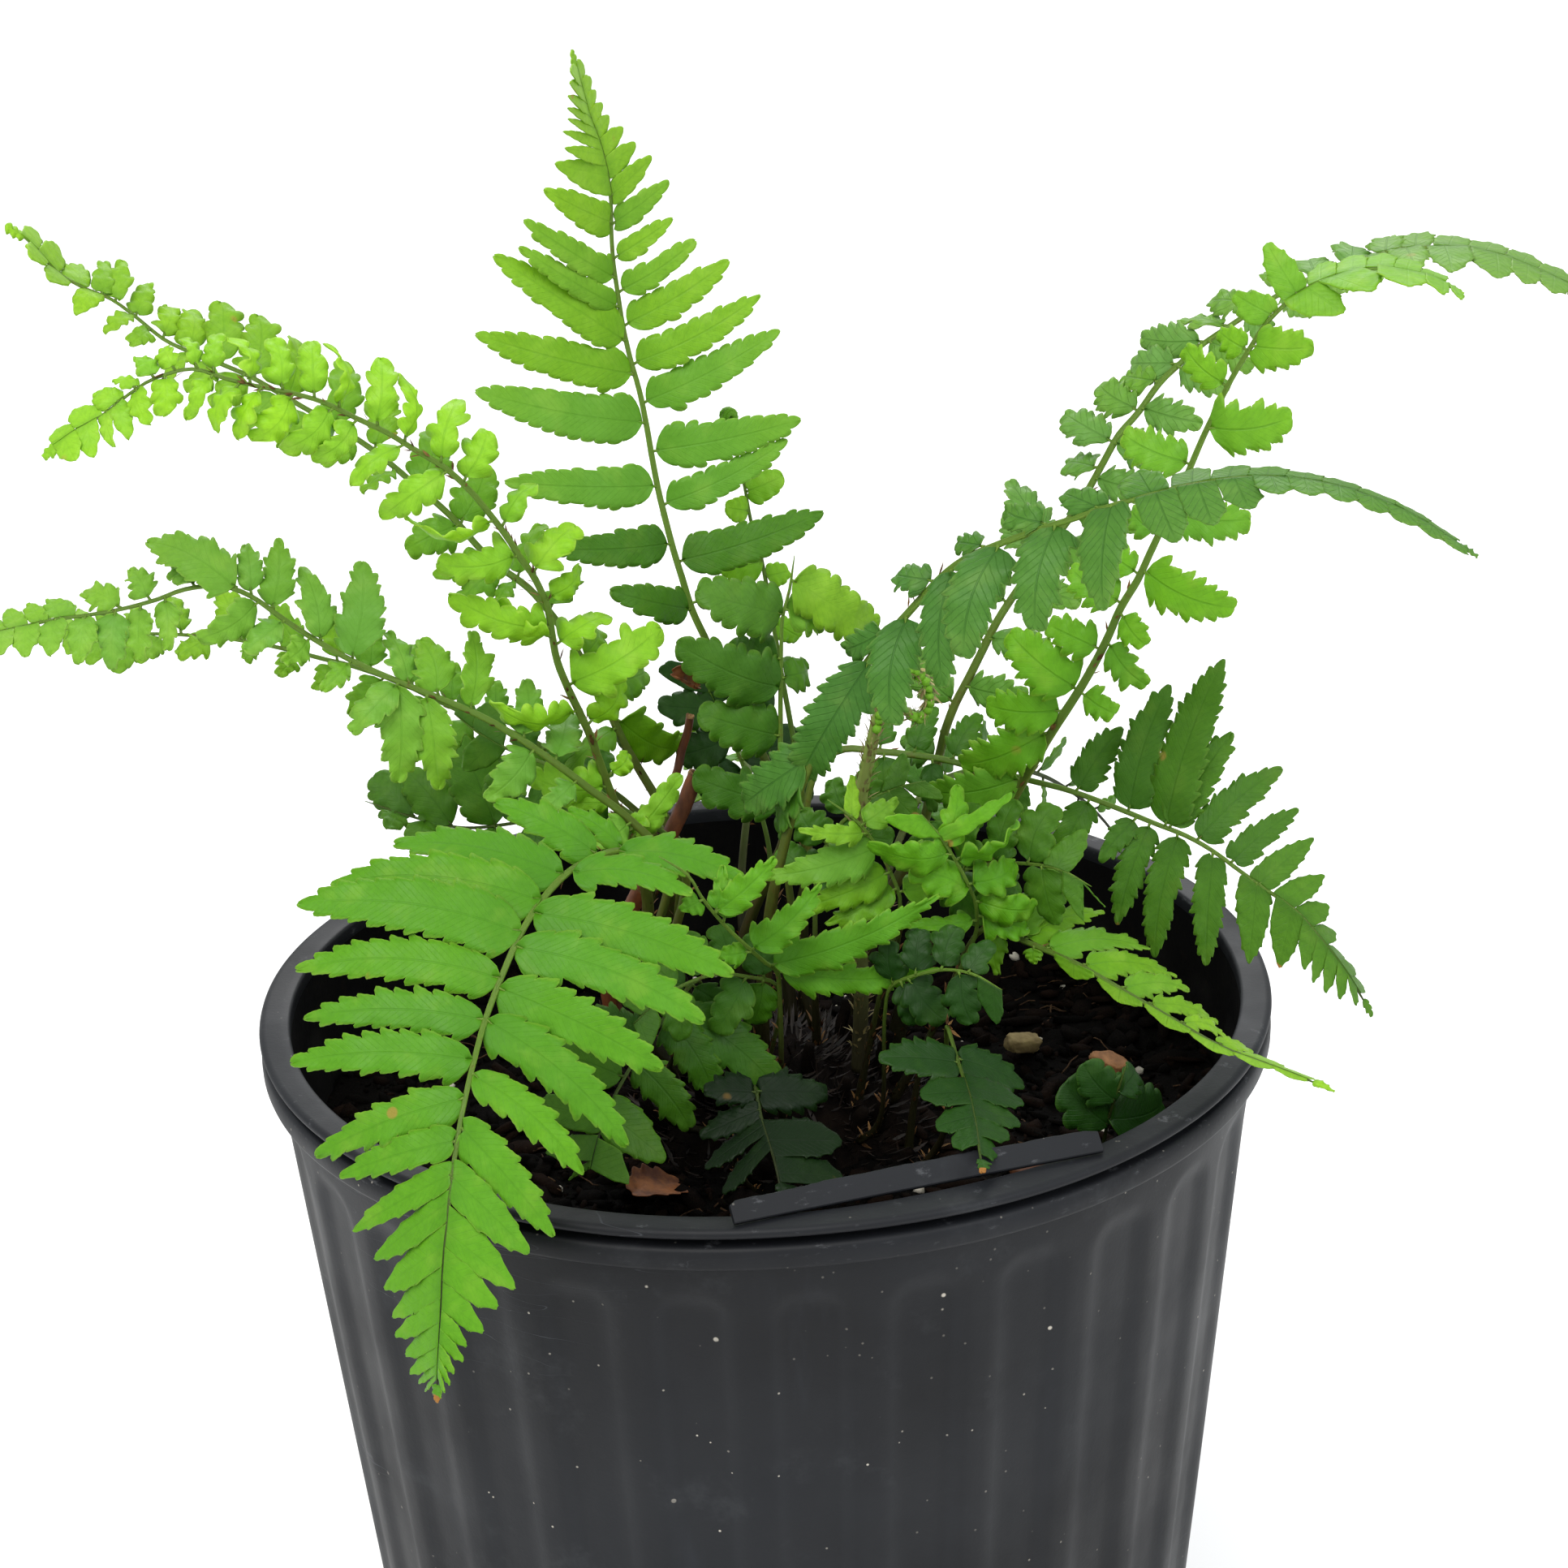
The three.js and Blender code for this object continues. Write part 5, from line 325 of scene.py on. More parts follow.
def stalk_material(name, low, high, groove):
    """Stalk and rachis: tan and scaly low down, green above, with a darker groove."""
    n = Nodes(name)
    pos, y, rnd = n.attr("pos"), n.attr("y"), n.attr("rnd")
    fine = n.noise(650, 4, 0.65)
    blend = n.math("ADD", pos, n.math("MULTIPLY", n.math("SUBTRACT", n.noise(230, 3, 0.6), 0.5), 0.28))
    base = n.mix(n.ramp(blend, 0.02, 0.45), low, high)
    base = n.mix(n.math("MULTIPLY", n.ramp(y, 0.5, 0.95), 0.40), base, groove)
    base = n.mix(n.ramp(fine, 0.58, 0.74, 0.0, 0.55), base, colour(120, 86, 44))
    # painted shade: darker towards the bottom, below the rim of the pot, together with soil staining
    split = n.node("ShaderNodeSeparateXYZ")
    n.put(split.inputs[0], n.coords())
    base = n.mix(n.ramp(split.outputs[2], 0.190, 0.158, 0.0, 0.92), base, colour(27, 23, 12))
    streak = n.noise(1500, 2, 0.5)
    normal = n.bump(n.math("ADD", fine, n.math("MULTIPLY", streak, 0.4)), 0.5, 0.00018)
    return n.finish(n.principled(base, 0.52, normal, specular=0.4).outputs[0])


def scale_material(name, dark, light):
    """Papery scales: thin, brown, paler at the tips."""
    n = Nodes(name)
    u, rnd = n.attr("u"), n.attr("rnd")
    base = n.mix(rnd, dark, light)
    base = n.mix(n.ramp(u, 0.4, 1.0, 0.0, 0.45), base, light)
    base = n.mix(n.ramp(n.noise(1300, 3, 0.6), 0.4, 0.7, 0.0, 0.35), base, dark)
    normal = n.bump(n.noise(1700, 2, 0.5), 0.3, 0.0001)
    return n.finish(n.principled(base, 0.6, normal, specular=0.35).outputs[0])


# ---------------------------------------------------------------- shapes shared by the plant's pieces
def frames_along(path, start=(1, 0, 0)):
    """Tangents and a pair of steady normals along a path."""
    T = np.gradient(path, axis=0)
    T /= np.linalg.norm(T, axis=1)[:, None]
    S = np.zeros_like(T)
    s = np.asarray(start, float)
    for i, t in enumerate(T):
        s = s - t * (s @ t)
        if np.linalg.norm(s) < 0.05:
            s = np.cross(t, (0, 0, 1)) if abs(t[2]) < 0.9 else np.cross(t, (0, 1, 0))
        s = s / np.linalg.norm(s)
        S[i] = s
    return T, S, np.cross(T, S)


def add_tube(piece, path, radii, sides=10, slot=0, side_dirs=None, groove=0.0, flat=1.0, caps=True, rough=0.0, seed=0, **numbers):
    """A tube along path. With side_dirs it is turned so that its groove faces the leaf's upper side."""
    T, S, B = frames_along(path)
    if side_dirs is not None:
        S = side_dirs - T * np.sum(side_dirs * T, axis=1)[:, None]
        S /= np.linalg.norm(S, axis=1)[:, None]
        B = np.cross(T, S)
    rng = np.random.default_rng(seed)
    a = np.linspace(0, 2 * math.pi, sides, endpoint=False)
    n = len(path)
    verts, upper = [], []
    for i in range(n):
        r = radii[i] * (1 + rough * (rng.random(sides) - 0.5))
        # B is T x S; the upper side is S x T, which is -B
        c, s = np.cos(a), np.sin(a)
        up = np.clip(-s, 0, 1)
        r = r * (1 - groove * np.exp(-((c / 0.33) ** 2)) * (up > 0.5))
        verts.append(path[i] + (S[i][None, :] * (r * c)[:, None]) + (B[i][None, :] * (r * s * flat)[:, None]))
        upper.append(up)
    verts = np.vstack(verts)
    faces = [f[::-1] for f in grid_faces(n, sides, wrap=True)]
    faces = [(f[3], f[2], f[1], f[0]) for f in faces]
    if caps:
        faces.append(tuple(range(sides - 1, -1, -1)))
        faces.append(tuple(range((n - 1) * sides, n * sides)))
    per = {k: (np.repeat(v, sides) if np.ndim(v) == 1 else v) for k, v in numbers.items()}
    piece.add(verts, faces, slot, y=np.concatenate(upper), **per)


def add_scale(piece, at, along, out, length, width, slot, rnd, curl=0.3):
    """One small papery scale, lying along one way and standing out a little."""
    along, out = unit(along), unit(out)
    across = np.cross(along, out)
    pts = []
    for u, w, h in ((0, 0.35, 0.02), (0.35, 1.0, 0.12), (0.7, 0.6, 0.30), (1.0, 0.05, 0.55)):
        centre = at + along * (length * u * (1 - 0.25 * h * curl)) + out * (length * h * curl)
        pts += [centre - across * (0.5 * width * w), centre + out * (0.12 * width * w), centre + across * (0.5 * width * w)]
    faces = grid_faces(4, 3)
    piece.add(pts, faces, slot, u=np.repeat([0, 0.35, 0.7, 1.0], 3), rnd=rnd)


def scatter_scales(piece, path, radii, count, length, width, slot, seed, lo=0.0, hi=1.0, power=1.0, stand=0.5, up=0.8):
    """Scales on a stalk, denser towards its base."""
    rng = np.random.default_rng(seed)
    T, S, B = frames_along(path)
    n = len(path)
    for _ in range(count):
        f = lo + (hi - lo) * rng.random() ** power
        i = min(n - 1, int(f * (n - 1)))
        a = rng.random() * 2 * math.pi
        out = S[i] * math.cos(a) + B[i] * math.sin(a)
        jitter = rng.normal(0, 0.35, 3)
        way = T[i] * up + out * stand * rng.random() + jitter * 0.6
        k = 0.6 + 0.8 * rng.random()
        add_scale(piece, path[i] + out * radii[i] * 0.95, way, out, length * k, width * k, slot, rng.random(), curl=stand)


# half-width of a leaflet along its length, as a share of the widest place
OUTLINES = {
    "lance": ((0, 0.0), (0.015, 0.45), (0.05, 0.84), (0.11, 1.0), (0.2, 0.99), (0.36, 0.90), (0.54, 0.76), (0.7, 0.58), (0.84, 0.38), (0.94, 0.19), (1, 0.0)),
    "blunt": ((0, 0.0), (0.015, 0.42), (0.06, 0.82), (0.14, 1.0), (0.3, 0.98), (0.5, 0.92), (0.7, 0.81), (0.84, 0.66), (0.93, 0.46), (0.98, 0.22), (1, 0.0)),
    "ovate": ((0, 0.0), (0.02, 0.40), (0.08, 0.80), (0.18, 0.99), (0.34, 1.0), (0.52, 0.90), (0.7, 0.72), (0.84, 0.52), (0.94, 0.30), (1, 0.0)),
    "oval": ((0, 0.0), (0.02, 0.34), (0.08, 0.70), (0.2, 0.95), (0.36, 1.0), (0.55, 0.96), (0.72, 0.82), (0.86, 0.60), (0.95, 0.35), (1, 0.0)),
    "strap": ((0, 0.0), (0.012, 0.46), (0.04, 0.80), (0.09, 0.95), (0.2, 1.0), (0.4, 0.97), (0.58, 0.89), (0.73, 0.75), (0.85, 0.55), (0.94, 0.30), (1, 0.0)),
    "fern": ((0, 0.0), (0.015, 0.46), (0.05, 0.84), (0.12, 1.0), (0.25, 0.98), (0.45, 0.91), (0.62, 0.80), (0.77, 0.64), (0.88, 0.45), (0.95, 0.25), (1, 0.0)),
    "taper": ((0, 0.0), (0.015, 0.5), (0.05, 0.92), (0.1, 1.0), (0.2, 0.88), (0.36, 0.70), (0.55, 0.56), (0.75, 0.40), (0.9, 0.22), (1, 0.0)),
}


def leaflet(piece, base, tip, width, along, arch, roll, style, rng, pos, adnate, reach, number, side, slot=0):
    """One toothed leaflet from the rachis to its tip. along is the frond's own direction there.

    adnate 0 is a free leaflet on its own short stalk; adnate 1 is a lobe that is joined to the next
    ones, with its foot on the rachis from reach[1] behind it to reach[0] in front."""
    base, tip = np.asarray(base, float), np.asarray(tip, float)
    M = tip - base
    length = float(np.linalg.norm(M))
    M = M / length
    W = unit(along - M * (along @ M))
    turn = math.radians(roll + style["twist"] * rng.normal())
    W = W * math.cos(turn) + np.cross(M, W) * math.sin(turn)
    N = np.cross(M, W) * side
    A = unit(along)
    NA = unit(np.cross(M, A)) * side
    half = 0.5 * width * (1 + style["vary"] * float(np.clip(rng.normal(), -1.6, 1.6)))
    teeth = int(max(3, round(length / style["pitch"])))
    amp = min(style["tooth"] * (0.5 + 0.5 * min(1, length / 14)), style["deep"] * half)
    stalk = style["stalk"] * (1 - adnate)
    stalk = min(stalk, 0.2 * length)
    if style["crenate"]:
        steps, rise = (0.0, 0.08, 0.22, 0.40, 0.58, 0.76, 0.90), np.array((0.0, 0.42, 0.76, 0.95, 1.0, 0.88, 0.50))
        lead = np.array((0.0, 0.02, 0.05, 0.09, 0.13, 0.15, 0.12)) * style["forward"]
    else:
        # a saw tooth with smaller steps along its back
        steps, rise = (0.0, 0.12, 0.24, 0.38, 0.52, 0.66, 0.80, 0.92), np.array((0.0, 0.32, 0.40, 0.64, 0.70, 0.92, 1.0, 0.58))
        lead = np.array((0.0, 0.02, 0.05, 0.09, 0.14, 0.19, 0.24, 0.18)) * style["forward"]
    per = len(steps)
    # teeth are finer towards the tip
    edges = np.linspace(0, 1, teeth + 1) ** 0.94
    t = np.array([edges[k] + (edges[k + 1] - edges[k]) * q for k in range(teeth) for q in steps] + [1.0])
    phase = np.array([q for k in range(teeth) for q in range(per)] + [0])
    xs, ys = zip(*OUTLINES[style["outline"]])
    env = np.interp(t, xs, ys)
    kern = env.copy()
    kern[1:-1] = 0.25 * env[:-2] + 0.5 * env[1:-1] + 0.25 * env[2:]
    env = np.where((t > 0.04) & (t < 0.97), kern, env)
    bump = np.exp(-(((t - 0.075) / 0.075) ** 2))
    size = np.clip(1.12 - 0.52 * t, 0.3, 1) * smooth(0.0, 0.10, t) * smooth(1.0, 0.95, t)
    uneven = np.repeat([1 + style["uneven"] * rng.normal() for _ in range(teeth)], per)
    jag_f = amp * rise[phase] * size * np.append(uneven, 1.0)
    uneven = np.repeat([1 + style["uneven"] * rng.normal() for _ in range(teeth)], per)
    jag_b = amp * rise[phase] * size * np.append(uneven, 1.0)
    shift = lead[phase] * length / teeth
    ear = style["ear"] * (1 - 0.8 * adnate)
    base_f = np.maximum(half * env * (1 + ear * bump) - amp * 0.62 * size, 0.02)
    base_b = np.maximum(half * env * (1 - 0.3 * ear * bump) - amp * 0.62 * size, 0.02)
    swell = style["wavy"] * np.minimum(1, half / 2.5) * smooth(0.02, 0.2, t) * smooth(1.0, 0.75, t)
    turn_f, turn_b = rng.random() * 6.28, rng.random() * 6.28
    base_f = np.maximum(base_f + swell * np.sin(2 * math.pi * t * length / 4.7 + turn_f), 0.02)
    base_b = np.maximum(base_b + swell * np.sin(2 * math.pi * t * length / 4.7 + turn_b), 0.02)
    # a joined lobe: as wide as its share of the rachis up to where it parts from its neighbours
    join = style["join"] * adnate * (0.45 + 0.55 * pos)
    part = np.clip((t - join) / (1 - join), 0, 1)
    lobe = 1 - part ** style["lobe"]
    nick = np.where(part > 0.08, 1.0, 0.0) * smooth(1.0, 0.93, t)
    cols = (-1.0, -0.9, -0.62, -0.3, 0.0, 0.3, 0.62, 0.9, 1.0)
    mm = stalk + (length - stalk) * t
    bow = style["bow"] * length * rng.normal(1.0, 0.35) * (1 - adnate)
    k_droop = style["droop"] + style["curl"] * abs(rng.normal(0.8, 0.4))
    lift = arch * length * 4 * t * (1 - t) * 0.62
    phi = rng.random() * 6.28
    twist2 = math.radians(style["twist2"]) * rng.normal() * t
    cup = style["cup"] * rng.normal(1.0, 0.3)
    verts, U, X, Y, E = [], [], [], [], []
    for i in range(len(t)):
        back = style["back"] * width * math.exp(-t[i] / 0.07)
        bend = k_droop * length * t[i] ** 2.4
        for c in cols:
            outer = abs(c) > 0.95
            inner = base_f[i] if c > 0 else base_b[i]
            jag = jag_f[i] if c > 0 else jag_b[i]
            y = c * inner
            m = mm[i]
            if outer:
                y = math.copysign(inner + jag, c)
                m += shift[i]
            h = lift[i] - bend + style["keel"] * abs(y) - cup * y * y / max(half, 0.5)
            h += style["ripple"] * 0.22 * abs(c) ** 2 * math.sin(2 * math.pi * t[i] * 3.1 * style["ripple_rate"] + phi + (1.9 if c > 0 else 0)) * min(1, half / 2)
            yy = y * math.cos(twist2[i])
            hh = h + y * math.sin(twist2[i])
            free = base + M * (m - back * abs(c) ** 1.5) + W * (yy - bow * 4 * t[i] * (1 - t[i])) + N * hh
            if adnate > 0:
                foot = reach[0] if c > 0 else reach[1]
                yj = c * foot * lobe[i]
                if outer:
                    yj += math.copysign(min(style["tooth"] * 0.6, 0.12 * foot + 0.14 + style["notch"]) * (rise[phase[i]] - 0.55) * nick[i] * min(1.0, 1.6 - part[i]), c)
                joined = base + M * (length * t[i] + (0.5 * shift[i] * nick[i] if outer else 0.0)) + A * yj + NA * (0.5 * h * (1 - 0.6 * adnate))
                free = free * (1 - adnate) + joined * adnate
                y = y * (1 - adnate) + yj * adnate
            verts.append(free)
            U.append(t[i])
            X.append(m)
            Y.append(y)
            E.append(abs(c) if t[i] < 0.985 else 1.0)
    faces = grid_faces(len(t), len(cols))
    if side > 0:
        faces = [f[::-1] for f in faces]
    rnd = min(1.0, max(0.0, rng.normal(0.32, 0.24)))
    # painted light: a leaflet whose upper side faces up and to the front leans to the bluish painted sheen, one turned
    # away to the yellow painted light through the blade; a random part and a lean per leaflet are added
    facing_up_front = (N * (1 - adnate) + NA * adnate) @ np.array((0.0, -0.80, 0.60))
    lean = style["tones"].get(number, style["tone"])
    tone = min(1.0, max(0.0, 0.5 - style["painted_light_by_facing"] * facing_up_front + 0.14 * (1 - 0.8 * adnate) * rng.normal() + lean))
    rnd = rnd * (1 - 0.7 * adnate) + 0.3 * 0.7 * adnate
    dry = np.zeros(len(U))
    if number in style["dry"]:
        how = style["dry"][number]
        dry = smooth(how, how + 0.25, np.array(U)) * 0.9
    piece.add(verts, faces, slot, u=U, x=X, y=Y, edge=E, rnd=rnd, pos=pos, dry=dry, tone=tone)
    if stalk > 0.2:
        k = 5
        line = np.array([base - M * 0.2 + M * (stalk + 0.9) * i / (k - 1) + N * (-0.05) for i in range(k)])
        r = np.linspace(0.26, 0.15, k) * style["stalk_r"]
        add_tube(piece, line, r, sides=6, slot=1, pos=0.9, rnd=rnd)


DEFAULT = dict(
    outline="oval", wide=1.0, pitch=1.7, tooth=0.5, crenate=True, forward=1.0, uneven=0.25, ear=0.12, back=0.10,
    keel=0.08, cup=0.14, ripple=1.0, ripple_rate=1.0, twist=6.0, twist2=9.0, bow=0.04, droop=0.04, curl=0.0,
    stalk=0.9, stalk_r=1.0, adnate=(0.6, 0.85), dry={}, scales=26, scale_len=1.6, groove=0.35, slim=0.66,
    painted_light_by_facing=0.32, tone=0.12, deep=0.40, join=0.45, lobe=1.7, widest=99.0, notch=0.0, far=1.0, wavy=0.12, vary=0.07, tones={},
)

STYLES = {
    "frond_tall_centre": dict(second="dark", others=(0, 1, 2, 3), tones={0: 0.15, 1: 0.15, 2: 0.35, 3: 0.35, 4: -0.4, 5: -0.4, 6: -0.25, 7: -0.25, 8: -0.1}, outline="fern", wide=0.76, far=0.92, pitch=2.3, tooth=0.62, deep=0.3, forward=1.5, wavy=0.10, adnate=(0.56, 0.86), join=0.30, lobe=2.1, notch=0.08, terminal=0.8, scales=14, ear=0.2, cup=0.04, keel=0.03, droop=0.0, bow=0.03, twist=3, twist2=4, uneven=0.3, ripple=0.8, dry={6: 0.93}),
    "frond_young_crozier": dict(pitch=1.5, outline="blunt", scales=20, stalk=0.3, wide=1.1),
    "frond_broken_tip": dict(adnate=(2, 3), second="mid", others=(7, 6), pitch=2.4, outline="blunt", cup=0.2, curl=0.1, wide=1.1, widest=7.4, tooth=1.3, deep=0.5, ripple=1.8, twist=4, wavy=0.3, tones={7: 0.0, 6: 0.0, 3: 0.4}),
    "frond_upper_left_back": dict(pitch=2.4, outline="blunt", tooth=1.0, cup=0.25, curl=0.14, twist=26, twist2=18, adnate=(0.75, 0.98), terminal=1.0, wide=0.88, ripple=2.0, uneven=0.5, wavy=0.3, vary=0.16),
    "frond_upper_left_front": dict(pitch=2.4, outline="blunt", cup=0.34, curl=0.34, twist=34, twist2=28, tooth=1.1, adnate=(0.8, 0.98), terminal=1.0, scales=150, scale_top=0.9, wide=1.06, uneven=0.5, ripple=2.6, deep=0.38, wavy=0.35, vary=0.18, slim=0.56),
    "frond_left_upper": dict(painted_light_by_facing=0.45, crenate=False, forward=0.8, pitch=1.9, tooth=0.85, outline="ovate", cup=0.15, curl=0.10, twist=16, adnate=(0.75, 0.98), terminal=1.0, wide=0.96, ripple=2.0, uneven=0.4, wavy=0.25, vary=0.12),
    "frond_left_lower": dict(painted_light_by_facing=0.45, crenate=False, forward=0.8, pitch=1.9, tooth=0.85, outline="ovate", cup=0.2, curl=0.10, twist=18, adnate=(0.75, 0.98), terminal=1.0, wide=0.96, ripple=2.0, uneven=0.4, wavy=0.25, vary=0.12),
    "frond_back_left": dict(adnate=(2, 3), pitch=2.2, outline="oval", cup=0.2, wide=1.1, tooth=0.9, ripple=1.5, wavy=0.2),
    "frond_front_left_drooping": dict(outline="fern", wide=0.97, far=0.80, pitch=3.1, tooth=1.1, deep=0.36, crenate=False, wavy=0.10, adnate=(0.50, 0.78), join=0.34, lobe=2.2, notch=0.22, terminal=0.3, ear=0.2, cup=0.05, keel=0.03, ripple=1.4, droop=0.0, bow=0.035, twist=5, twist2=7, back=0.16, forward=0.9, uneven=0.25, vary=0.06, dry={-1: 0.45}),
    "frond_upper_right_back": dict(short=(0.72, 0.90, 0.7), painted_light_by_facing=0.45, crenate=False, forward=0.7, pitch=2.0, tooth=1.35, deep=0.45, outline="oval", cup=0.2, curl=0.05, twist=16, adnate=(0.58, 0.82), join=0.5, terminal=0.6, wide=0.90, ripple=1.8, notch=0.35, wavy=0.2),
    "frond_upper_right_front": dict(crenate=False, forward=0.7, pitch=2.0, tooth=1.65, deep=0.5, outline="blunt", cup=0.12, curl=0.05, adnate=(0.62, 0.86), join=0.5, terminal=0.6, scales=60, wide=0.82, ear=0.2, ripple=1.4, notch=0.35, wavy=0.2),
    "frond_right_blue_hanging": dict(short=(0.62, 0.80, 0.55), tone=-0.02, pitch=2.2, tooth=1.35, deep=0.42, crenate=False, forward=0.9, outline="blunt", cup=0.16, keel=0.08, adnate=(0.46, 0.66), join=0.66, terminal=0.6, ripple=1.6, wide=0.94, widest=9.4, ear=0.2, notch=0.35, wavy=0.2, uneven=0.25),
    "frond_right": dict(hue="dark", crenate=False, forward=0.9, pitch=1.9, tooth=0.8, outline="strap", adnate=(0.62, 0.85), join=0.4, terminal=0.6, wide=1.2, far=0.68, bow=0.03, twist=5, twist2=6, cup=0.08, ear=0.1, tone=0.24, notch=0.1, wavy=0.16, uneven=0.35, dry={14: 0.85, 23: 0.8}),
    "frond_front_right": dict(short_near=(0.0, 0.15, 0.42), pitch=2.0, outline="lance", crenate=False, tooth=0.8, adnate=(0.62, 0.9), adnate_near=(0.1, 0.3), join=0.3, terminal=1.0, wide=1.1, twist=4, wavy=0.2),
    "frond_small_bright": dict(hue="yellowmid", pitch=2.4, tooth=1.1, outline="blunt", cup=0.25, curl=0.34, ripple=3.0, twist=26, twist2=28, wide=1.1, tone=0.3, wavy=0.35, vary=0.15),
    "frond_centre_front": dict(pitch=2.1, outline="lance", crenate=False, tooth=0.9, cup=0.1, wide=1.1, ripple=2.0, wavy=0.2),
    "frond_centre_right": dict(pitch=2.1, outline="lance", crenate=False, tooth=0.9, cup=0.12, wide=1.2, ripple=2.0, wavy=0.2),
    "frond_small_front": dict(hue="deep", tone=0.04, pitch=2.1, tooth=2.0, deep=0.5, crenate=False, outline="strap", adnate=(-0.25, 0.35), join=0.5, lobe=3.0, notch=0.9, terminal=0.6, wide=1.15, cup=0.05, wavy=0.2, dry={-1: 0.55}),
    "leaf_small_lobed": dict(hue="deep", pitch=3.4, tooth=1.9, deep=0.5, outline="oval", stalk=0.3, wide=1.1, uneven=0.3, ripple=0.5, cup=0.05, wavy=0.2, twist=3, twist2=3),
    "frond_low_front": dict(hue="shade", tone=-0.25, pitch=2.1, tooth=2.0, deep=0.5, crenate=False, outline="strap", adnate=(-0.25, 0.35), join=0.5, lobe=3.0, notch=0.9, terminal=0.6, wide=1.15, wavy=0.2),
    "frond_low_left": dict(pitch=2.1, tooth=1.0, crenate=False, outline="blunt", wide=1.15, wavy=0.25),
    "frond_back_centre": dict(adnate=(2, 3), short=(0.3, 1.0, 0.45), far=0.55, terminal=3.0, outline="blunt", wide=1.05, tooth=0.8, pitch=2.1),
    "frond_back_right": dict(adnate=(2, 3), short=(0.3, 1.0, 0.45), far=0.55, terminal=3.0, outline="blunt", wide=1.05, tooth=0.8, pitch=2.1, wavy=0.2),
    "frond_inner_left": dict(pitch=2.2, tooth=1.0, outline="oval", wide=1.1, cup=0.2, twist=16, ripple=2.0, wavy=0.3),
    "frond_inner_back": dict(pitch=2.4, tooth=1.2, outline="oval", wide=1.1, cup=0.2, twist=16, ripple=2.0, wavy=0.35),
    "frond_inner_low": dict(pitch=2.2, tooth=1.0, outline="blunt", wide=1.1, cup=0.2, twist=16, ripple=2.0, wavy=0.3),
    "frond_inner_right": dict(pitch=2.2, tooth=1.0, outline="blunt", wide=1.1, cup=0.2, twist=16, ripple=2.0, wavy=0.3),
    "frond_low_middle": dict(pitch=2.3, tooth=1.1, outline="blunt", wide=1.1, twist=12, wavy=0.3),
    "frond_low_right": dict(pitch=2.3, tooth=1.1, outline="blunt", wide=1.1, twist=12, wavy=0.3),
}


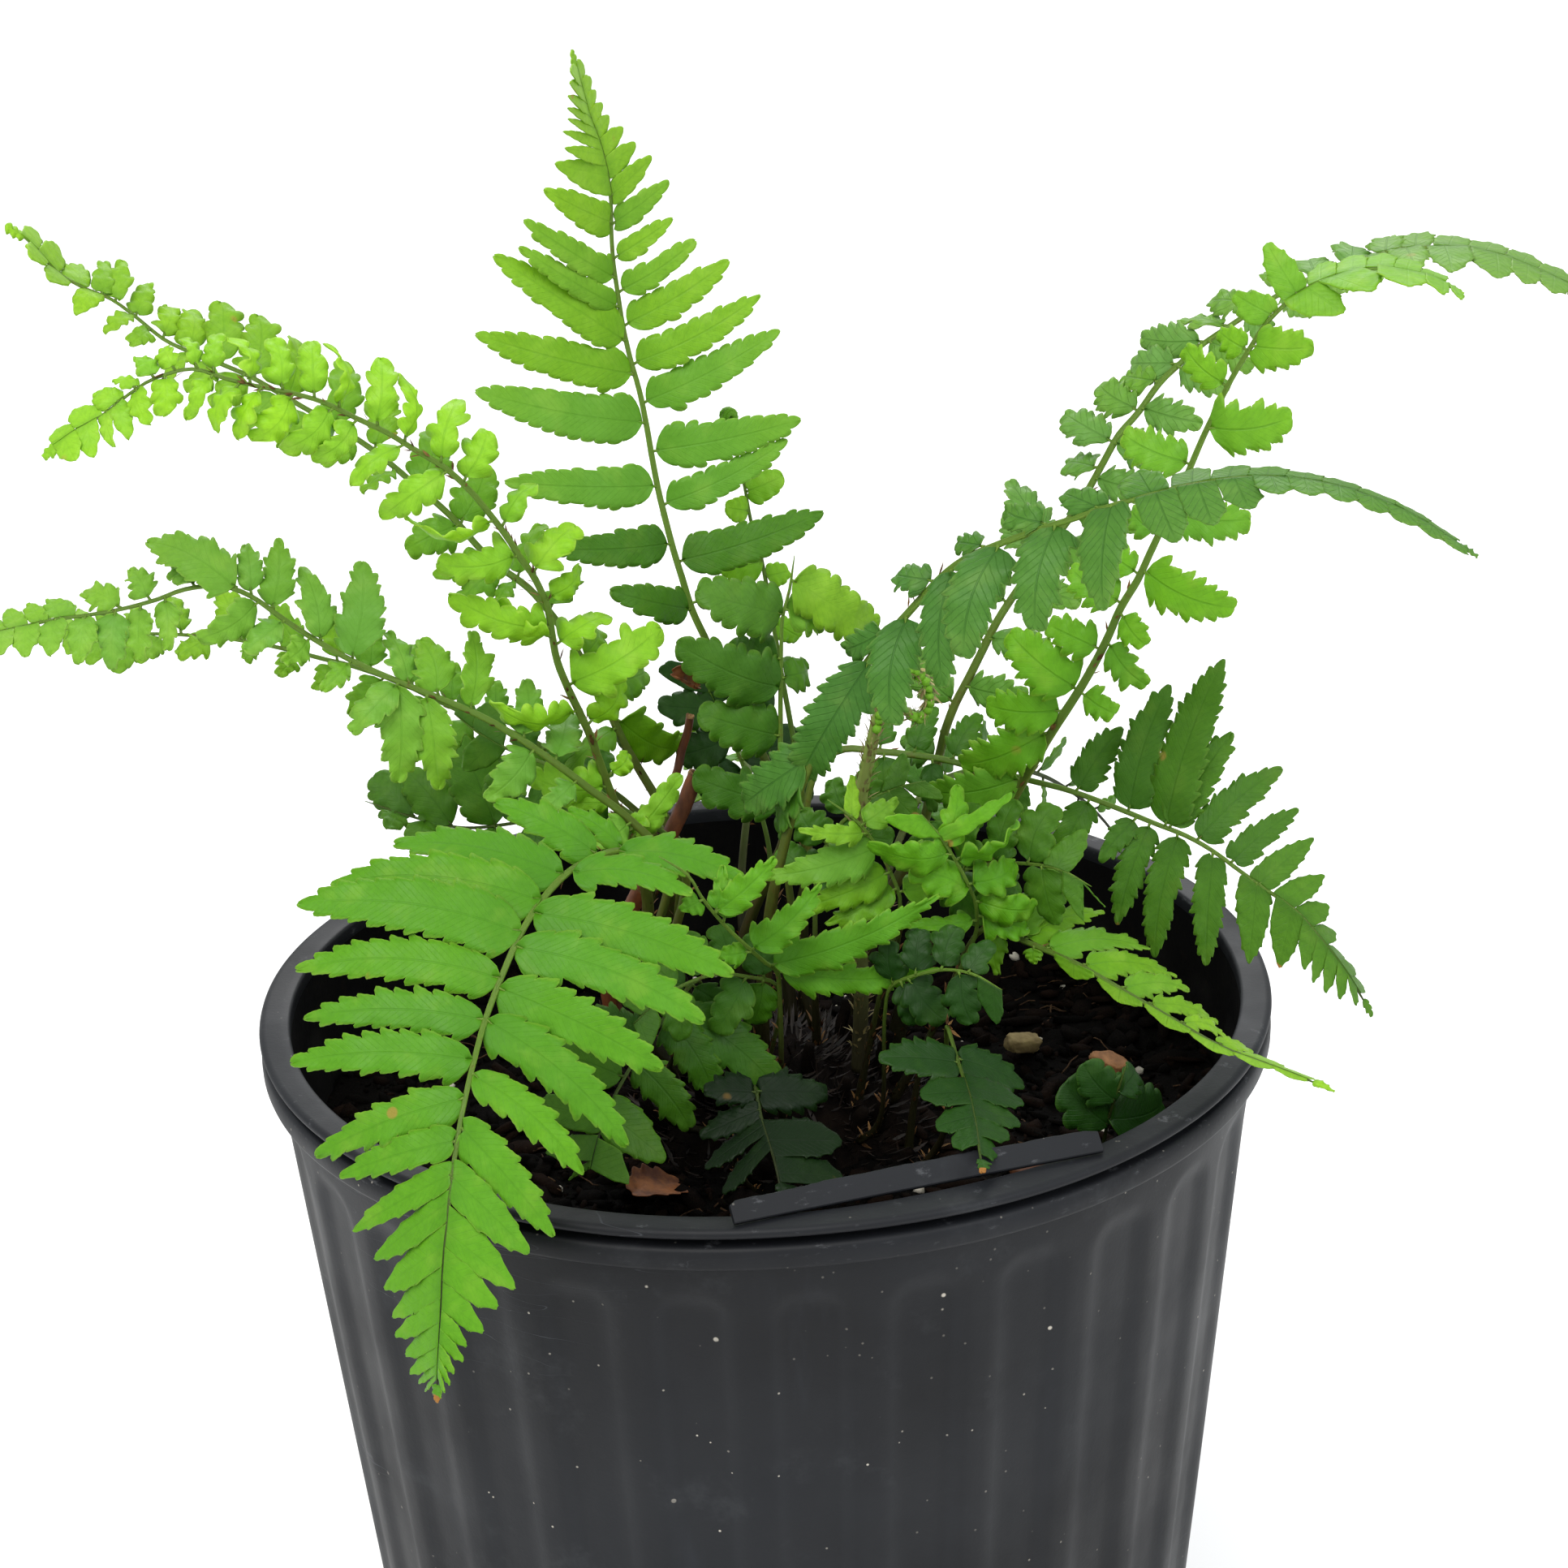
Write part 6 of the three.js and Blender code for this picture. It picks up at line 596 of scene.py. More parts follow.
# ---------------------------------------------------------------- the fronds: spine points, and leaflets as
# [distance along the spine, tip x, tip y, tip z, width, arch, side, roll in degrees]
FRONDS = [
    dict(name="frond_tall_centre", r0=1.35, hue="mid", spine=[
        [-2, 14, 151.6], [-3, 14, 156.3], [-3.9, 14, 161.8], [-3.6, 14, 166.6], [-1.9, 14.2, 171.9], [0.1, 14.4, 176.2],
        [2.4, 14.7, 181.3], [4, 15, 185.8], [4, 15.4, 191.4], [2.4, 15.7, 195.9], [0.3, 16, 201.1], [-1, 16, 205.7],
        [-3.4, 16.5, 210.7], [-5.8, 17.3, 214.8], [-7.9, 18, 219.9], [-9.7, 19, 224.1], [-11.1, 19.6, 229.5], [-12.3, 20.3, 234.1],
        [-13.5, 21.4, 239.5], [-14.4, 22.3, 244.1], [-15.2, 23.2, 249.6], [-15.8, 23.9, 254.3], [-16.7, 24.9, 259.7], [-17.8, 25.5, 264.3],
        [-18.8, 26.1, 269.8], [-19.3, 26, 274.6], [-19.8, 26, 280.1], [-19.9, 26, 284.9], [-19.7, 25.3, 290.5], [-20, 24.6, 295.2],
        [-21, 23.5, 300.6], [-22.2, 21.9, 304.9], [-23.3, 20.8, 310.3], [-24.2, 20, 315],
    ], leaflets=[
        [77.6, -22.4, 10, 231, 7.9, 0.1, -1, 1], [78.4, -6.1, 23.1, 224.8, 3.7, 0.1, 1, -8], [85.6, 12, 23.9, 238.3, 8.5, 0.1, 1, -9], [88.8, -31.1, 11.4, 237.9, 7.4, 0.1, -1, 6],
        [95.2, 6.6, 25.7, 250.1, 7.9, 0.1, 1, -8], [98.4, -38.2, 13.3, 248.8, 8.8, 0.1, -1, 7], [104, 8.9, 27.2, 253, 8.4, 0.1, 1, -9], [108.8, -42, 14.9, 263.4, 9.7, 0.1, -1, 6],
        [112, 6, 28.5, 267.6, 8.5, 0.1, 1, -9], [116.8, -41.5, 16, 272.3, 9.3, 0.1, -1, 5], [118.4, 3.1, 29.3, 273.3, 8, 0.1, 1, -9], [122.4, -38, 17, 284.6, 8.8, 0.1, -1, 2],
        [124.8, -1.7, 30.1, 278.9, 7.1, 0.1, 1, -12], [128, -33.9, 17, 285.8, 6, 0.1, -1, 4], [130.4, -6.9, 30, 282.4, 5.7, 0.1, 1, -13], [132.8, -33, 17, 289.9, 7.2, 0.1, -1, 4],
        [136, -10.3, 30, 286.1, 4.7, 0.1, 1, -14], [141.91, -29.6, 17.1, 294.8, 6.4, 0.1, -1, 2], [141.6, -10.6, 29.9, 292.3, 5.3, 0.1, 1, -17], [149.65, -27.7, 16.6, 298.9, 6.5, 0.1, -1, 4],
        [146.4, -13.1, 29.1, 296.5, 4.6, 0.1, 1, -19], [153.15, -26, 15.7, 301.5, 6.2, 0.1, -1, 5], [151.2, -15.5, 28.5, 298.9, 4.1, 0.1, 1, -18], [155.01, -26.1, 15.3, 304.2, 6.1, 0.1, -1, 4],
        [154.4, -17.3, 28, 301.5, 3.7, 0.1, 1, -20], [157.16, -25.2, 14.5, 306.3, 6.1, 0.1, -1, 4], [157.6, -19.4, 27, 303.7, 3.7, 0.1, 1, -21], [159.2, -25.1, 13.4, 308.2, 5.9, 0.1, -1, 7],
        [160, -20.3, 26.1, 305.9, 3.7, 0.1, 1, -22], [161.6, -24.9, 12.7, 310.2, 5.8, 0.1, -1, 9], [162.4, -21.2, 25.5, 308, 3.6, 0.1, 1, -23], [164, -24.5, 12.2, 312.3, 5.7, 0.1, -1, 13],
        [164.8, -21.8, 25.1, 310, 3.5, 0.1, 1, -23], [167.2, -24.3, 11.7, 314.3, 5.5, 0.1, -1, 22], [168, -22.8, 24.5, 312.2, 3.5, 0.1, 1, -24],
    ]),
    dict(name="frond_young_crozier", r0=1.1, hue="bright", spine=[
        [6, 17, 149.4], [6.2, 17.1, 154.2], [6.4, 17.2, 159.8], [6.6, 17.3, 165.4], [6.8, 17.3, 170.1], [6.9, 17.5, 174.9],
        [7.1, 17.7, 180.5], [7.1, 18, 186.1], [7.1, 18.6, 190.9], [6.7, 19.6, 195.5], [5.9, 21.7, 200.7], [5.1, 23.4, 205.9],
        [4.4, 24.8, 210.4], [3.8, 26.3, 215], [3.1, 28.2, 220.2], [2.3, 30.1, 225.4], [1.5, 31.4, 229.9], [0.3, 33.5, 234.1],
        [-0.5, 35, 239.4], [-1.6, 36, 244.8], [-2.4, 36, 249.5],
    ], leaflets=[
        [70.3, 7.8, 29.4, 214.9, 3.7, 0.08, 1, 1], [78.3, 6.3, 32.1, 225.6, 3.8, 0.08, 1, -10], [80.7, -5, 27.6, 228.3, 4.7, 0.08, -1, 7], [89.5, -3.6, 31.1, 237.2, 4.3, 0.08, -1, 4],
        [92.7, 5.9, 36.9, 240.5, 4.4, 0.08, 1, -11],
    ]),
    dict(name="frond_broken_tip", r0=1.2, hue="dark", spine=[
        [8, 6, 154.8], [6.8, 6.6, 160.3], [6, 7, 165], [5.3, 7.3, 170.6], [4.7, 7.6, 176.1], [4.2, 7.9, 181.7],
        [3.9, 8, 186.5], [3.7, 8, 192.1], [3.7, 8, 197.7], [3.8, 8.5, 203.3], [4, 9.2, 208.1], [4.2, 9.8, 213.6],
        [4.5, 10.7, 219.2], [4.9, 11.7, 224.7], [6.2, 12.9, 229.1], [7.2, 14, 234.5],
    ], leaflets=[
        [40.1, -9.3, 3, 201.2, 7.8, 0.08, -1, 13], [51.3, -8.6, 3.9, 211.8, 8.1, 0.08, -1, 10], [59.3, -11, 3.8, 223.4, 9.1, 0.12, -1, 9], [60.9, 9.5, 16.1, 214.4, 5.7, 0.1, 1, -20],
        [64.1, -4.6, 14.5, 218.7, 5.9, 0.12, -1, 14], [71.3, -7.5, 5.9, 232.1, 8.9, 0.12, -1, 9], [72.1, 12.7, 18.1, 222.1, 5.4, 0.1, 1, -12], [76.9, 21.5, 19.3, 219.3, 9.7, 0.1, 1, -7],
    ]),
    dict(name="frond_upper_left_back", r0=1.4, hue="mid", spine=[
        [-10, 16, 147.2], [-11.7, 16.3, 151.6], [-13.7, 16.7, 156.9], [-15, 16.9, 161.5], [-15.8, 16.9, 167], [-15.6, 16.7, 171.8],
        [-15.1, 16.4, 177.4], [-14.6, 16.1, 182.2], [-15, 16.2, 187], [-16.9, 16.8, 192.2], [-19.1, 17.3, 196.4], [-21.7, 18.1, 201.4],
        [-23.5, 18.9, 205.8], [-25.6, 20, 210.8], [-27.8, 20.8, 215], [-30.1, 21.6, 219.1], [-33.3, 22.7, 223.7], [-36.3, 23.8, 227.2],
        [-40.7, 25.4, 230.3], [-44.1, 26.7, 233.4], [-47.6, 27.9, 237.6], [-51, 28.9, 240.9], [-55.1, 30, 244.5], [-58.6, 30.6, 247.7],
        [-62.4, 31.2, 250.7], [-67, 31.9, 253.8], [-71.1, 32.6, 256.2], [-75.8, 33.4, 259.1], [-79.9, 34.2, 261.5], [-85, 34.9, 263.8],
        [-89.4, 35.5, 265.6], [-93.6, 36.2, 267.7], [-97.8, 37, 271.3], [-101.5, 37, 274.4], [-106.2, 35.7, 277.2], [-109.6, 34.5, 280.2],
        [-112.3, 32.6, 284.8], [-115.1, 31, 288.3],
    ], leaflets=[
        [60.1, -32.2, 12.6, 199.3, 6.1, 0.14, -1, 11], [60.9, -12.9, 26.8, 196.5, 7.4, 0.14, 1, 5], [67.3, -17.1, 28, 210.6, 6, 0.14, 1, -8], [72.9, -24.8, 28.9, 218.4, 5.1, 0.14, 1, -16],
        [82.5, -29.3, 30.7, 227.9, 5.4, 0.14, 1, -12], [89.8, -41.6, 18.4, 226.8, 4.4, 0.14, -1, 4], [89.8, -34.9, 32.4, 236, 5.8, 0.14, 1, -5], [93, -47.2, 19.4, 228, 5.1, 0.14, -1, 0],
        [96.2, -50.4, 20.3, 231.5, 5.2, 0.14, -1, 0], [102.6, -55.1, 21.7, 235.9, 5.4, 0.14, -1, 3], [102.6, -42.6, 35.7, 244.7, 6.1, 0.14, 1, -9], [111.4, -49.6, 37.5, 251.6, 6.2, 0.14, 1, -8],
        [116.2, -61.9, 24.3, 245.2, 4.6, 0.14, -1, 3], [121, -57.7, 38.9, 257.3, 6, 0.14, 1, -9], [124.2, -68.2, 25.3, 249.3, 4.7, 0.14, -1, 3], [128.2, -64.9, 39.8, 262.5, 6.2, 0.14, 1, -7],
        [132.2, -75, 26.4, 252.2, 4.9, 0.14, -1, 3], [137, -72.3, 41, 266.6, 6.1, 0.14, 1, -6], [138.6, -80.7, 27.3, 256, 4.9, 0.14, -1, 2], [143.4, -78.7, 42.1, 269.9, 6.1, 0.14, 1, -6],
        [145, -85.5, 28.3, 258.6, 4.9, 0.14, -1, 1], [149.1, -84.7, 42.8, 272, 6, 0.14, 1, -5], [150.7, -89.3, 29, 261.2, 4.6, 0.14, -1, 1], [154.7, -92.7, 29.5, 263.6, 4.4, 0.14, -1, 0],
        [154.7, -89.6, 43.5, 271.7, 5.4, 0.14, 1, -7], [159.5, -92.8, 44.2, 272.2, 4.1, 0.14, 1, -10], [161.9, -97.9, 30.7, 269.2, 3.3, 0.14, -1, 5], [165.1, -96.6, 45, 275.3, 4, 0.14, 1, -14],
        [165.9, -101.7, 31, 271.2, 3.4, 0.14, -1, 6], [169.1, -100.5, 45, 278.8, 4.1, 0.14, 1, -16], [171.5, -102.8, 44.7, 279.3, 4, 0.14, 1, -15], [173.1, -106.1, 30.3, 274.7, 3.3, 0.14, -1, 9],
        [175.5, -107.2, 43.7, 279.1, 3.8, 0.14, 1, -19], [179.5, -109.5, 28.7, 280.2, 3.2, 0.14, -1, 19], [182.7, -110.2, 41.7, 282.8, 3.8, 0.14, 1, -25], [184.3, -111.7, 27.2, 284.3, 3.2, 0.14, -1, 23],
        [186.7, -113.1, 40.4, 285.6, 3.8, 0.14, 1, -26],
    ]),
    dict(name="frond_upper_left_front", r0=1.6, hue="bright", spine=[
        [-13, 6, 150.4], [-15.6, 5.3, 154.4], [-18.4, 4.6, 159.2], [-19.7, 4, 163.7], [-19.7, 3.4, 168.5], [-19.1, 2.8, 174],
        [-18.6, 2.2, 178.8], [-18.9, 1.2, 183.4], [-20, -0.4, 188.7], [-21.2, -1.9, 193.1], [-22.4, -3.3, 198.4], [-23.6, -4.2, 202.9],
        [-24.7, -5.2, 207.5], [-26, -6.4, 212.8], [-27.4, -7.6, 217.2], [-28.9, -8.7, 221.7], [-30.3, -10, 226.9], [-30.8, -10.9, 231.6],
        [-31.2, -11.7, 236.3], [-32.7, -13.2, 241.5], [-34.7, -14.6, 245.6], [-36.7, -15.7, 249.8], [-39.5, -16.9, 254.6], [-42.1, -17.9, 258.5],
        [-45.1, -19.1, 262], [-49.4, -20.2, 265.4], [-53.1, -20.9, 268.3], [-57.1, -21.8, 270.8], [-61.7, -22.9, 273.8], [-66, -24, 275.7],
        [-71.3, -24.8, 277.3], [-75.8, -25, 278.7], [-80.4, -25, 280.3], [-85.8, -26, 279.4], [-89.9, -26, 277.1], [-93.7, -27, 274.5],
        [-98.6, -28, 272.1], [-102.5, -28, 269.3],
    ], leaflets=[
        [45.6, -12.5, 1.1, 202.5, 5.1, 0.26, 1, -23], [47.2, -16, 0.7, 197.9, 3, 0.26, 1, -23], [53.6, -30, -7.7, 202.7, 3.7, 0.26, -1, 16], [56.8, -35.6, -8.3, 206.6, 5, 0.26, -1, 18],
        [58.4, -19.9, -1.7, 207.7, 3.1, 0.26, 1, -22], [68.8, -19.9, -4, 221, 4.1, 0.26, 1, -21], [72, -40.4, -14, 220.1, 5.2, 0.26, -1, 18], [76.8, -13.8, -5.9, 229.7, 6.2, 0.26, 1, -21],
        [84.8, -22.2, -7.6, 234.4, 4.2, 0.35, 1, -21], [86.4, -38.9, -14.9, 235.7, 4.2, 0.26, -1, 16], [88, -45.2, -15.1, 238.6, 5.8, 0.26, -1, 18], [92.8, -25.1, -9.1, 241.7, 3.7, 0.26, 1, -22],
        [98.4, -27.3, -10.7, 250.2, 4.2, 0.26, 1, -21], [102.4, -46.3, -18.8, 245.9, 4.8, 0.26, -1, 19], [108, -32.8, -13, 257.7, 3.8, 0.26, 1, -19], [109.6, -50.4, -20.4, 250.7, 5.1, 0.26, -1, 18],
        [117.6, -38.5, -15.1, 266.2, 3.9, 0.26, 1, -17], [120.8, -54.7, -22.9, 256.4, 4.8, 0.26, -1, 17], [122.4, -43.9, -16.3, 271.9, 4.2, 0.26, 1, -13], [128.8, -58.8, -24.4, 262.1, 4.2, 0.26, -1, 13],
        [128.8, -48.7, -17.4, 275.9, 4.3, 0.26, 1, -11], [133.6, -53.5, -18.2, 279.1, 4.3, 0.26, 1, -10], [136.8, -63, -25.8, 265.7, 3.9, 0.26, -1, 13], [140, -58.4, -19.4, 281.5, 4.1, 0.26, 1, -11],
        [140.8, -67.5, -26.6, 267.7, 4.2, 0.26, -1, 14], [144, -63.4, -20.3, 282.8, 3.9, 0.26, 1, -10], [147.2, -71.3, -28, 269.6, 4, 0.26, -1, 10], [148.8, -68.5, -21.3, 283.7, 3.7, 0.26, 1, -7],
        [152, -74.9, -28.7, 271.5, 3.7, 0.26, -1, 7], [153.6, -72.9, -21.9, 284.4, 3.6, 0.26, 1, -5], [155.2, -78.3, -29, 273.3, 3.6, 0.26, -1, 5], [159.2, -81.7, -29, 274.9, 3.5, 0.26, -1, 4],
        [159.2, -77.4, -22, 285.1, 3.3, 0.26, 1, -4], [161.6, -81.5, -22, 284.7, 3.1, 0.26, 1, -4], [164.8, -85.3, -22.5, 283.4, 2.9, 0.26, 1, -3], [166.4, -84.4, -29.8, 275.1, 3.2, 0.26, -1, -2],
        [168, -88.7, -23, 282.3, 2.9, 0.26, 1, 2], [171.2, -87.4, -30, 273.7, 3.1, 0.26, -1, -7], [171.2, -92.4, -23, 279.2, 2.8, 0.26, 1, 1], [174.4, -95.4, -23.3, 277.2, 2.9, 0.26, 1, 1],
        [175.2, -89.8, -30.6, 272, 3.1, 0.26, -1, -6], [176.8, -92.3, -31, 270.8, 3.1, 0.26, -1, -6], [180, -95.3, -31.1, 269.4, 3.1, 0.26, -1, -6], [180, -98.4, -24.1, 274.8, 2.6, 0.26, 1, 1],
        [184, -97.8, -32, 269.3, 2.8, 0.26, -1, -7], [184, -101.2, -25, 272, 2.5, 0.26, 1, 1],
    ]),
    dict(name="frond_left_upper", r0=1.3, hue="mid2", spine=[
        [-14, -2, 150.4], [-16.8, -2.6, 154.3], [-19.8, -3.2, 159], [-21.2, -3.8, 163.5], [-20.7, -4.3, 169], [-19.3, -4.7, 173.6],
        [-17.2, -5.2, 178.7], [-15.6, -5.6, 183.2], [-14.7, -6.1, 188.7], [-15.9, -6.8, 193.2], [-19.3, -7.7, 197.6], [-22.3, -8.6, 201.1],
        [-26.1, -10, 205], [-29.4, -10.9, 208.4], [-33.4, -11.7, 212.2], [-37, -12.3, 215.3], [-41.4, -13, 218.7], [-45.4, -13.6, 221.2],
        [-50.3, -14, 223.8], [-54.6, -14, 225.9], [-59.6, -14, 228.5], [-63.7, -14, 231], [-68.2, -14, 234.2], [-72, -14, 237.2],
        [-76.3, -14, 240.8], [-80.7, -14, 242.6], [-86.2, -14, 242.3], [-90.7, -14, 240.8], [-96.2, -14.1, 239.5], [-100.9, -13.8, 238.7],
        [-106.4, -13.2, 237.9], [-111, -12.6, 236.9], [-116.4, -12, 235.6], [-121, -12, 234.2],
    ], leaflets=[
        [53.5, -25.6, -13, 197.1, 4.7, 0.12, -1, 16], [65.5, -33.7, -15.6, 204.1, 4.9, 0.12, -1, 17], [70.3, -29.6, 1.3, 216.4, 5.7, 0.1, 1, -21], [74.2, -42.1, -16.9, 207, 6, 0.12, -1, 16],
        [76.6, -35.6, -6.1, 222.7, 5.5, 0.1, 1, -17], [86.2, -43, -8.4, 231.8, 6.5, 0.1, 1, -11], [91.8, -51.1, -9, 231.3, 5.5, 0.1, 1, -11], [93.4, -49.8, -19, 209.6, 7.4, 0.12, -1, 6],
        [96.6, -56.1, -9, 232.6, 5.4, 0.1, 1, -10], [98.2, -55.5, -19, 211.1, 7.6, 0.12, -1, 5], [98.2, -62.1, -19, 220.1, 5.8, 0.12, -1, 8], [106.2, -65.8, -19, 227.2, 4.5, 0.12, -1, 6],
        [106.2, -59.6, -9, 244, 7.5, 0.1, 1, -7], [111.8, -68.4, -9, 243.7, 6.4, 0.1, 1, -9], [113.4, -71.2, -19, 231.8, 4.3, 0.12, -1, 8], [118.2, -77.4, -19, 234, 5, 0.12, -1, 9],
        [120.6, -72.1, -9, 248.4, 6.1, 0.1, 1, -11], [123, -83.5, -19, 235.6, 5.8, 0.12, -1, 10], [124.6, -77.4, -9, 247.9, 5.1, 0.1, 1, -12], [127, -92.2, -9, 249, 7.9, 0.2, 1, -25],
        [133.3, -88.2, -9, 245.4, 4.4, 0.1, 1, -4], [138.1, -89.2, -19, 234.5, 5, 0.12, -1, -6], [140.5, -95.4, -9, 244.5, 4.7, 0.1, 1, 2], [142.1, -93.9, -19, 233.1, 5.1, 0.12, -1, -4],
        [145.3, -103.1, -9.1, 241.2, 5.1, 0.1, 1, -8], [146.1, -98.3, -19, 232, 5.3, 0.12, -1, -4], [150.9, -103, -18.7, 232.9, 4.7, 0.12, -1, -6], [154.9, -108.3, -8.3, 239.5, 4.1, 0.1, 1, -4],
        [155.7, -107.3, -18.2, 234.1, 4.3, 0.12, -1, -8], [158.1, -111.4, -7.9, 239, 4.1, 0.1, 1, -3], [160.5, -111.2, -17.6, 233.7, 4.1, 0.12, -1, -8], [162.1, -114.9, -7.4, 237.9, 4, 0.1, 1, -2],
        [164.5, -114.9, -17.1, 234, 3.9, 0.12, -1, -9], [165.3, -118.1, -7, 236.3, 4, 0.1, 1, -6], [167.7, -117.6, -16.9, 234.3, 3.8, 0.12, -1, -7],
    ]),
    dict(name="frond_left_lower", r0=1.1, hue="mid", spine=[
        [-12, 12, 148.6], [-14.4, 12.5, 152.7], [-17.1, 13.1, 157.6], [-18.8, 13.6, 162], [-19.6, 14.2, 167.5], [-19.1, 14.7, 172.2],
        [-18.2, 15.1, 176.9], [-17.3, 15.7, 182.4], [-17.8, 16.4, 187], [-21.5, 17.7, 190.9], [-25.2, 18.8, 193.7], [-29.7, 20, 196.8],
        [-33.6, 20.7, 199.4], [-37.8, 21.2, 201.8], [-42.9, 21.8, 204], [-47.2, 22.1, 206.1], [-52.1, 22, 208.8], [-56.2, 22, 211.2],
        [-60.5, 22, 213.3], [-65.7, 22, 215.4], [-70.3, 22, 216.8], [-75.6, 22, 218.5], [-80.2, 22, 219.8], [-85.7, 21.7, 221.1],
        [-90.3, 21.2, 221.9], [-95, 20.6, 222.6], [-100.6, 20, 223.2], [-105.3, 19.9, 224.1], [-110.7, 18.7, 224.6], [-115.4, 18, 224.4],
    ], leaflets=[
        [59.9, -31.2, 25.5, 202, 4.2, 0.1, 1, -10], [63.1, -39.2, 16.8, 196.5, 4.5, 0.12, -1, 5], [66.3, -37, 26.2, 207, 4.6, 0.1, 1, -7], [71.9, -46.4, 17.8, 199.2, 4.6, 0.12, -1, 5],
        [71.9, -42.9, 26.8, 210.2, 4.8, 0.1, 1, -7], [75.8, -52.3, 18, 201.5, 5, 0.12, -1, 7], [79.8, -49.4, 27, 213.7, 4.8, 0.1, 1, -10], [83.8, -60, 18, 204.7, 5.3, 0.12, -1, 9],
        [87, -55.8, 27, 217.2, 4.8, 0.1, 1, -10], [91.8, -66.4, 18, 208.5, 5.1, 0.12, -1, 7], [94.2, -62.9, 27, 220.9, 5, 0.1, 1, -8], [99.8, -69.4, 27, 223.4, 5.2, 0.1, 1, -6],
        [100.6, -71.6, 18, 213.3, 4.1, 0.12, -1, 3], [106.2, -79, 27, 224.8, 5.5, 0.1, 1, -8], [107, -77.1, 18, 216, 3.8, 0.12, -1, 2], [113.4, -82.5, 18, 218.8, 3.6, 0.12, -1, 0],
        [115.8, -87, 26.9, 227.9, 5.5, 0.1, 1, -6], [120.6, -93.3, 17.5, 220.2, 4.4, 0.12, -1, -6], [125.4, -94.6, 25.9, 227.5, 4.7, 0.1, 1, -7], [128.6, -99.6, 16.5, 219.7, 4.2, 0.12, -1, 0],
        [131.8, -100.8, 25.1, 226.3, 4.2, 0.1, 1, -9], [132.5, -103.3, 16, 218.1, 4.6, 0.12, -1, 4], [137.3, -107.5, 16, 219.7, 4.3, 0.12, -1, 4], [137.3, -105.7, 25, 226.1, 4, 0.1, 1, -10],
        [140.5, -109.6, 24.4, 226.2, 4, 0.1, 1, -13], [142.9, -110.5, 14.9, 221.9, 3.7, 0.12, -1, 3], [143.7, -113, 23.7, 225.4, 4, 0.1, 1, -14], [145.3, -112.9, 14.5, 222.9, 3.5, 0.12, -1, -2],
    ]),
    dict(name="frond_back_left", r0=0.9, hue="dark", spine=[
        [-12, 20, 142.6], [-14.7, 21.4, 147.3], [-17, 22.6, 151.3], [-19.5, 24, 156.2], [-20.9, 25.3, 160.6], [-20.5, 26.7, 165.9],
        [-18.3, 27.6, 170], [-15, 28.8, 174.4], [-13.7, 31.2, 178.1], [-17.2, 35.2, 179.3], [-20.8, 38.4, 179.2], [-24.8, 42.3, 178.7],
        [-28.4, 45.4, 177.9], [-32.7, 48.7, 176.5], [-36.5, 51.2, 175.2], [-41.3, 53.7, 173.5], [-45.5, 55.5, 172.2], [-50.6, 57.5, 171],
        [-55.1, 59.2, 170.8], [-60.3, 61, 171.6], [-64.8, 62.2, 172.8], [-70, 63, 174.6],
    ], leaflets=[
        [61.6, -30.3, 36.9, 174.4, 5.1, 0.1, -1, -11], [61.6, -29.1, 50.9, 184.4, 5.7, 0.1, 1, 12], [66.4, -35.9, 53.8, 185.8, 6.8, 0.1, 1, 13], [75.2, -39.9, 44.3, 170.8, 5, 0.1, -1, -10],
        [79.2, -45.2, 60, 176.7, 5.3, 0.1, 1, 6], [84, -47.9, 47.8, 168.6, 5, 0.1, -1, -9], [84, -53, 61.8, 186.6, 9.1, 0.1, 1, 9], [91.2, -55.1, 50.3, 168.8, 4.9, 0.1, -1, -6],
        [92.8, -62.5, 64.9, 179.2, 7.5, 0.1, 1, 7], [97.6, -60.8, 52.5, 170.4, 4.8, 0.1, -1, -2], [100, -68.6, 67.2, 177.7, 6.7, 0.1, 1, -1], [103.2, -65.3, 54, 173.3, 4.7, 0.1, -1, 1],
    ]),
    dict(name="frond_front_left_drooping", r0=1.3, hue="yellowmid", spine=[
        [-14, -8, 149], [-16.4, -9.8, 152.8], [-18.7, -11.9, 157.4], [-19.4, -13.5, 161.9], [-18.8, -15, 167.2], [-17.7, -16.2, 171.7],
        [-16.1, -17.5, 177], [-14.7, -18.6, 181.4], [-13.4, -19.8, 185.9], [-12, -21.2, 191.1], [-11.6, -22.8, 195.6], [-13.8, -25.5, 199.7],
        [-17, -28.4, 201.8], [-20.2, -32.4, 204.1], [-22.8, -36.2, 205.5], [-25.5, -40.1, 206.1], [-28.6, -44.8, 206.1], [-31.2, -48.7, 205],
        [-33.8, -53.3, 203.2], [-35.8, -57, 200.9], [-37.6, -60.5, 198.1], [-39.5, -64.6, 194.8], [-40.8, -68.4, 192.3], [-41.9, -73.3, 189.7],
        [-42.8, -77.2, 187.2], [-43.9, -81.2, 183.4], [-44.7, -84.2, 179.7], [-45.4, -87, 175.9], [-46.1, -89.7, 171], [-46.7, -91.6, 166.7],
        [-47.2, -93.1, 161.3], [-47.7, -94, 156.6], [-48.3, -94.6, 151.1], [-48.8, -95, 146.3],
    ], leaflets=[
        [67.2, -28.9, -28.4, 209.2, 4.4, 0.12, 1, -44], [69.6, -2.6, -36.2, 199.9, 6.8, 0.12, -1, 47], [74.4, -39.4, -34.1, 213.4, 6.2, 0.12, 1, -37], [81.6, -10.3, -47.1, 202.8, 6.5, 0.12, -1, 32],
        [83.2, -54.3, -41.4, 210.3, 8.5, 0.12, 1, -29], [89.6, -63.5, -46.6, 206.4, 10, 0.12, 1, -23], [92, -4.5, -55.6, 193.5, 9.9, 0.12, -1, 19], [96, -68.1, -51.8, 205.6, 10.6, 0.12, 1, -16],
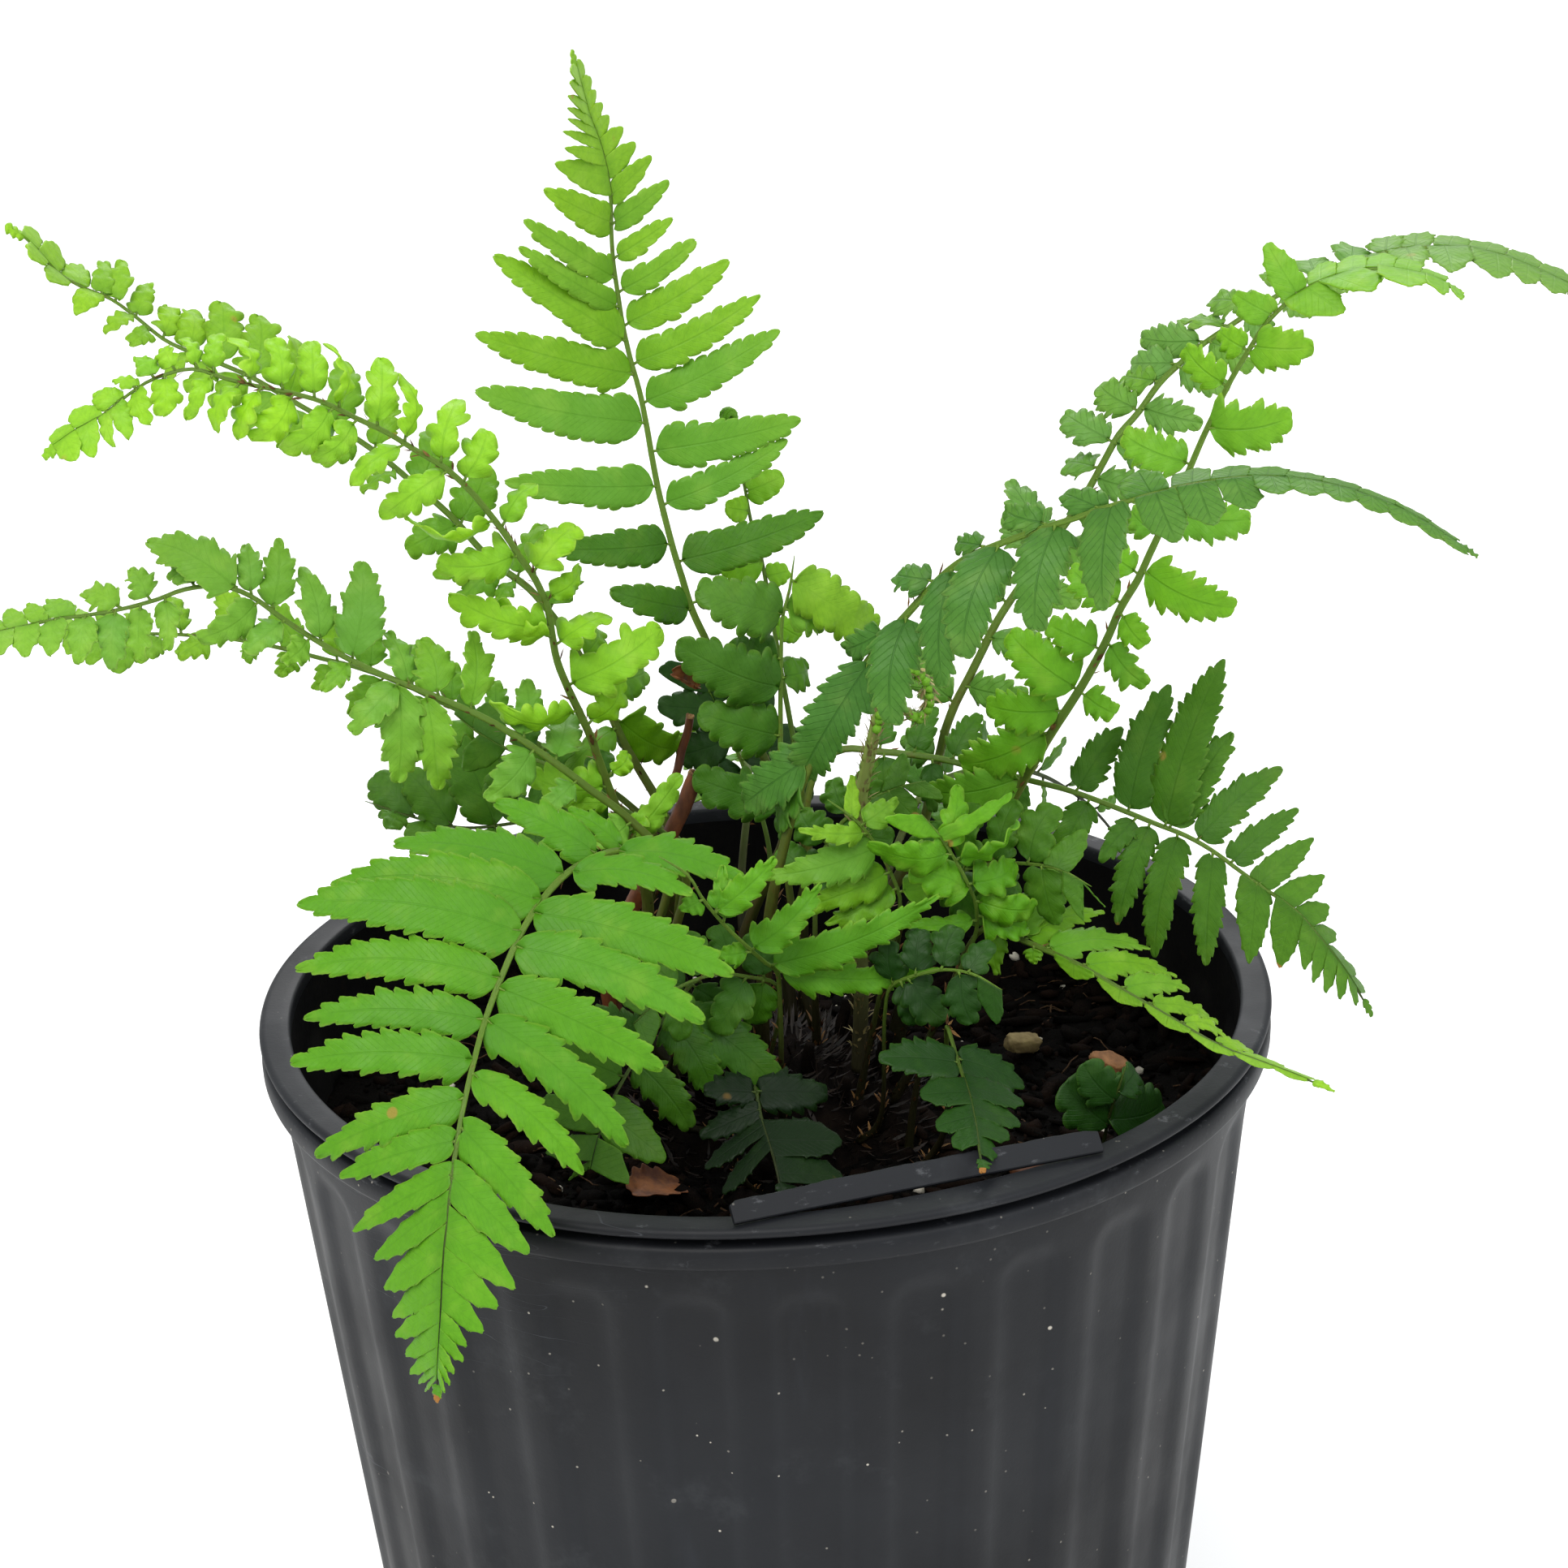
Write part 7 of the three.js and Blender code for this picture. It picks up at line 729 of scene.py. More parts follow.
        [98.4, -9, -60.6, 188.4, 9.6, 0.12, -1, 12], [104, -68.4, -57.6, 197.7, 9.8, 0.12, 1, -12], [105.6, -15.3, -65.8, 183.4, 8.8, 0.12, -1, 12], [111.2, -67.1, -63.1, 192.4, 8.8, 0.12, 1, -17],
        [111.2, -20.8, -70.1, 173.3, 9.1, 0.12, -1, 22], [118.4, -68.7, -69.3, 188.2, 8.9, 0.12, 1, -19], [120.8, -27.1, -78.3, 173.2, 7.4, 0.12, -1, 23], [124.8, -65.7, -74.5, 175.7, 8.3, 0.12, 1, -17],
        [129.18, -31.4, -83.2, 165.9, 7.6, 0.12, -1, 21], [131.2, -61.9, -78.7, 174.3, 6.8, 0.12, 1, -9], [136.46, -34.7, -87.7, 165.7, 6.1, 0.12, -1, 13], [136, -60.4, -81.6, 167, 6.7, 0.12, 1, -13],
        [144.07, -36.8, -90.4, 161.5, 6, 0.12, -1, 11], [140, -57.4, -83.8, 163.5, 6, 0.12, 1, -15], [148.43, -39.3, -91.9, 159.6, 5.5, 0.12, -1, 11], [146.05, -56.1, -85.7, 159.8, 5.7, 0.12, 1, -16],
        [153.5, -41.5, -93.3, 156.4, 5.4, 0.12, -1, 12], [151.92, -55.1, -87, 155.7, 5.7, 0.12, 1, -20], [157.07, -43.9, -94.9, 155, 4.7, 0.12, -1, 5], [155.15, -54.8, -88.1, 153.3, 5.5, 0.12, 1, -18],
        [159.09, -44.4, -95.8, 153.2, 4.3, 0.12, -1, -8], [159.13, -53.4, -89, 150.6, 5.2, 0.12, 1, -22], [162.49, -52.9, -89.5, 147.8, 5.2, 0.12, 1, -25], [161.5, -45.8, -96.5, 151.6, 3.9, 0.12, -1, -23],
        [164.77, -51.7, -90, 146.3, 4.7, 0.12, 1, -30], [163.3, -46.5, -97, 150, 3.5, 0.12, -1, -34], [164.55, -47.3, -97.3, 149, 3.1, 0.12, -1, -46], [165.57, -50.8, -90.4, 145.2, 4.1, 0.12, 1, -34],
    ]),
    dict(name="frond_upper_right_back", r0=1.4, hue="bluemid", spine=[
        [14, 12, 149.8], [14.7, 12.3, 154.5], [15.5, 12.6, 160.1], [16.5, 12.9, 164.7], [18.1, 13.1, 169.2], [20.6, 13.4, 174.3],
        [22.9, 13.7, 178.4], [25.2, 14, 182.7], [27.2, 14.5, 187.9], [28.2, 15.1, 192.5], [29.7, 16, 197.9], [30.9, 16.6, 202.5],
        [32.7, 17.5, 206.8], [35.4, 18.7, 211.5], [37.6, 19.4, 215.7], [39.9, 20.2, 219.9], [43.1, 21.5, 224.3], [46, 22.4, 228],
        [48.9, 23.1, 231.7], [52.3, 23.9, 236.1], [55, 24.5, 240], [57.8, 25.3, 244.8], [60.3, 26.3, 248.8], [63.6, 27.8, 252],
        [67, 28.9, 256.3], [70.5, 29.9, 259.3], [74.3, 31.2, 262], [79, 32.9, 264.5], [83.1, 33.7, 266.9], [87.3, 34.7, 269],
        [92.3, 36.1, 271], [96.8, 36.8, 272.5], [101.4, 37.4, 273.7], [106.9, 38.1, 274.6], [111.7, 38.6, 274.7], [116.4, 39.1, 274.3],
        [121.8, 39.8, 273.1], [126.3, 40.1, 271.4], [131.4, 40.1, 269], [135.7, 39.9, 266.8], [139.7, 39.3, 264.3], [144.2, 38.6, 261],
        [147.7, 38, 257.8],
    ], leaflets=[
        [51.2, 23.8, 23, 199.4, 6.3, 0.12, -1, 12], [60.8, 25.5, 24.5, 213.9, 7.6, 0.12, -1, 9], [64, 43.5, 11.2, 210.4, 6.3, 0.14, 1, -4], [72, 31.8, 26.5, 221.1, 6.8, 0.12, -1, 10],
        [72.8, 47.4, 12.6, 218.5, 6.3, 0.14, 1, -4], [79.2, 37.3, 27.9, 227.7, 6.5, 0.12, -1, 8], [82.4, 52.8, 14.7, 224.8, 6.3, 0.14, 1, -3], [88.8, 41.9, 29.7, 235.1, 6.7, 0.12, -1, 8],
        [91.2, 42.9, 30.1, 240.8, 7.8, 0.12, -1, 8], [91.2, 58.4, 16.1, 231, 6.4, 0.14, 1, -4], [97.6, 62.2, 17, 236.4, 6.3, 0.14, 1, -4], [104, 64.9, 17.9, 242.5, 6.1, 0.14, 1, -5],
        [105.6, 51.8, 32.1, 242.8, 6.1, 0.12, -1, 6], [110.4, 51.9, 32.9, 251.1, 7, 0.12, -1, 6], [110.4, 68.9, 18.9, 247.5, 6.4, 0.14, 1, -3], [116.8, 57.7, 34.8, 254.9, 6.4, 0.12, -1, 5],
        [117.6, 72.7, 21, 252.1, 6.1, 0.14, 1, -1], [122.4, 61.9, 35.9, 255.9, 6, 0.12, -1, 2], [126.4, 62.9, 36.8, 257.7, 6.6, 0.12, -1, -4], [126.4, 77, 22.8, 256.8, 5.8, 0.14, 1, -1],
        [132, 64.7, 38.2, 261.5, 7.4, 0.12, -1, -6], [132.8, 81.1, 24.4, 260, 5.5, 0.14, 1, 1], [136.8, 71.6, 39.7, 264, 6.5, 0.12, -1, -4], [140, 86.5, 26.4, 262.8, 5.4, 0.14, 1, 0],
        [142.4, 76.1, 40.7, 267.1, 6.6, 0.12, -1, -2], [147.2, 90.8, 27.7, 267.2, 5, 0.14, 1, 0], [148, 86.5, 42, 270.6, 5.4, 0.12, -1, 1], [153.6, 93.3, 47.3, 271.3, 7, 0.12, -1, 1],
        [156, 96.2, 24.6, 272.2, 6.5, 0.14, 1, 0], [160, 101, 49.1, 273, 7.5, 0.12, -1, 0], [161.6, 101.7, 25.3, 273.6, 6.5, 0.14, 1, 0], [165.6, 107, 49.8, 273.9, 7.6, 0.12, -1, 0],
        [168.8, 107.6, 26.2, 274.5, 6.4, 0.14, 1, 0], [170.4, 111.9, 50.3, 274.3, 7.6, 0.12, -1, 0], [175.2, 113.6, 26.8, 273.8, 6.5, 0.14, 1, 0], [176, 117.9, 50.9, 273.5, 7.6, 0.12, -1, 0],
        [182.4, 124.5, 51.7, 271.9, 7.7, 0.12, -1, 0], [184, 121.2, 27.9, 271.5, 6.5, 0.14, 1, 0], [188.8, 130.6, 51.1, 270.1, 7.3, 0.12, -1, 0], [189.6, 125.6, 28.1, 270.1, 6.5, 0.14, 1, 0],
        [194.4, 135.7, 50.1, 267.8, 6.9, 0.12, -1, 0], [194.4, 130, 29.1, 268.1, 6.2, 0.14, 1, 0], [199.2, 140.5, 48.8, 265.4, 6.6, 0.12, -1, 0], [200, 134.5, 29.7, 265.7, 5.8, 0.14, 1, 0],
        [204.8, 138.6, 30.1, 263.4, 5.4, 0.14, 1, 0], [205.6, 145.1, 47, 262, 6.1, 0.12, -1, 0], [208.8, 142.1, 30.6, 261.3, 5.1, 0.14, 1, 0],
    ]),
    dict(name="frond_upper_right_front", r0=1.6, hue="brightmid", spine=[
        [20, 2, 148.9], [21, 1.7, 153.6], [22.2, 1.4, 159], [23.7, 1.1, 163.6], [26.2, 0.8, 168.6], [28.9, 0.6, 172.6],
        [32, 0.3, 177.2], [34.4, -0.1, 181.3], [36.5, -0.8, 186.5], [37.9, -1.5, 191], [39.9, -2.4, 196.2], [41.9, -3.2, 200.5],
        [44.3, -4.3, 205.4], [46.4, -5.3, 209.6], [49, -6.6, 214.4], [51.3, -7.6, 218.6], [53.7, -8.5, 223.5], [55.6, -9.2, 227.9],
        [57.2, -10.1, 232.3], [59.8, -11, 237.2], [61.6, -11.6, 241.6], [63.8, -12.3, 246.8], [65.7, -13.1, 251.1], [67.6, -14, 256.3],
        [69.4, -14, 260.7], [71.6, -14.7, 265.9], [73.5, -15.4, 270.2], [76.2, -16, 275.1], [78.8, -16, 279.1], [83, -16, 282.9],
        [87.2, -16, 285.1], [92.6, -16.4, 286.5], [97.3, -17, 286.6], [102.8, -17.1, 285.2], [107, -18, 283.2],
    ], leaflets=[
        [57.7, 27.5, 0.6, 198.1, 9.7, 0.1, -1, 15], [67.3, 32.2, -1.3, 203.2, 10, 0.1, -1, 15], [72.1, 36.3, -2.4, 214.1, 8.5, 0.1, -1, 17], [76.9, 40.3, -3.5, 226.4, 9.1, 0.1, -1, 16],
        [76.9, 56, -11.5, 215.3, 5.7, 0.1, 1, -16], [84.9, 46.2, -4.7, 228, 6.9, 0.1, -1, 16], [86.5, 60.9, -12.9, 220.4, 6.8, 0.1, 1, -17], [92.1, 60.5, -13.9, 227.5, 5.7, 0.1, 1, -18],
        [93.7, 49.7, -6.2, 237.8, 7.1, 0.1, -1, 16], [99.4, 54.9, -7.1, 241.6, 6, 0.1, -1, 16], [100.2, 74.1, -15.2, 233.1, 9.6, 0.1, 1, -16], [106.6, 58.8, -8, 247.4, 5.4, 0.1, -1, 17],
        [110.6, 76.3, -16.6, 248.2, 8.3, 0.1, 1, -14], [119.4, 57.6, -10, 260.4, 7.9, 0.1, -1, 8], [125.8, 82.1, -18.1, 264.4, 11.1, 0.1, 1, -3], [133, 66.8, -11.2, 274, 6.7, 0.1, -1, 0],
        [140.46, 85, -20, 275.9, 8.4, 0.1, 1, 0], [139.4, 71.7, -12, 276.6, 5.3, 0.1, -1, 0], [145.8, 74.1, -12, 282.3, 5.8, 0.1, -1, 0], [152.31, 89.4, -20, 281.1, 6.8, 0.1, 1, 0],
        [150.6, 78.8, -12, 289.9, 7.6, 0.1, -1, 0], [154.6, 87.8, -7, 285.2, 6.7, 0.1, -1, 0], [156.06, 92.7, -25, 285.7, 7.4, 0.1, 1, 0], [159.4, 92.8, -6.1, 286, 7.2, 0.1, -1, 0],
        [163.5, 97.2, -6.8, 286.3, 7.3, 0.1, -1, 0], [167.5, 101.1, -8, 285.6, 6.8, 0.1, -1, 0], [167.5, 97.7, -27, 286.8, 7.2, 0.1, 1, 0], [171.5, 104.9, -9.1, 283.7, 6.4, 0.1, -1, 0],
        [173.1, 103, -26.3, 285.2, 6.7, 0.1, 1, 0], [174.7, 105.9, -24.7, 283.9, 5.7, 0.1, 1, 0],
    ]),
    dict(name="frond_right_blue_hanging", r0=1.5, hue="blue", spine=[
        [0, -11, 153.6], [-0.7, -12.7, 158], [-0.9, -13.9, 163.5], [-0.6, -14.5, 168.2], [-0.1, -15, 173], [0.5, -15.5, 178.5],
        [1, -16, 183.3], [1.6, -16.9, 187.9], [2.7, -18.3, 193.3], [3.8, -18.8, 197.9], [5.1, -19.7, 203.2], [6.4, -20.6, 207.8],
        [8, -21.5, 212.2], [10.2, -22.3, 217.3], [12.3, -23.2, 221.5], [14.5, -24.2, 225.7], [17.3, -25.5, 230.4], [19.8, -26.8, 234.3],
        [22.5, -28.2, 238], [25.7, -29.8, 242.2], [28.6, -31.1, 245.8], [31.9, -32.7, 249], [36.3, -34.8, 251.7], [40.4, -36.3, 253.7],
        [44.5, -37.9, 255.6], [49.2, -40.1, 257.8], [53.1, -42, 259.7], [57.2, -43.9, 261.5], [62.1, -45.8, 263.3], [66.4, -47.5, 264.6],
        [71.4, -49.7, 265.8], [75.7, -51.7, 266.3], [80.2, -53.4, 266.2], [85.5, -55, 265.2], [89.9, -56.1, 263.7], [94.2, -57, 261.8],
        [98.9, -58.1, 258.9], [102.8, -59, 256.3],
    ], leaflets=[
        [59.2, 2.8, -15.2, 198.7, 7.9, 0.16, -1, -39], [61.6, -2.4, -15.6, 203.9, 7.5, 0.16, -1, 7], [82.4, 6.4, -19.7, 208.7, 11.3, 0.16, 1, 4], [88, 14.1, -21.2, 231.3, 5.3, 0.16, -1, 3],
        [92.8, 20.6, -36.7, 225, 8, 0.2, 1, -31], [100, 22, -24.7, 244.3, 4.7, 0.16, -1, 15], [104, 28.1, -39.9, 231.8, 8.4, 0.2, 1, -25], [110.4, 31.3, -28.2, 250.3, 4.3, 0.16, -1, -2],
        [112.8, 31, -43.1, 237.8, 8.7, 0.2, 1, -20], [120.8, 38.2, -31.6, 256.2, 4.7, 0.16, -1, 5], [122.4, 41.4, -46.2, 242.7, 8.5, 0.2, 1, -15], [129.6, 46.6, -35.1, 259.6, 4.5, 0.16, -1, 3],
        [132, 51, -50, 246.6, 8.3, 0.2, 1, -6], [138.4, 57.2, -38.4, 263.7, 4.1, 0.16, -1, 0], [139.2, 61.4, -52.7, 257.5, 6, 0.2, 1, 0], [144.8, 65.3, -37.6, 263.6, 5, 0.16, -1, 0],
        [145.6, 66.6, -54.9, 260, 5.3, 0.2, 1, 0], [150.4, 71.3, -38.7, 264.5, 5.4, 0.16, -1, 0], [151.2, 71.9, -57, 262, 5.2, 0.2, 1, 0], [156, 76.5, -41, 265.2, 5.4, 0.16, -1, 0],
        [156.8, 75.4, -60.3, 265.1, 5.3, 0.2, 1, 0], [161.6, 81.2, -44.1, 265, 5.1, 0.16, -1, 0], [161.6, 79.5, -62.1, 265.1, 5.3, 0.2, 1, 0], [166.4, 86, -46.6, 264.4, 4.7, 0.16, -1, 0],
        [166.4, 83.7, -62.6, 264.4, 4.9, 0.2, 1, 0], [171.2, 87.9, -62.8, 262.9, 4.6, 0.2, 1, 0], [172, 91.1, -48.9, 262.8, 4.4, 0.16, -1, 0], [176, 91.8, -62.7, 261.2, 4.2, 0.2, 1, 0],
        [177.6, 95.8, -51, 260.6, 4, 0.16, -1, 0], [180.8, 95.5, -62.6, 259.6, 3.9, 0.2, 1, 0], [182.4, 99.6, -52.9, 258.2, 3.7, 0.16, -1, 0], [184.8, 99, -62.4, 257.8, 3.5, 0.2, 1, 0],
    ]),
    dict(name="frond_right", r0=1.2, hue="dark", spine=[
        [4, 10, 154.1], [3.8, 11.1, 159.6], [3.9, 11.7, 164.3], [4.7, 11.5, 169.9], [5.9, 10.6, 174.4], [7.2, 9.4, 179.7],
        [7.8, 8.8, 184.5], [7.7, 8.9, 190.1], [8.1, 9.3, 194.9], [10.1, 10.3, 199.9], [14.2, 10.8, 202.1], [19.7, 9.7, 201.9],
        [24.4, 8.8, 201.6], [29.8, 7.4, 201.1], [34.2, 5.5, 200.5], [39.4, 3.8, 199.7], [44, 2.4, 198.8], [49.2, 0.8, 197.8],
        [53.7, -0.6, 196.5], [58.7, -2.5, 194.9], [63, -4.3, 193.5], [67.9, -6.4, 192], [71.9, -8.1, 190], [76.3, -9.8, 186.9],
        [80.1, -11.2, 184.3], [84.5, -13.2, 181.5], [87.6, -14.9, 178.2], [90.9, -16.4, 174], [93.5, -17.1, 170], [96.2, -18, 165.2],
    ], leaflets=[
        [36.9, 10.4, 4.9, 192.3, 3.1, 0.08, 1, -14], [50.5, 10.4, 15.9, 206.3, 3.5, 0.08, -1, 7], [57.7, 21.4, 14.7, 206.4, 3.4, 0.08, -1, 5], [58.5, 20.3, 5.6, 191.6, 4.8, 0.08, 1, -5],
        [63.3, 28.9, 13.7, 207.9, 4, 0.08, -1, 5], [66.5, 28.1, 3.9, 193.5, 4.1, 0.08, 1, -8], [69.7, 36.4, 11.8, 206.9, 4.1, 0.08, -1, 9], [75.3, 36.5, 0.7, 193, 4, 0.08, 1, -8],
        [77.7, 44.4, 9, 207, 4.4, 0.08, -1, 6], [80.9, 42.2, -0.9, 194.1, 4.2, 0.08, 1, -5], [90.5, 58.9, 5.3, 206.2, 6.4, 0.08, -1, 3], [92.9, 46.1, -4.4, 183.2, 7.1, 0.08, 1, -3],
        [99.4, 66, 2.5, 214.3, 7.8, 0.08, -1, 5], [101, 54.1, -7.1, 188.6, 4.7, 0.08, 1, -5], [103.4, 56.9, -8, 177.6, 6, 0.08, 1, -6], [105.8, 74.2, 0.1, 219.2, 8.8, 0.08, -1, 6],
        [106.6, 75.8, -0.2, 206.9, 7.6, 0.08, -1, 4], [108.2, 62.6, -9.8, 172.4, 7, 0.08, 1, -8], [111.4, 83.6, -2, 201.3, 6.5, 0.08, -1, 1], [114.6, 70.6, -12.1, 171.7, 5.6, 0.08, 1, -8],
        [117.8, 86, -4.1, 195.1, 5.4, 0.08, -1, -2], [123.02, 77.2, -14.3, 172.8, 4.5, 0.08, 1, -5], [123.4, 88.4, -5.8, 190.6, 4.8, 0.08, -1, -1], [129.86, 81.8, -15.6, 172.5, 3.8, 0.08, 1, -6],
        [128.2, 90, -7.2, 184.7, 4, 0.08, -1, 3], [134.57, 85.5, -17.2, 172.8, 3.1, 0.08, 1, -6], [132.2, 90.5, -8.8, 180.1, 3.4, 0.08, -1, 4], [137.02, 86.8, -18.4, 171, 3, 0.08, 1, -1],
        [136.2, 91.4, -10.2, 176, 3.2, 0.08, -1, 4], [139.54, 88.6, -19.4, 169.7, 2.8, 0.08, 1, 6], [139.4, 92.7, -11, 172, 3.3, 0.08, -1, 14], [142.33, 90.8, -20.2, 168.9, 2.5, 0.08, 1, 17],
        [142.6, 94.3, -11.6, 170.3, 3.2, 0.08, -1, 4], [144.82, 93.3, -20.9, 168.1, 2.2, 0.08, 1, 32], [145.8, 95.7, -12.1, 167.3, 3.2, 0.08, -1, 5],
    ]),
    dict(name="frond_front_right", r0=1.0, hue="mid", spine=[
        [20, -8, 147.5], [22.1, -8.9, 151.7], [24.5, -10, 156.6], [26.7, -10.9, 161.6], [28.5, -11.4, 166], [30.1, -11.9, 170.5],
        [32, -12.5, 175.7], [34.8, -13.9, 180.3], [38.3, -16.9, 180.7], [41.6, -20.3, 180.7], [45.2, -24.6, 180.7], [48.8, -28.9, 180.6],
        [52, -32.3, 179.9], [55.3, -35.7, 179], [59.2, -39.6, 178], [63.1, -43.4, 176.9], [66.5, -46.5, 175.8], [70.2, -49.4, 174.9],
        [74.9, -52.4, 174.1], [79.7, -54.9, 173], [83.9, -57, 171.8],
    ], leaflets=[
        [39.8, 37, -17.8, 174.3, 3.5, 0.1, 1, -19], [44.6, 46.2, -12.9, 185.4, 4.3, 0.1, -1, 16], [45.4, 54.3, -12.1, 182, 5, 0.1, -1, 22], [47.8, 42.4, -23.5, 175.1, 2.6, 0.1, 1, -21],
        [50.2, 61.1, -17.4, 177.9, 4.7, 0.1, -1, 27], [56.6, 47.9, -30.3, 175.2, 2.2, 0.1, 1, -20], [58.2, 64.8, -23.5, 175.7, 4.9, 0.1, -1, 26], [66.2, 66.2, -29.1, 176, 4, 0.1, -1, 23],
        [66.2, 53.6, -37.1, 174.9, 1.8, 0.1, 1, -15], [71.7, 70.2, -33, 171.9, 3.4, 0.1, -1, 28], [75.7, 60.4, -43.8, 174.2, 1.3, 0.1, 1, -13], [78.1, 71.3, -37.4, 171, 2.5, 0.1, -1, 29],
        [84.5, 67.2, -49.5, 173, 1.1, 0.1, 1, -10], [85.3, 74.6, -42, 170.9, 2.2, 0.1, -1, 27], [91.7, 78.5, -45.6, 170.3, 2, 0.1, -1, 29], [91.7, 73.2, -53.6, 172.6, 1, 0.1, 1, -7],
        [97.2, 81.9, -48.2, 169.6, 1.9, 0.1, -1, 26], [97.2, 78.4, -56.2, 172.1, 0.9, 0.1, 1, -2],
    ]),
    dict(name="frond_small_bright", r0=0.8, hue="yellowmid", spine=[
        [22, -16, 141.2], [22.6, -16.5, 146.7], [23.3, -17.1, 152.3], [24.2, -17.6, 157.8], [25.4, -18, 162.4], [27.2, -18.5, 167.7],
        [29.4, -19.1, 172.8], [31.7, -19.6, 177.9], [33.5, -20.5, 183.1], [33.4, -22.3, 188.4], [32.2, -24, 192.7], [30.2, -25.7, 197.6],
        [27.9, -27.6, 202.4], [25, -29, 206.9],
    ], leaflets=[
        [46.4, 22.7, -24.1, 186.3, 3, 0.2, -1, 39], [47.2, 41.8, -19.9, 183.1, 4.7, 0.22, 1, -38], [50.4, 43.2, -20.8, 186.9, 5.1, 0.35, 1, -41], [53.6, 24.7, -26.8, 197.2, 5.7, 0.2, -1, 33],
        [54.4, 41.1, -21, 194, 4.7, 0.22, 1, -38], [60, 40.8, -22.7, 201.1, 5.3, 0.22, 1, -37], [61.6, 17.7, -29.2, 201.5, 5.3, 0.2, -1, 37], [64, 31.5, -24.1, 209.3, 4.6, 0.22, 1, -36],
        [65.6, 39.5, -24.6, 207.6, 5.8, 0.22, 1, -36], [69.6, 19.3, -31.7, 207.3, 3.8, 0.2, -1, 25],
    ]),
    dict(name="frond_centre_front", r0=0.8, hue="yellowmid", spine=[
        [2, -20, 147.2], [2, -22.4, 151.3], [2, -24.9, 156.4], [2.1, -26.5, 161.7], [2.2, -27.4, 166.4], [2.3, -28.3, 171.1],
        [2.3, -29.3, 176.7], [2.1, -30.8, 182], [0.4, -33.9, 185.1], [-1.7, -36.5, 188.5], [-4.4, -39.2, 192.7], [-7, -41.5, 197.1],
        [-8.9, -43.5, 201], [-10.7, -45, 205.2], [-14.8, -46, 208.8],
    ], leaflets=[
        [36.8, 27.5, -26.6, 179.6, 4.8, 0.08, 1, -51], [40, 27.4, -30.9, 193.8, 5.4, 0.05, 1, -56], [46.4, 9.1, -34.5, 198.2, 4.7, 0.08, 1, -46], [46.4, -7.4, -38.5, 189, 3, 0.08, -1, 48],
        [55.2, -3.7, -39.6, 201.6, 3.1, 0.1, 1, -38], [57.6, -5.5, -39.5, 203.9, 3.3, 0.1, 1, -42], [57.6, 2.4, -39.5, 204.9, 4.6, 0.08, 1, -42], [61.6, -12, -45.2, 199.7, 2.4, 0.08, -1, 41],
    ]),
    dict(name="frond_centre_right", r0=0.8, hue="mid", spine=[
        [14, -14, 148.6], [14.8, -15.4, 154], [15.6, -16.5, 158.6], [16.6, -17.4, 164], [17.7, -18.3, 169.5], [18.7, -18.9, 174.2],
        [19.8, -19.6, 179.6], [21.1, -20.4, 185], [21.6, -21.1, 189.7], [19.9, -21.8, 195.1], [17.6, -22.5, 200.1], [14.9, -23.2, 204],
        [10.8, -24, 207.8],
    ], leaflets=[
        [43.4, 30.9, -17.2, 190.4, 4.5, 0.1, 1, -33], [44.2, 10, -25.3, 187.6, 4.1, 0.1, -1, 34], [47.4, 5.9, -25.7, 190.6, 4.7, 0.1, -1, 31], [49, 27.2, -17.9, 197.1, 4, 0.1, 1, -29],
        [52.2, 0.4, -26.3, 196.3, 5.5, 0.1, -1, 30], [55.4, 6.6, -26.7, 204.1, 2.9, 0.1, -1, 21], [57, 21.6, -19, 205.3, 3.7, 0.1, 1, -26], [59.4, 14.8, -19.3, 209.8, 3.4, 0.1, 1, -31],
    ]),
    dict(name="frond_small_front", r0=0.7, hue="deep", spine=[
        [24, -22, 142.5], [26.1, -24.7, 146.9], [27.4, -26.9, 150.9], [28, -29, 156.1], [28.1, -30.6, 160.6], [28, -32.4, 165.9],
        [27.9, -34.2, 170.3], [27.9, -37.3, 174.8], [28.7, -42.5, 173.6], [29.4, -47, 172.3], [30.2, -52.5, 171.6], [30.6, -57.2, 171],
        [30.9, -62.7, 170.2], [31, -67.5, 169.6], [31.1, -73, 168.7],
    ], leaflets=[
        [44.6, 39.3, -43.7, 167.5, 5.3, 0.05, -1, 38], [45.4, 17.1, -46.5, 174.5, 6, 0.05, 1, -34], [51.8, 38.8, -50.7, 167.9, 3.9, 0.05, -1, 42], [53.4, 22.9, -54.3, 171.8, 4, 0.05, 1, -38],
        [57.4, 37.9, -56.2, 167.3, 4.2, 0.05, -1, 42], [59.8, 24.9, -60.6, 169.6, 3.6, 0.05, 1, -38], [62.2, 35.9, -61, 167.8, 3.5, 0.05, -1, 40], [64.6, 27, -65.3, 169.3, 3, 0.05, 1, -38],
        [67, 33.7, -65.7, 167.6, 2.6, 0.05, -1, 41],
    ]),
    dict(name="leaf_small_lobed", r0=0.6, hue="deep", spine=[
        [50, -40, 142.5], [50.4, -41, 146.3], [50.8, -42.1, 150.9], [51.2, -43.1, 154.8], [51.7, -44.2, 159.4], [52.4, -44.9, 163.2],
        [53.6, -45.9, 167.7], [54.7, -46, 171.5],
    ], leaflets=[
        [19, 45.4, -46.5, 168.9, 7.1, 0.06, -1, 22], [19.8, 62.3, -30.6, 157, 8.4, 0.06, 1, -38], [23.8, 48.1, -47.3, 172.4, 5.9, 0.06, -1, 19], [25.4, 56.7, -40.7, 167.9, 4.5, 0.06, 1, -52],
    ]),
    dict(name="frond_low_front", r0=0.7, hue="deep", spine=[
        [-2, -26, 140.4], [-3.9, -29.4, 144.4], [-5.4, -32.6, 148.8], [-5.6, -34.5, 153.2], [-4.8, -35.8, 158.7], [-3.5, -37, 164],
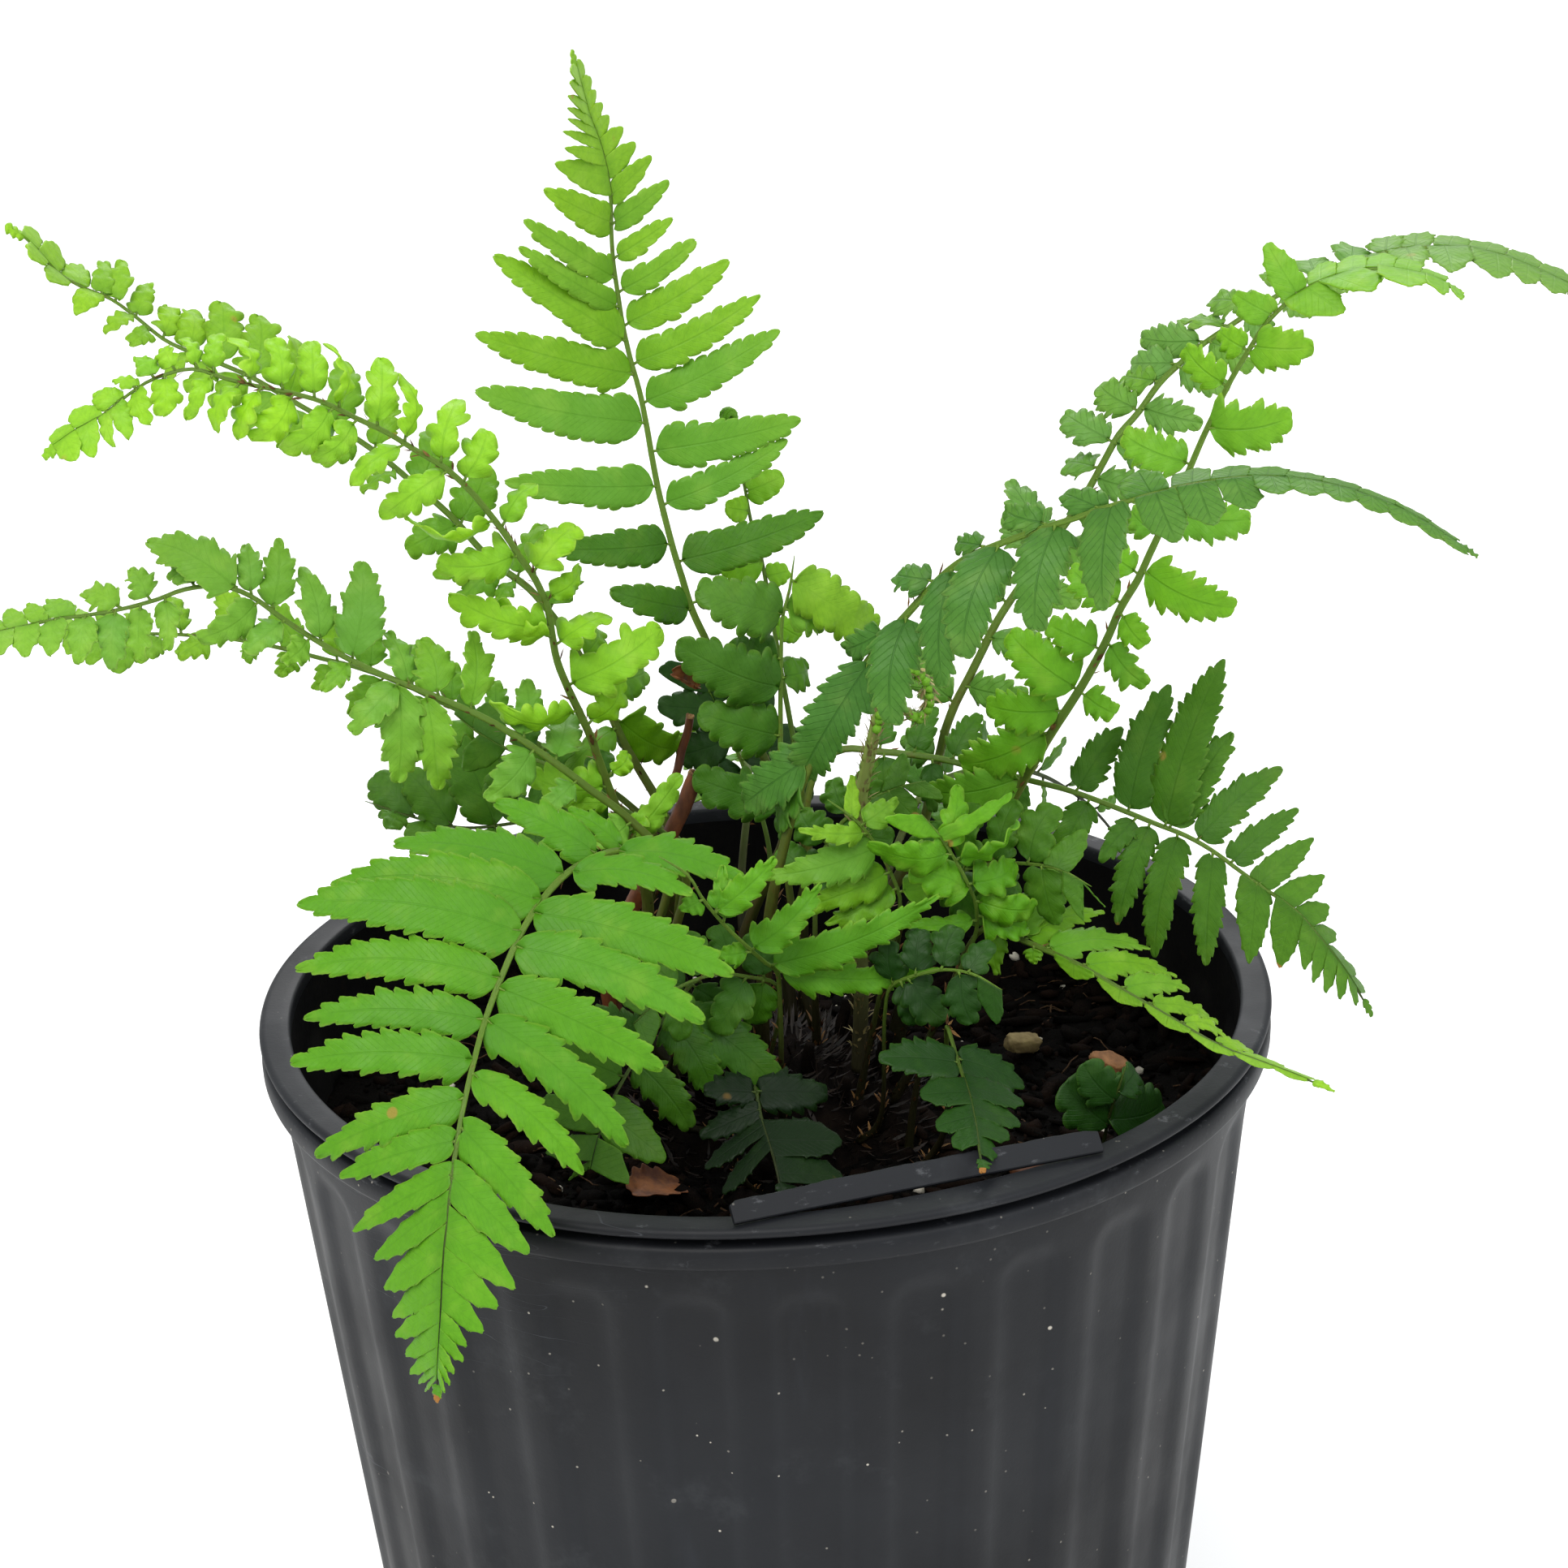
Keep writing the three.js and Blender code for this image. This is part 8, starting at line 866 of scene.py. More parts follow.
        [-2, -40.5, 167.3], [-1.2, -45.5, 164.7], [-0.2, -49.9, 163], [0.9, -55, 161], [1.6, -60, 158.4],
    ], leaflets=[
        [33.8, -9.7, -43.3, 168.2, 4.9, 0.06, 1, -38], [33.8, 9.2, -39.3, 165, 6, 0.06, -1, 39], [37, -10.7, -46.1, 162, 5.6, 0.06, 1, -24], [40.2, -10.1, -48.9, 157.9, 6, 0.06, 1, -28],
        [43.5, -7.5, -51.9, 155.1, 5.8, 0.06, 1, -34], [43.5, 11.1, -47.9, 161.3, 6.1, 0.06, -1, 29], [49.9, 11.1, -53.7, 157.9, 5.8, 0.06, -1, 26], [53.1, 6.7, -56.6, 155.7, 4.3, 0.06, -1, 29],
    ]),
    dict(name="frond_low_left", r0=0.8, hue="dark", spine=[
        [-10, -16, 147.2], [-13.6, -18.3, 149.4], [-16.9, -20.9, 152.9], [-17, -22.1, 157.5], [-15.5, -22.7, 162.8], [-13.8, -23, 167.3],
        [-11.7, -23.3, 172.5], [-10, -24, 177], [-11, -27.2, 179.2], [-13.8, -30.5, 177.1], [-16.7, -35, 175.3], [-19.1, -38.7, 173.5],
        [-21.8, -42.7, 170.8], [-24, -45.9, 167.9], [-26, -49.3, 164], [-27.3, -52, 160.2],
    ], leaflets=[
        [40.7, -4.5, -27.6, 171.9, 4.3, 0.08, -1, 35], [41.5, -21.1, -23.2, 179.8, 4.7, 0.08, 1, -34], [46.3, 1.9, -32.4, 162.2, 6.9, 0.08, -1, 19], [47.9, -8.4, -35.7, 164.3, 5.7, 0.08, -1, 27],
        [53.5, -30.5, -32.2, 176.8, 5.5, 0.08, 1, -23], [57.5, -12.2, -42.3, 161.5, 5.6, 0.08, -1, 23], [60.7, -35.3, -37.6, 172.6, 5.8, 0.08, 1, -16], [67.1, -16, -48.9, 159.5, 5, 0.08, -1, 11],
        [67.9, -36.3, -42.4, 166.7, 5.2, 0.08, 1, -10], [73.5, -34.4, -45.8, 160, 4.3, 0.08, 1, -10], [75.1, -21.5, -53.7, 158.3, 3.6, 0.08, -1, 0], [75.9, -31.1, -47.1, 155.7, 3.9, 0.08, 1, -31],
    ]),
    dict(name="frond_back_centre", r0=1.2, hue="mid", spine=[
        [-2, 24, 142.7], [-2.5, 25.5, 148.1], [-3, 26.7, 152.7], [-3.5, 28.4, 158], [-3.7, 30.1, 162.5], [-3.8, 32.9, 167.3],
        [-3.5, 35.9, 171], [-2.9, 40, 174.8], [-2.2, 44.5, 178.1], [-1.8, 48.7, 180.4], [-1.9, 54, 182.1], [-2.7, 58.7, 181.8],
        [-3.6, 64.1, 180.9], [-4.3, 69.6, 179.8], [-4.8, 74.2, 178.7], [-5.4, 79.5, 177], [-5.8, 84, 175.3], [-6.3, 89.1, 172.9],
        [-6.6, 93.3, 170.6], [-7, 98, 167.6], [-7.4, 102.5, 164.3], [-7.8, 106.1, 161.2], [-8.1, 110.2, 157.3], [-8.4, 113.4, 153.8],
        [-8.7, 116.7, 149.3], [-8.9, 119.2, 145.2], [-9, 122, 140.3],
    ], leaflets=[
        [48, 6.8, 52.4, 177.8, 5.1, 0.12, 1, 0], [50.4, -11.6, 51.6, 177.3, 5.5, 0.12, -1, 0], [55.2, 6.4, 59.4, 182.6, 4.9, 0.12, 1, 0], [57.6, -13.3, 58.7, 180.6, 5.4, 0.12, -1, 0],
        [65.6, 4.4, 69.5, 183.3, 5, 0.12, 1, 0], [68, -13.9, 68.8, 181.7, 5.2, 0.12, -1, 0], [76.8, 3, 80.3, 180.2, 4.9, 0.12, 1, 0], [78.4, -14.6, 78.8, 178.8, 5, 0.12, -1, 0],
        [88, 1.4, 90.6, 173.5, 4.6, 0.12, -1, 0], [90.4, -15.5, 89.8, 171.3, 4.9, 0.12, 1, 0], [103.2, 0.1, 103.6, 163.5, 4.6, 0.12, -1, 0], [105.7, -15.7, 102.5, 160.5, 4.9, 0.12, 1, 0],
        [114.5, -1.4, 112, 153.5, 4.8, 0.12, -1, 0], [118.5, -15.1, 111.8, 150, 4.8, 0.12, 1, 0], [126.5, -3.6, 119.7, 142.8, 4.8, 0.12, -1, 0], [128.9, -13.5, 118, 141.4, 4.4, 0.12, 1, 0],
    ]),
    dict(name="frond_back_right", r0=1.2, hue="dark", spine=[
        [14, 22, 141.9], [15, 23.3, 146.4], [16.2, 24.7, 151.7], [17.2, 26, 156.2], [18.5, 27.8, 161.4], [19.7, 29.7, 165.6],
        [21.1, 32.2, 169.5], [22.9, 35.8, 173.4], [24.7, 39.3, 176.1], [26.9, 43.8, 178.6], [29.2, 47.9, 179.5], [31.5, 52.1, 179.1],
        [34.4, 56.8, 178.1], [36.9, 60.8, 177.1], [39.9, 65.3, 175.7], [42.4, 69.1, 174.1], [45.3, 73.4, 172.1], [47.7, 77.1, 170.1],
        [50.1, 80.7, 167.9], [52.7, 84.8, 165.1], [54.8, 88.2, 162.5], [57.3, 92.1, 159.3], [59.4, 95.3, 156.4], [61.5, 98.3, 153.3],
        [63.8, 101.7, 149.5], [65.7, 104.5, 146], [67.9, 107.5, 141.8], [69.6, 110, 138.1],
    ], leaflets=[
        [46.5, 33, 38.8, 177.1, 4.5, 0.12, 1, 0], [49.7, 26, 52.5, 183.8, 4.5, 0.12, -1, 0], [57.7, 32.8, 59.4, 185.4, 4.8, 0.12, -1, 0], [64.9, 39.4, 54.5, 174.1, 4.1, 0.12, 1, 0],
        [68.9, 40.4, 68.7, 183.3, 5, 0.12, -1, 0], [80.1, 48.6, 77.6, 179.2, 5.1, 0.12, -1, 0], [80.1, 45.4, 66.6, 169, 4, 0.12, 1, 0], [92.2, 56.6, 86.7, 172.9, 5.3, 0.12, -1, 0],
        [94.6, 50.9, 77.4, 161.8, 4.2, 0.12, 1, 0], [105, 63.9, 95.9, 164.1, 5.3, 0.12, -1, 0], [111.4, 56.2, 89.2, 150.9, 4.7, 0.12, 1, 0], [118.6, 69.6, 104.8, 153.7, 5.2, 0.12, -1, 0],
        [129, 72.5, 110.9, 144.4, 4.8, 0.12, -1, 0], [129, 61.5, 99.9, 140.3, 4.7, 0.12, 1, 0], [137, 66, 104.2, 135.8, 4.1, 0.12, 1, 0],
    ]),
    dict(name="frond_inner_left", r0=0.9, hue="dark", spine=[
        [-8, 4, 153.8], [-11.3, 5.6, 156.9], [-14.1, 6.7, 161.5], [-14.7, 6.3, 167.1], [-14.5, 5.5, 171.8], [-14.1, 4.5, 176.5],
        [-13.5, 3.4, 182], [-13.3, 2.3, 187.5], [-14.8, 1.6, 191.9], [-18.9, 2.3, 194.3], [-23.4, 4, 197.2], [-27.6, 7.1, 199.2],
        [-31.4, 9.9, 200.3], [-35.4, 12.2, 201.3], [-40.6, 13, 203.4], [-45.2, 13, 206.5], [-48.8, 13, 209.8],
    ], leaflets=[
        [47.3, -25.6, 2.8, 189.6, 5.5, 0.1, -1, 9], [53, -32.2, 1.4, 191.9, 5.5, 0.1, -1, -5], [56.2, -24.7, 10.1, 203.6, 4.2, 0.1, 1, 9], [61.8, -38.9, 6.4, 193.6, 5.7, 0.1, -1, -11],
        [63.4, -31.9, 14.3, 205.8, 4.2, 0.1, 1, 11], [69.8, -44.2, 9.7, 196, 5.2, 0.1, -1, 3], [69.8, -37.4, 16.7, 208.6, 4.6, 0.1, 1, -1], [75.4, -47.6, 10, 201, 4.3, 0.1, -1, 10],
        [77, -43, 17, 210.1, 4.1, 0.1, 1, -14], [81.8, -46.9, 17, 212.4, 3.8, 0.1, 1, -18],
    ]),
    dict(name="frond_inner_back", r0=0.9, hue="deep", spine=[
        [3, 16, 150.5], [2.6, 18.2, 155.6], [2.3, 20.3, 160.8], [2, 22, 165.2], [1.8, 23.7, 170.6], [1.5, 25.2, 175.9],
        [1, 26.8, 180.4], [-0.3, 29.3, 185.2], [-2.1, 31.3, 190.1], [-4, 32.9, 195.1], [-6.1, 34.6, 200], [-8.2, 36.1, 204],
        [-10.8, 37, 208.9],
    ], leaflets=[
        [38.3, 8.8, 32.6, 187.4, 6.5, 0.1, 1, -5], [43.8, -10, 28.5, 188.3, 6.4, 0.1, -1, 8], [45.4, 7.1, 34.9, 195.4, 6.9, 0.1, 1, -8], [49.4, -13.4, 30.1, 194.4, 6.4, 0.1, -1, 7],
        [51.8, 2.6, 36.8, 202.9, 6.3, 0.1, 1, -7], [55, -16.2, 31.9, 202.9, 6.7, 0.1, -1, 2], [58.2, -1.6, 38.9, 207.8, 5.8, 0.1, 1, -8], [60.6, -16, 33.4, 208.1, 5.7, 0.1, -1, 1],
    ]),
    dict(name="frond_inner_low", r0=0.8, hue="dark", spine=[
        [8, -2, 155.6], [8, -3.2, 161], [8, -3.8, 166.6], [8.2, -3.5, 172.2], [8.4, -2.8, 177.7], [8.7, -2.1, 183.3],
        [9.8, -2, 188.7], [12.4, -2, 193.6], [16.5, -2, 197.4], [21.4, -2, 200], [26.7, -3, 201.7],
    ], leaflets=[
        [28.8, 17.8, -5.1, 187, 6.2, 0.1, 1, -17], [30.4, 3, 1.1, 189.2, 5.3, 0.1, -1, 25], [36, 6.5, 1, 195.5, 5, 0.1, -1, 23], [39.2, 21.2, -5, 192.5, 6, 0.1, 1, -18],
        [41.6, 11.9, 1, 200.9, 4, 0.1, -1, 16], [46.4, 17.8, 1, 204.2, 4.1, 0.1, -1, 11], [49.6, 25.2, -5, 195.9, 4.1, 0.1, 1, -12], [50.4, 23.3, 1, 205, 3.9, 0.1, -1, 12],
        [54.4, 29.1, -5.7, 199.5, 3.6, 0.1, 1, -7],
    ]),
    dict(name="frond_inner_right", r0=0.9, hue="dark", spine=[
        [16, 2, 151.8], [17.7, 1.3, 157.1], [19.1, 0.6, 161.7], [20.3, -0.7, 167], [21.2, -2.1, 171.5], [22.2, -3.9, 176.7],
        [23.4, -5.6, 181.1], [26.2, -7.5, 185.5], [29.9, -9.4, 187.9], [34.1, -12, 190.4], [38, -14.5, 191.9], [42.6, -17.5, 192.9],
        [46.8, -19.8, 192.8], [51.5, -22, 190.7],
    ], leaflets=[
        [39.3, 27.7, -5.4, 195.7, 6.2, 0.1, -1, 25], [41.7, 35.6, -11.4, 180.6, 6.3, 0.1, 1, -32], [44.9, 34.1, -7.8, 199.5, 6.8, 0.1, -1, 25], [49.7, 41.6, -11.3, 179.4, 7.1, 0.1, 1, -35],
        [51.3, 40.4, -11.1, 201.3, 5.6, 0.1, -1, 23], [56.9, 46.3, -14.1, 201.4, 5.4, 0.1, -1, 18], [59.3, 46.2, -19.2, 183, 5.4, 0.1, 1, -26], [61.7, 51.1, -16.4, 198, 4.6, 0.1, -1, 12],
        [66.5, 50.1, -23.4, 185.5, 4.1, 0.1, 1, -12], [66.5, 53.5, -23.4, 187.7, 3.8, 0.1, 1, -22],
    ]),
    dict(name="frond_low_middle", r0=0.7, hue="dark", spine=[
        [0, -14, 151.8], [-1.8, -18.9, 152.2], [-1.1, -21.3, 157.1], [0.1, -23, 162.3], [1.2, -24.5, 167.5], [2.2, -26, 172.8],
        [1.8, -28.1, 178.7], [-2.5, -30.3, 181.2], [-7, -33, 183.1], [-11.7, -35.8, 183.1], [-16.2, -38.8, 181.7], [-20.1, -42, 179.4],
    ], leaflets=[
        [36.5, -2.4, -28.8, 172.3, 4.6, 0.1, -1, 31], [36.5, -1.2, -27, 187.3, 4.7, 0.1, 1, -30], [39.7, -8, -33.4, 173.4, 5.6, 0.1, -1, 34], [42.9, -6.7, -29.8, 189.9, 4.8, 0.1, 1, -25],
        [46.9, -12.6, -31.8, 189.4, 4.7, 0.1, 1, -20], [52.4, -18.1, -34.7, 186.8, 4.3, 0.1, 1, -14], [53.2, -12.9, -39.1, 174.9, 4.8, 0.1, -1, 21], [57.2, -21.9, -37.2, 183.6, 4, 0.1, 1, -13],
        [60.4, -17.8, -43.1, 175.7, 3.7, 0.1, -1, 17],
    ]),
    dict(name="frond_low_right", r0=0.7, hue="deep", spine=[
        [14, -18, 145.6], [16.5, -21.5, 149.1], [17.7, -23.7, 153.1], [18.2, -25.5, 158.4], [18.3, -26.9, 163.8], [18.4, -28.2, 169.2],
        [18.6, -29.4, 173.8], [19.6, -31.1, 179], [23.4, -33.7, 182], [27.8, -36.3, 184], [31.9, -38.9, 184.3], [36.2, -42, 182.9],
    ], leaflets=[
        [38.2, 19.5, -30.6, 186.5, 4.3, 0.1, -1, 35], [39.8, 23.4, -34.2, 173.9, 4.6, 0.1, 1, -36], [41.4, 27.8, -34.9, 174.6, 5.1, 0.1, 1, -39], [43, 24.5, -30.7, 188.4, 4.5, 0.1, -1, 31],
        [47.8, 30, -32.9, 189.6, 4.5, 0.1, -1, 27], [50.9, 31.7, -39.6, 176.2, 5, 0.1, 1, -30], [52.5, 35.1, -35.4, 188.1, 4.1, 0.1, -1, 22], [57.3, 35.2, -43.1, 177.7, 4.1, 0.1, 1, -25],
    ]),
]


def build_frond(index, row):
    """One frond: rachis, leaflets, winged tip and stalk scales, as one piece."""
    name, r0, spine, rows = row["name"], row["r0"], row["spine"], row["leaflets"]
    style = dict(DEFAULT)
    style.update(STYLES.get(name, {}))
    rng = np.random.default_rng(4000 + index)
    piece = Piece(name + "_leaf")
    path = spline(spine, 1.4)
    seg = np.linalg.norm(np.diff(path, axis=0), axis=1)
    run = np.concatenate([[0], np.cumsum(seg)])
    total = run[-1]
    # distances in the table are along the plain spine
    plain = np.concatenate([[0], np.cumsum(np.linalg.norm(np.diff(np.array(spine, float), axis=0), axis=1))])

    def at(s):
        s = min(max(s * total / plain[-1], 0), total)
        return np.array([np.interp(s, run, path[:, k]) for k in range(3)])

    def tangent(s):
        return unit(at(min(plain[-1], s + 2.0)) - at(max(0, s - 2.0)))

    data = []
    lowest = min(r[0] for r in rows)
    for k, (s, x, y, z, w, arch, side, roll) in enumerate(rows):
        b, tip = at(s), np.array((x, y, z), float)
        wide = style["wide"] * (1 + (style["far"] - 1) * float(smooth(0.05, 0.5, (s - lowest) / (plain[-1] - lowest))))
        data.append(dict(number=k, s=s, b=b, tip=tip, w=min(w, style["widest"]) * wide, arch=arch, side=side, roll=roll, d=unit(tip - b), len=float(np.linalg.norm(tip - b))))
    first = min(d["s"] for d in data)
    last = plain[-1]

    def sideways(s):
        v = np.zeros(3)
        for d in data:
            v += d["d"] * d["side"] * (math.exp(-((d["s"] - s) ** 2) / 392.0) + 1e-6)
        t = tangent(s)
        return unit(v - t * (v @ t))

    stations = run * plain[-1] / total
    dirs = np.array([sideways(s) for s in stations])
    share = stations / plain[-1]
    radii = (0.30 + (r0 - 0.30) * np.clip(1 - share, 0, 1) ** 0.9) * (1 - (1 - style["slim"]) * smooth(0.0, 0.26, share))
    radii[-3:] *= np.array((0.8, 0.6, 0.35))
    pos = np.clip((stations - first * 0.25) / (last - first * 0.25), 0, 1)
    add_tube(piece, path, radii, sides=12, slot=1, side_dirs=dirs, groove=style["groove"], flat=0.92, rough=0.05, seed=index, pos=pos)

    # leaflets, with their own small toothed wing between them towards the tip
    for side in (1, -1):
        line = sorted((d for d in data if d["side"] == side), key=lambda d: d["s"])
        for k, d in enumerate(line):
            before = d["s"] - line[k - 1]["s"] if k else 7.0
            after = line[k + 1]["s"] - d["s"] if k + 1 < len(line) else min(before, 2.0 * (last - d["s"]))
            reach = (0.5 * min(after, 9.0) + 0.05, 0.5 * min(before, 9.0) + 0.05)
            share_s = (d["s"] - first) / max(1.0, last - first)
            joins = style["adnate"] if side < 0 or "adnate_near" not in style else style["adnate_near"]
            a = float(smooth(joins[0], joins[1], share_s))
            S = sideways(d["s"])
            T = tangent(d["s"])
            r = 0.30 + (r0 - 0.30) * max(0.0, 1 - d["s"] / plain[-1]) ** 0.9
            N = np.cross(S, T)
            root = d["b"] + S * side * r * (0.6 if a < 0.5 else 0.25) + N * r * 0.35
            # far lobes that are seen edge-on are shorter
            start, end, least = style["short_near"] if side > 0 and "short_near" in style else style.get("short", (0.0, 1.0, 1.0))
            tip = root + (d["tip"] - root) * (1 + (least - 1) * float(smooth(start, end, share_s)))
            slot = 3 if d["number"] in style.get("others", ()) else 0
            leaflet(piece, root, tip, d["w"], T, d["arch"], d["roll"], style, rng, min(1.0, max(0.0, share_s)), a, reach, d["number"], side, slot)

    # the frond ends in a small toothed blade
    if style.get("terminal", 0) > 0:
        T = tangent(last)
        tip = at(last) + T * style["terminal"]
        S = sideways(last)
        st = dict(style)
        st.update(stalk=0.0, ear=0.0, back=0.0, twist=0.0, pitch=1.0)
        leaflet(piece, at(last) - T * 2.5, tip, 1.6 + style["terminal"] * 0.3, S, 0.02, 0, st, rng, 1.0, 0.0, (1.5, 1.5), -1, -1)

    scatter_scales(piece, path, radii, style["scales"], style["scale_len"], style["scale_len"] * 0.32, 2, 900 + index, 0.0, style.get("scale_top", 0.55), 1.7)
    if name == "frond_young_crozier":
        add_fiddlehead(piece, path[-1], sideways(last), tangent(last))
    mats = [MATERIALS["leaf_" + style.get("hue", row["hue"])], MATERIALS["stalk"], MATERIALS["scale"]]
    if "second" in style:
        mats.append(MATERIALS["leaf_" + style["second"]])
    obj = piece.make(mats)
    thick = obj.modifiers.new("thickness", "SOLIDIFY")
    thick.thickness = 0.00022
    thick.offset = 0.0
    group = obj.vertex_groups.new(name="blade")
    co = len(obj.data.vertices)
    blade = np.zeros(co, bool)
    for p in obj.data.polygons:
        if p.material_index in (0, 3):
            for i in p.vertices:
                blade[i] = True
    group.add([int(i) for i in np.nonzero(blade)[0]], 1.0, "REPLACE")
    thick.vertex_group = "blade"
    thick.thickness_vertex_group = 0.0
    return place(obj, "leaf_" + row["hue"], name)


def add_fiddlehead(piece, at, side, up):
    """The tight coil at the top of the young frond, with tiny folded leaflets on its outside."""
    side, up = unit(side), unit(up)
    turns, n = 2.0, 46
    centre = at + up * 1.9 - side * 0.1
    pts, rad = [at - up * 0.3, at + up * 0.3], [0.5, 0.5]
    for i in range(n):
        f = i / (n - 1)
        a = -math.pi / 2 + f * turns * 2 * math.pi
        r = 1.12 * (1 - 0.76 * f)
        pts.append(centre + side * math.cos(a) * r + up * math.sin(a) * r + np.cross(side, up) * 0.25 * f)
        rad.append(0.50 * (1 - 0.30 * f))
    add_tube(piece, np.array(pts), rad, sides=8, slot=1, pos=0.95, rough=0.15, seed=5)
    rng = np.random.default_rng(77)
    for i in range(4, n - 4, 1):
        c = pts[i]
        out = unit(c - centre)
        for k in (-1, 1):
            w = np.cross(side, up) * k
            bulb(piece, c + out * 0.12 + w * 0.42, 0.36 + 0.10 * rng.random(), 0, rng, pos=0.0, rnd=0.6)


def bulb(piece, at, r, slot, rng, **numbers):
    """A small lumpy round thing."""
    verts, faces = lump_shape(rng, 0.22)
    piece.add(at + verts * r, faces, slot, **numbers)


_ICO = {}


def ico(level):
    if level not in _ICO:
        import bmesh

        bm = bmesh.new()
        bmesh.ops.create_icosphere(bm, subdivisions=level, radius=1.0)
        v = np.array([x.co[:] for x in bm.verts])
        f = [tuple(x.index for x in p.verts) for p in bm.faces]
        bm.free()
        _ICO[level] = (v, f)
    return _ICO[level]


def lump_shape(rng, rough, level=1):
    v, f = ico(level)
    return v * (1 + rough * (rng.random((len(v), 1)) - 0.5) * 2), f


def turned(rng, tilt=1.0):
    """A random turn; tilt 0 keeps it flat."""
    a = rng.random() * 2 * math.pi
    b = rng.normal() * tilt * 0.6
    c = rng.normal() * tilt * 0.6
    return np.array((Matrix.Rotation(a, 3, "Z") @ Matrix.Rotation(b, 3, "X") @ Matrix.Rotation(c, 3, "Y")))


# ---------------------------------------------------------------- pot
POT_H, RIM_R, MOUTH_R = 165.0, 82.5, 77.4
BODY_TOP_R, BODY_TOP_Z, TAPER = 79.9, 158.0, 0.109
FLUTES, FLUTE_DEPTH, FLUTE_TOP = 28, 1.05, 153.4
FLUTE_PHASE = math.radians(3.8)


def flute_share(a, z, low=9.0):
    """How deep the flute is at this angle (from the front, towards +X) and height, 0 to 1."""
    f = ((a - FLUTE_PHASE) / (2 * math.pi / FLUTES)) % 1.0
    f = abs(((f + 0.5) % 1.0) - 0.5) * 2  # 0 in the middle of a flute, 1 on the ridge
    side = 1 - smooth(0.32, 0.84, f)
    top = FLUTE_TOP - 2.6 * min(1, f / 0.66) ** 3.2
    end = smooth(top + 0.4, top - 4.2, z) * smooth(low, low + 4, z)
    return side * end


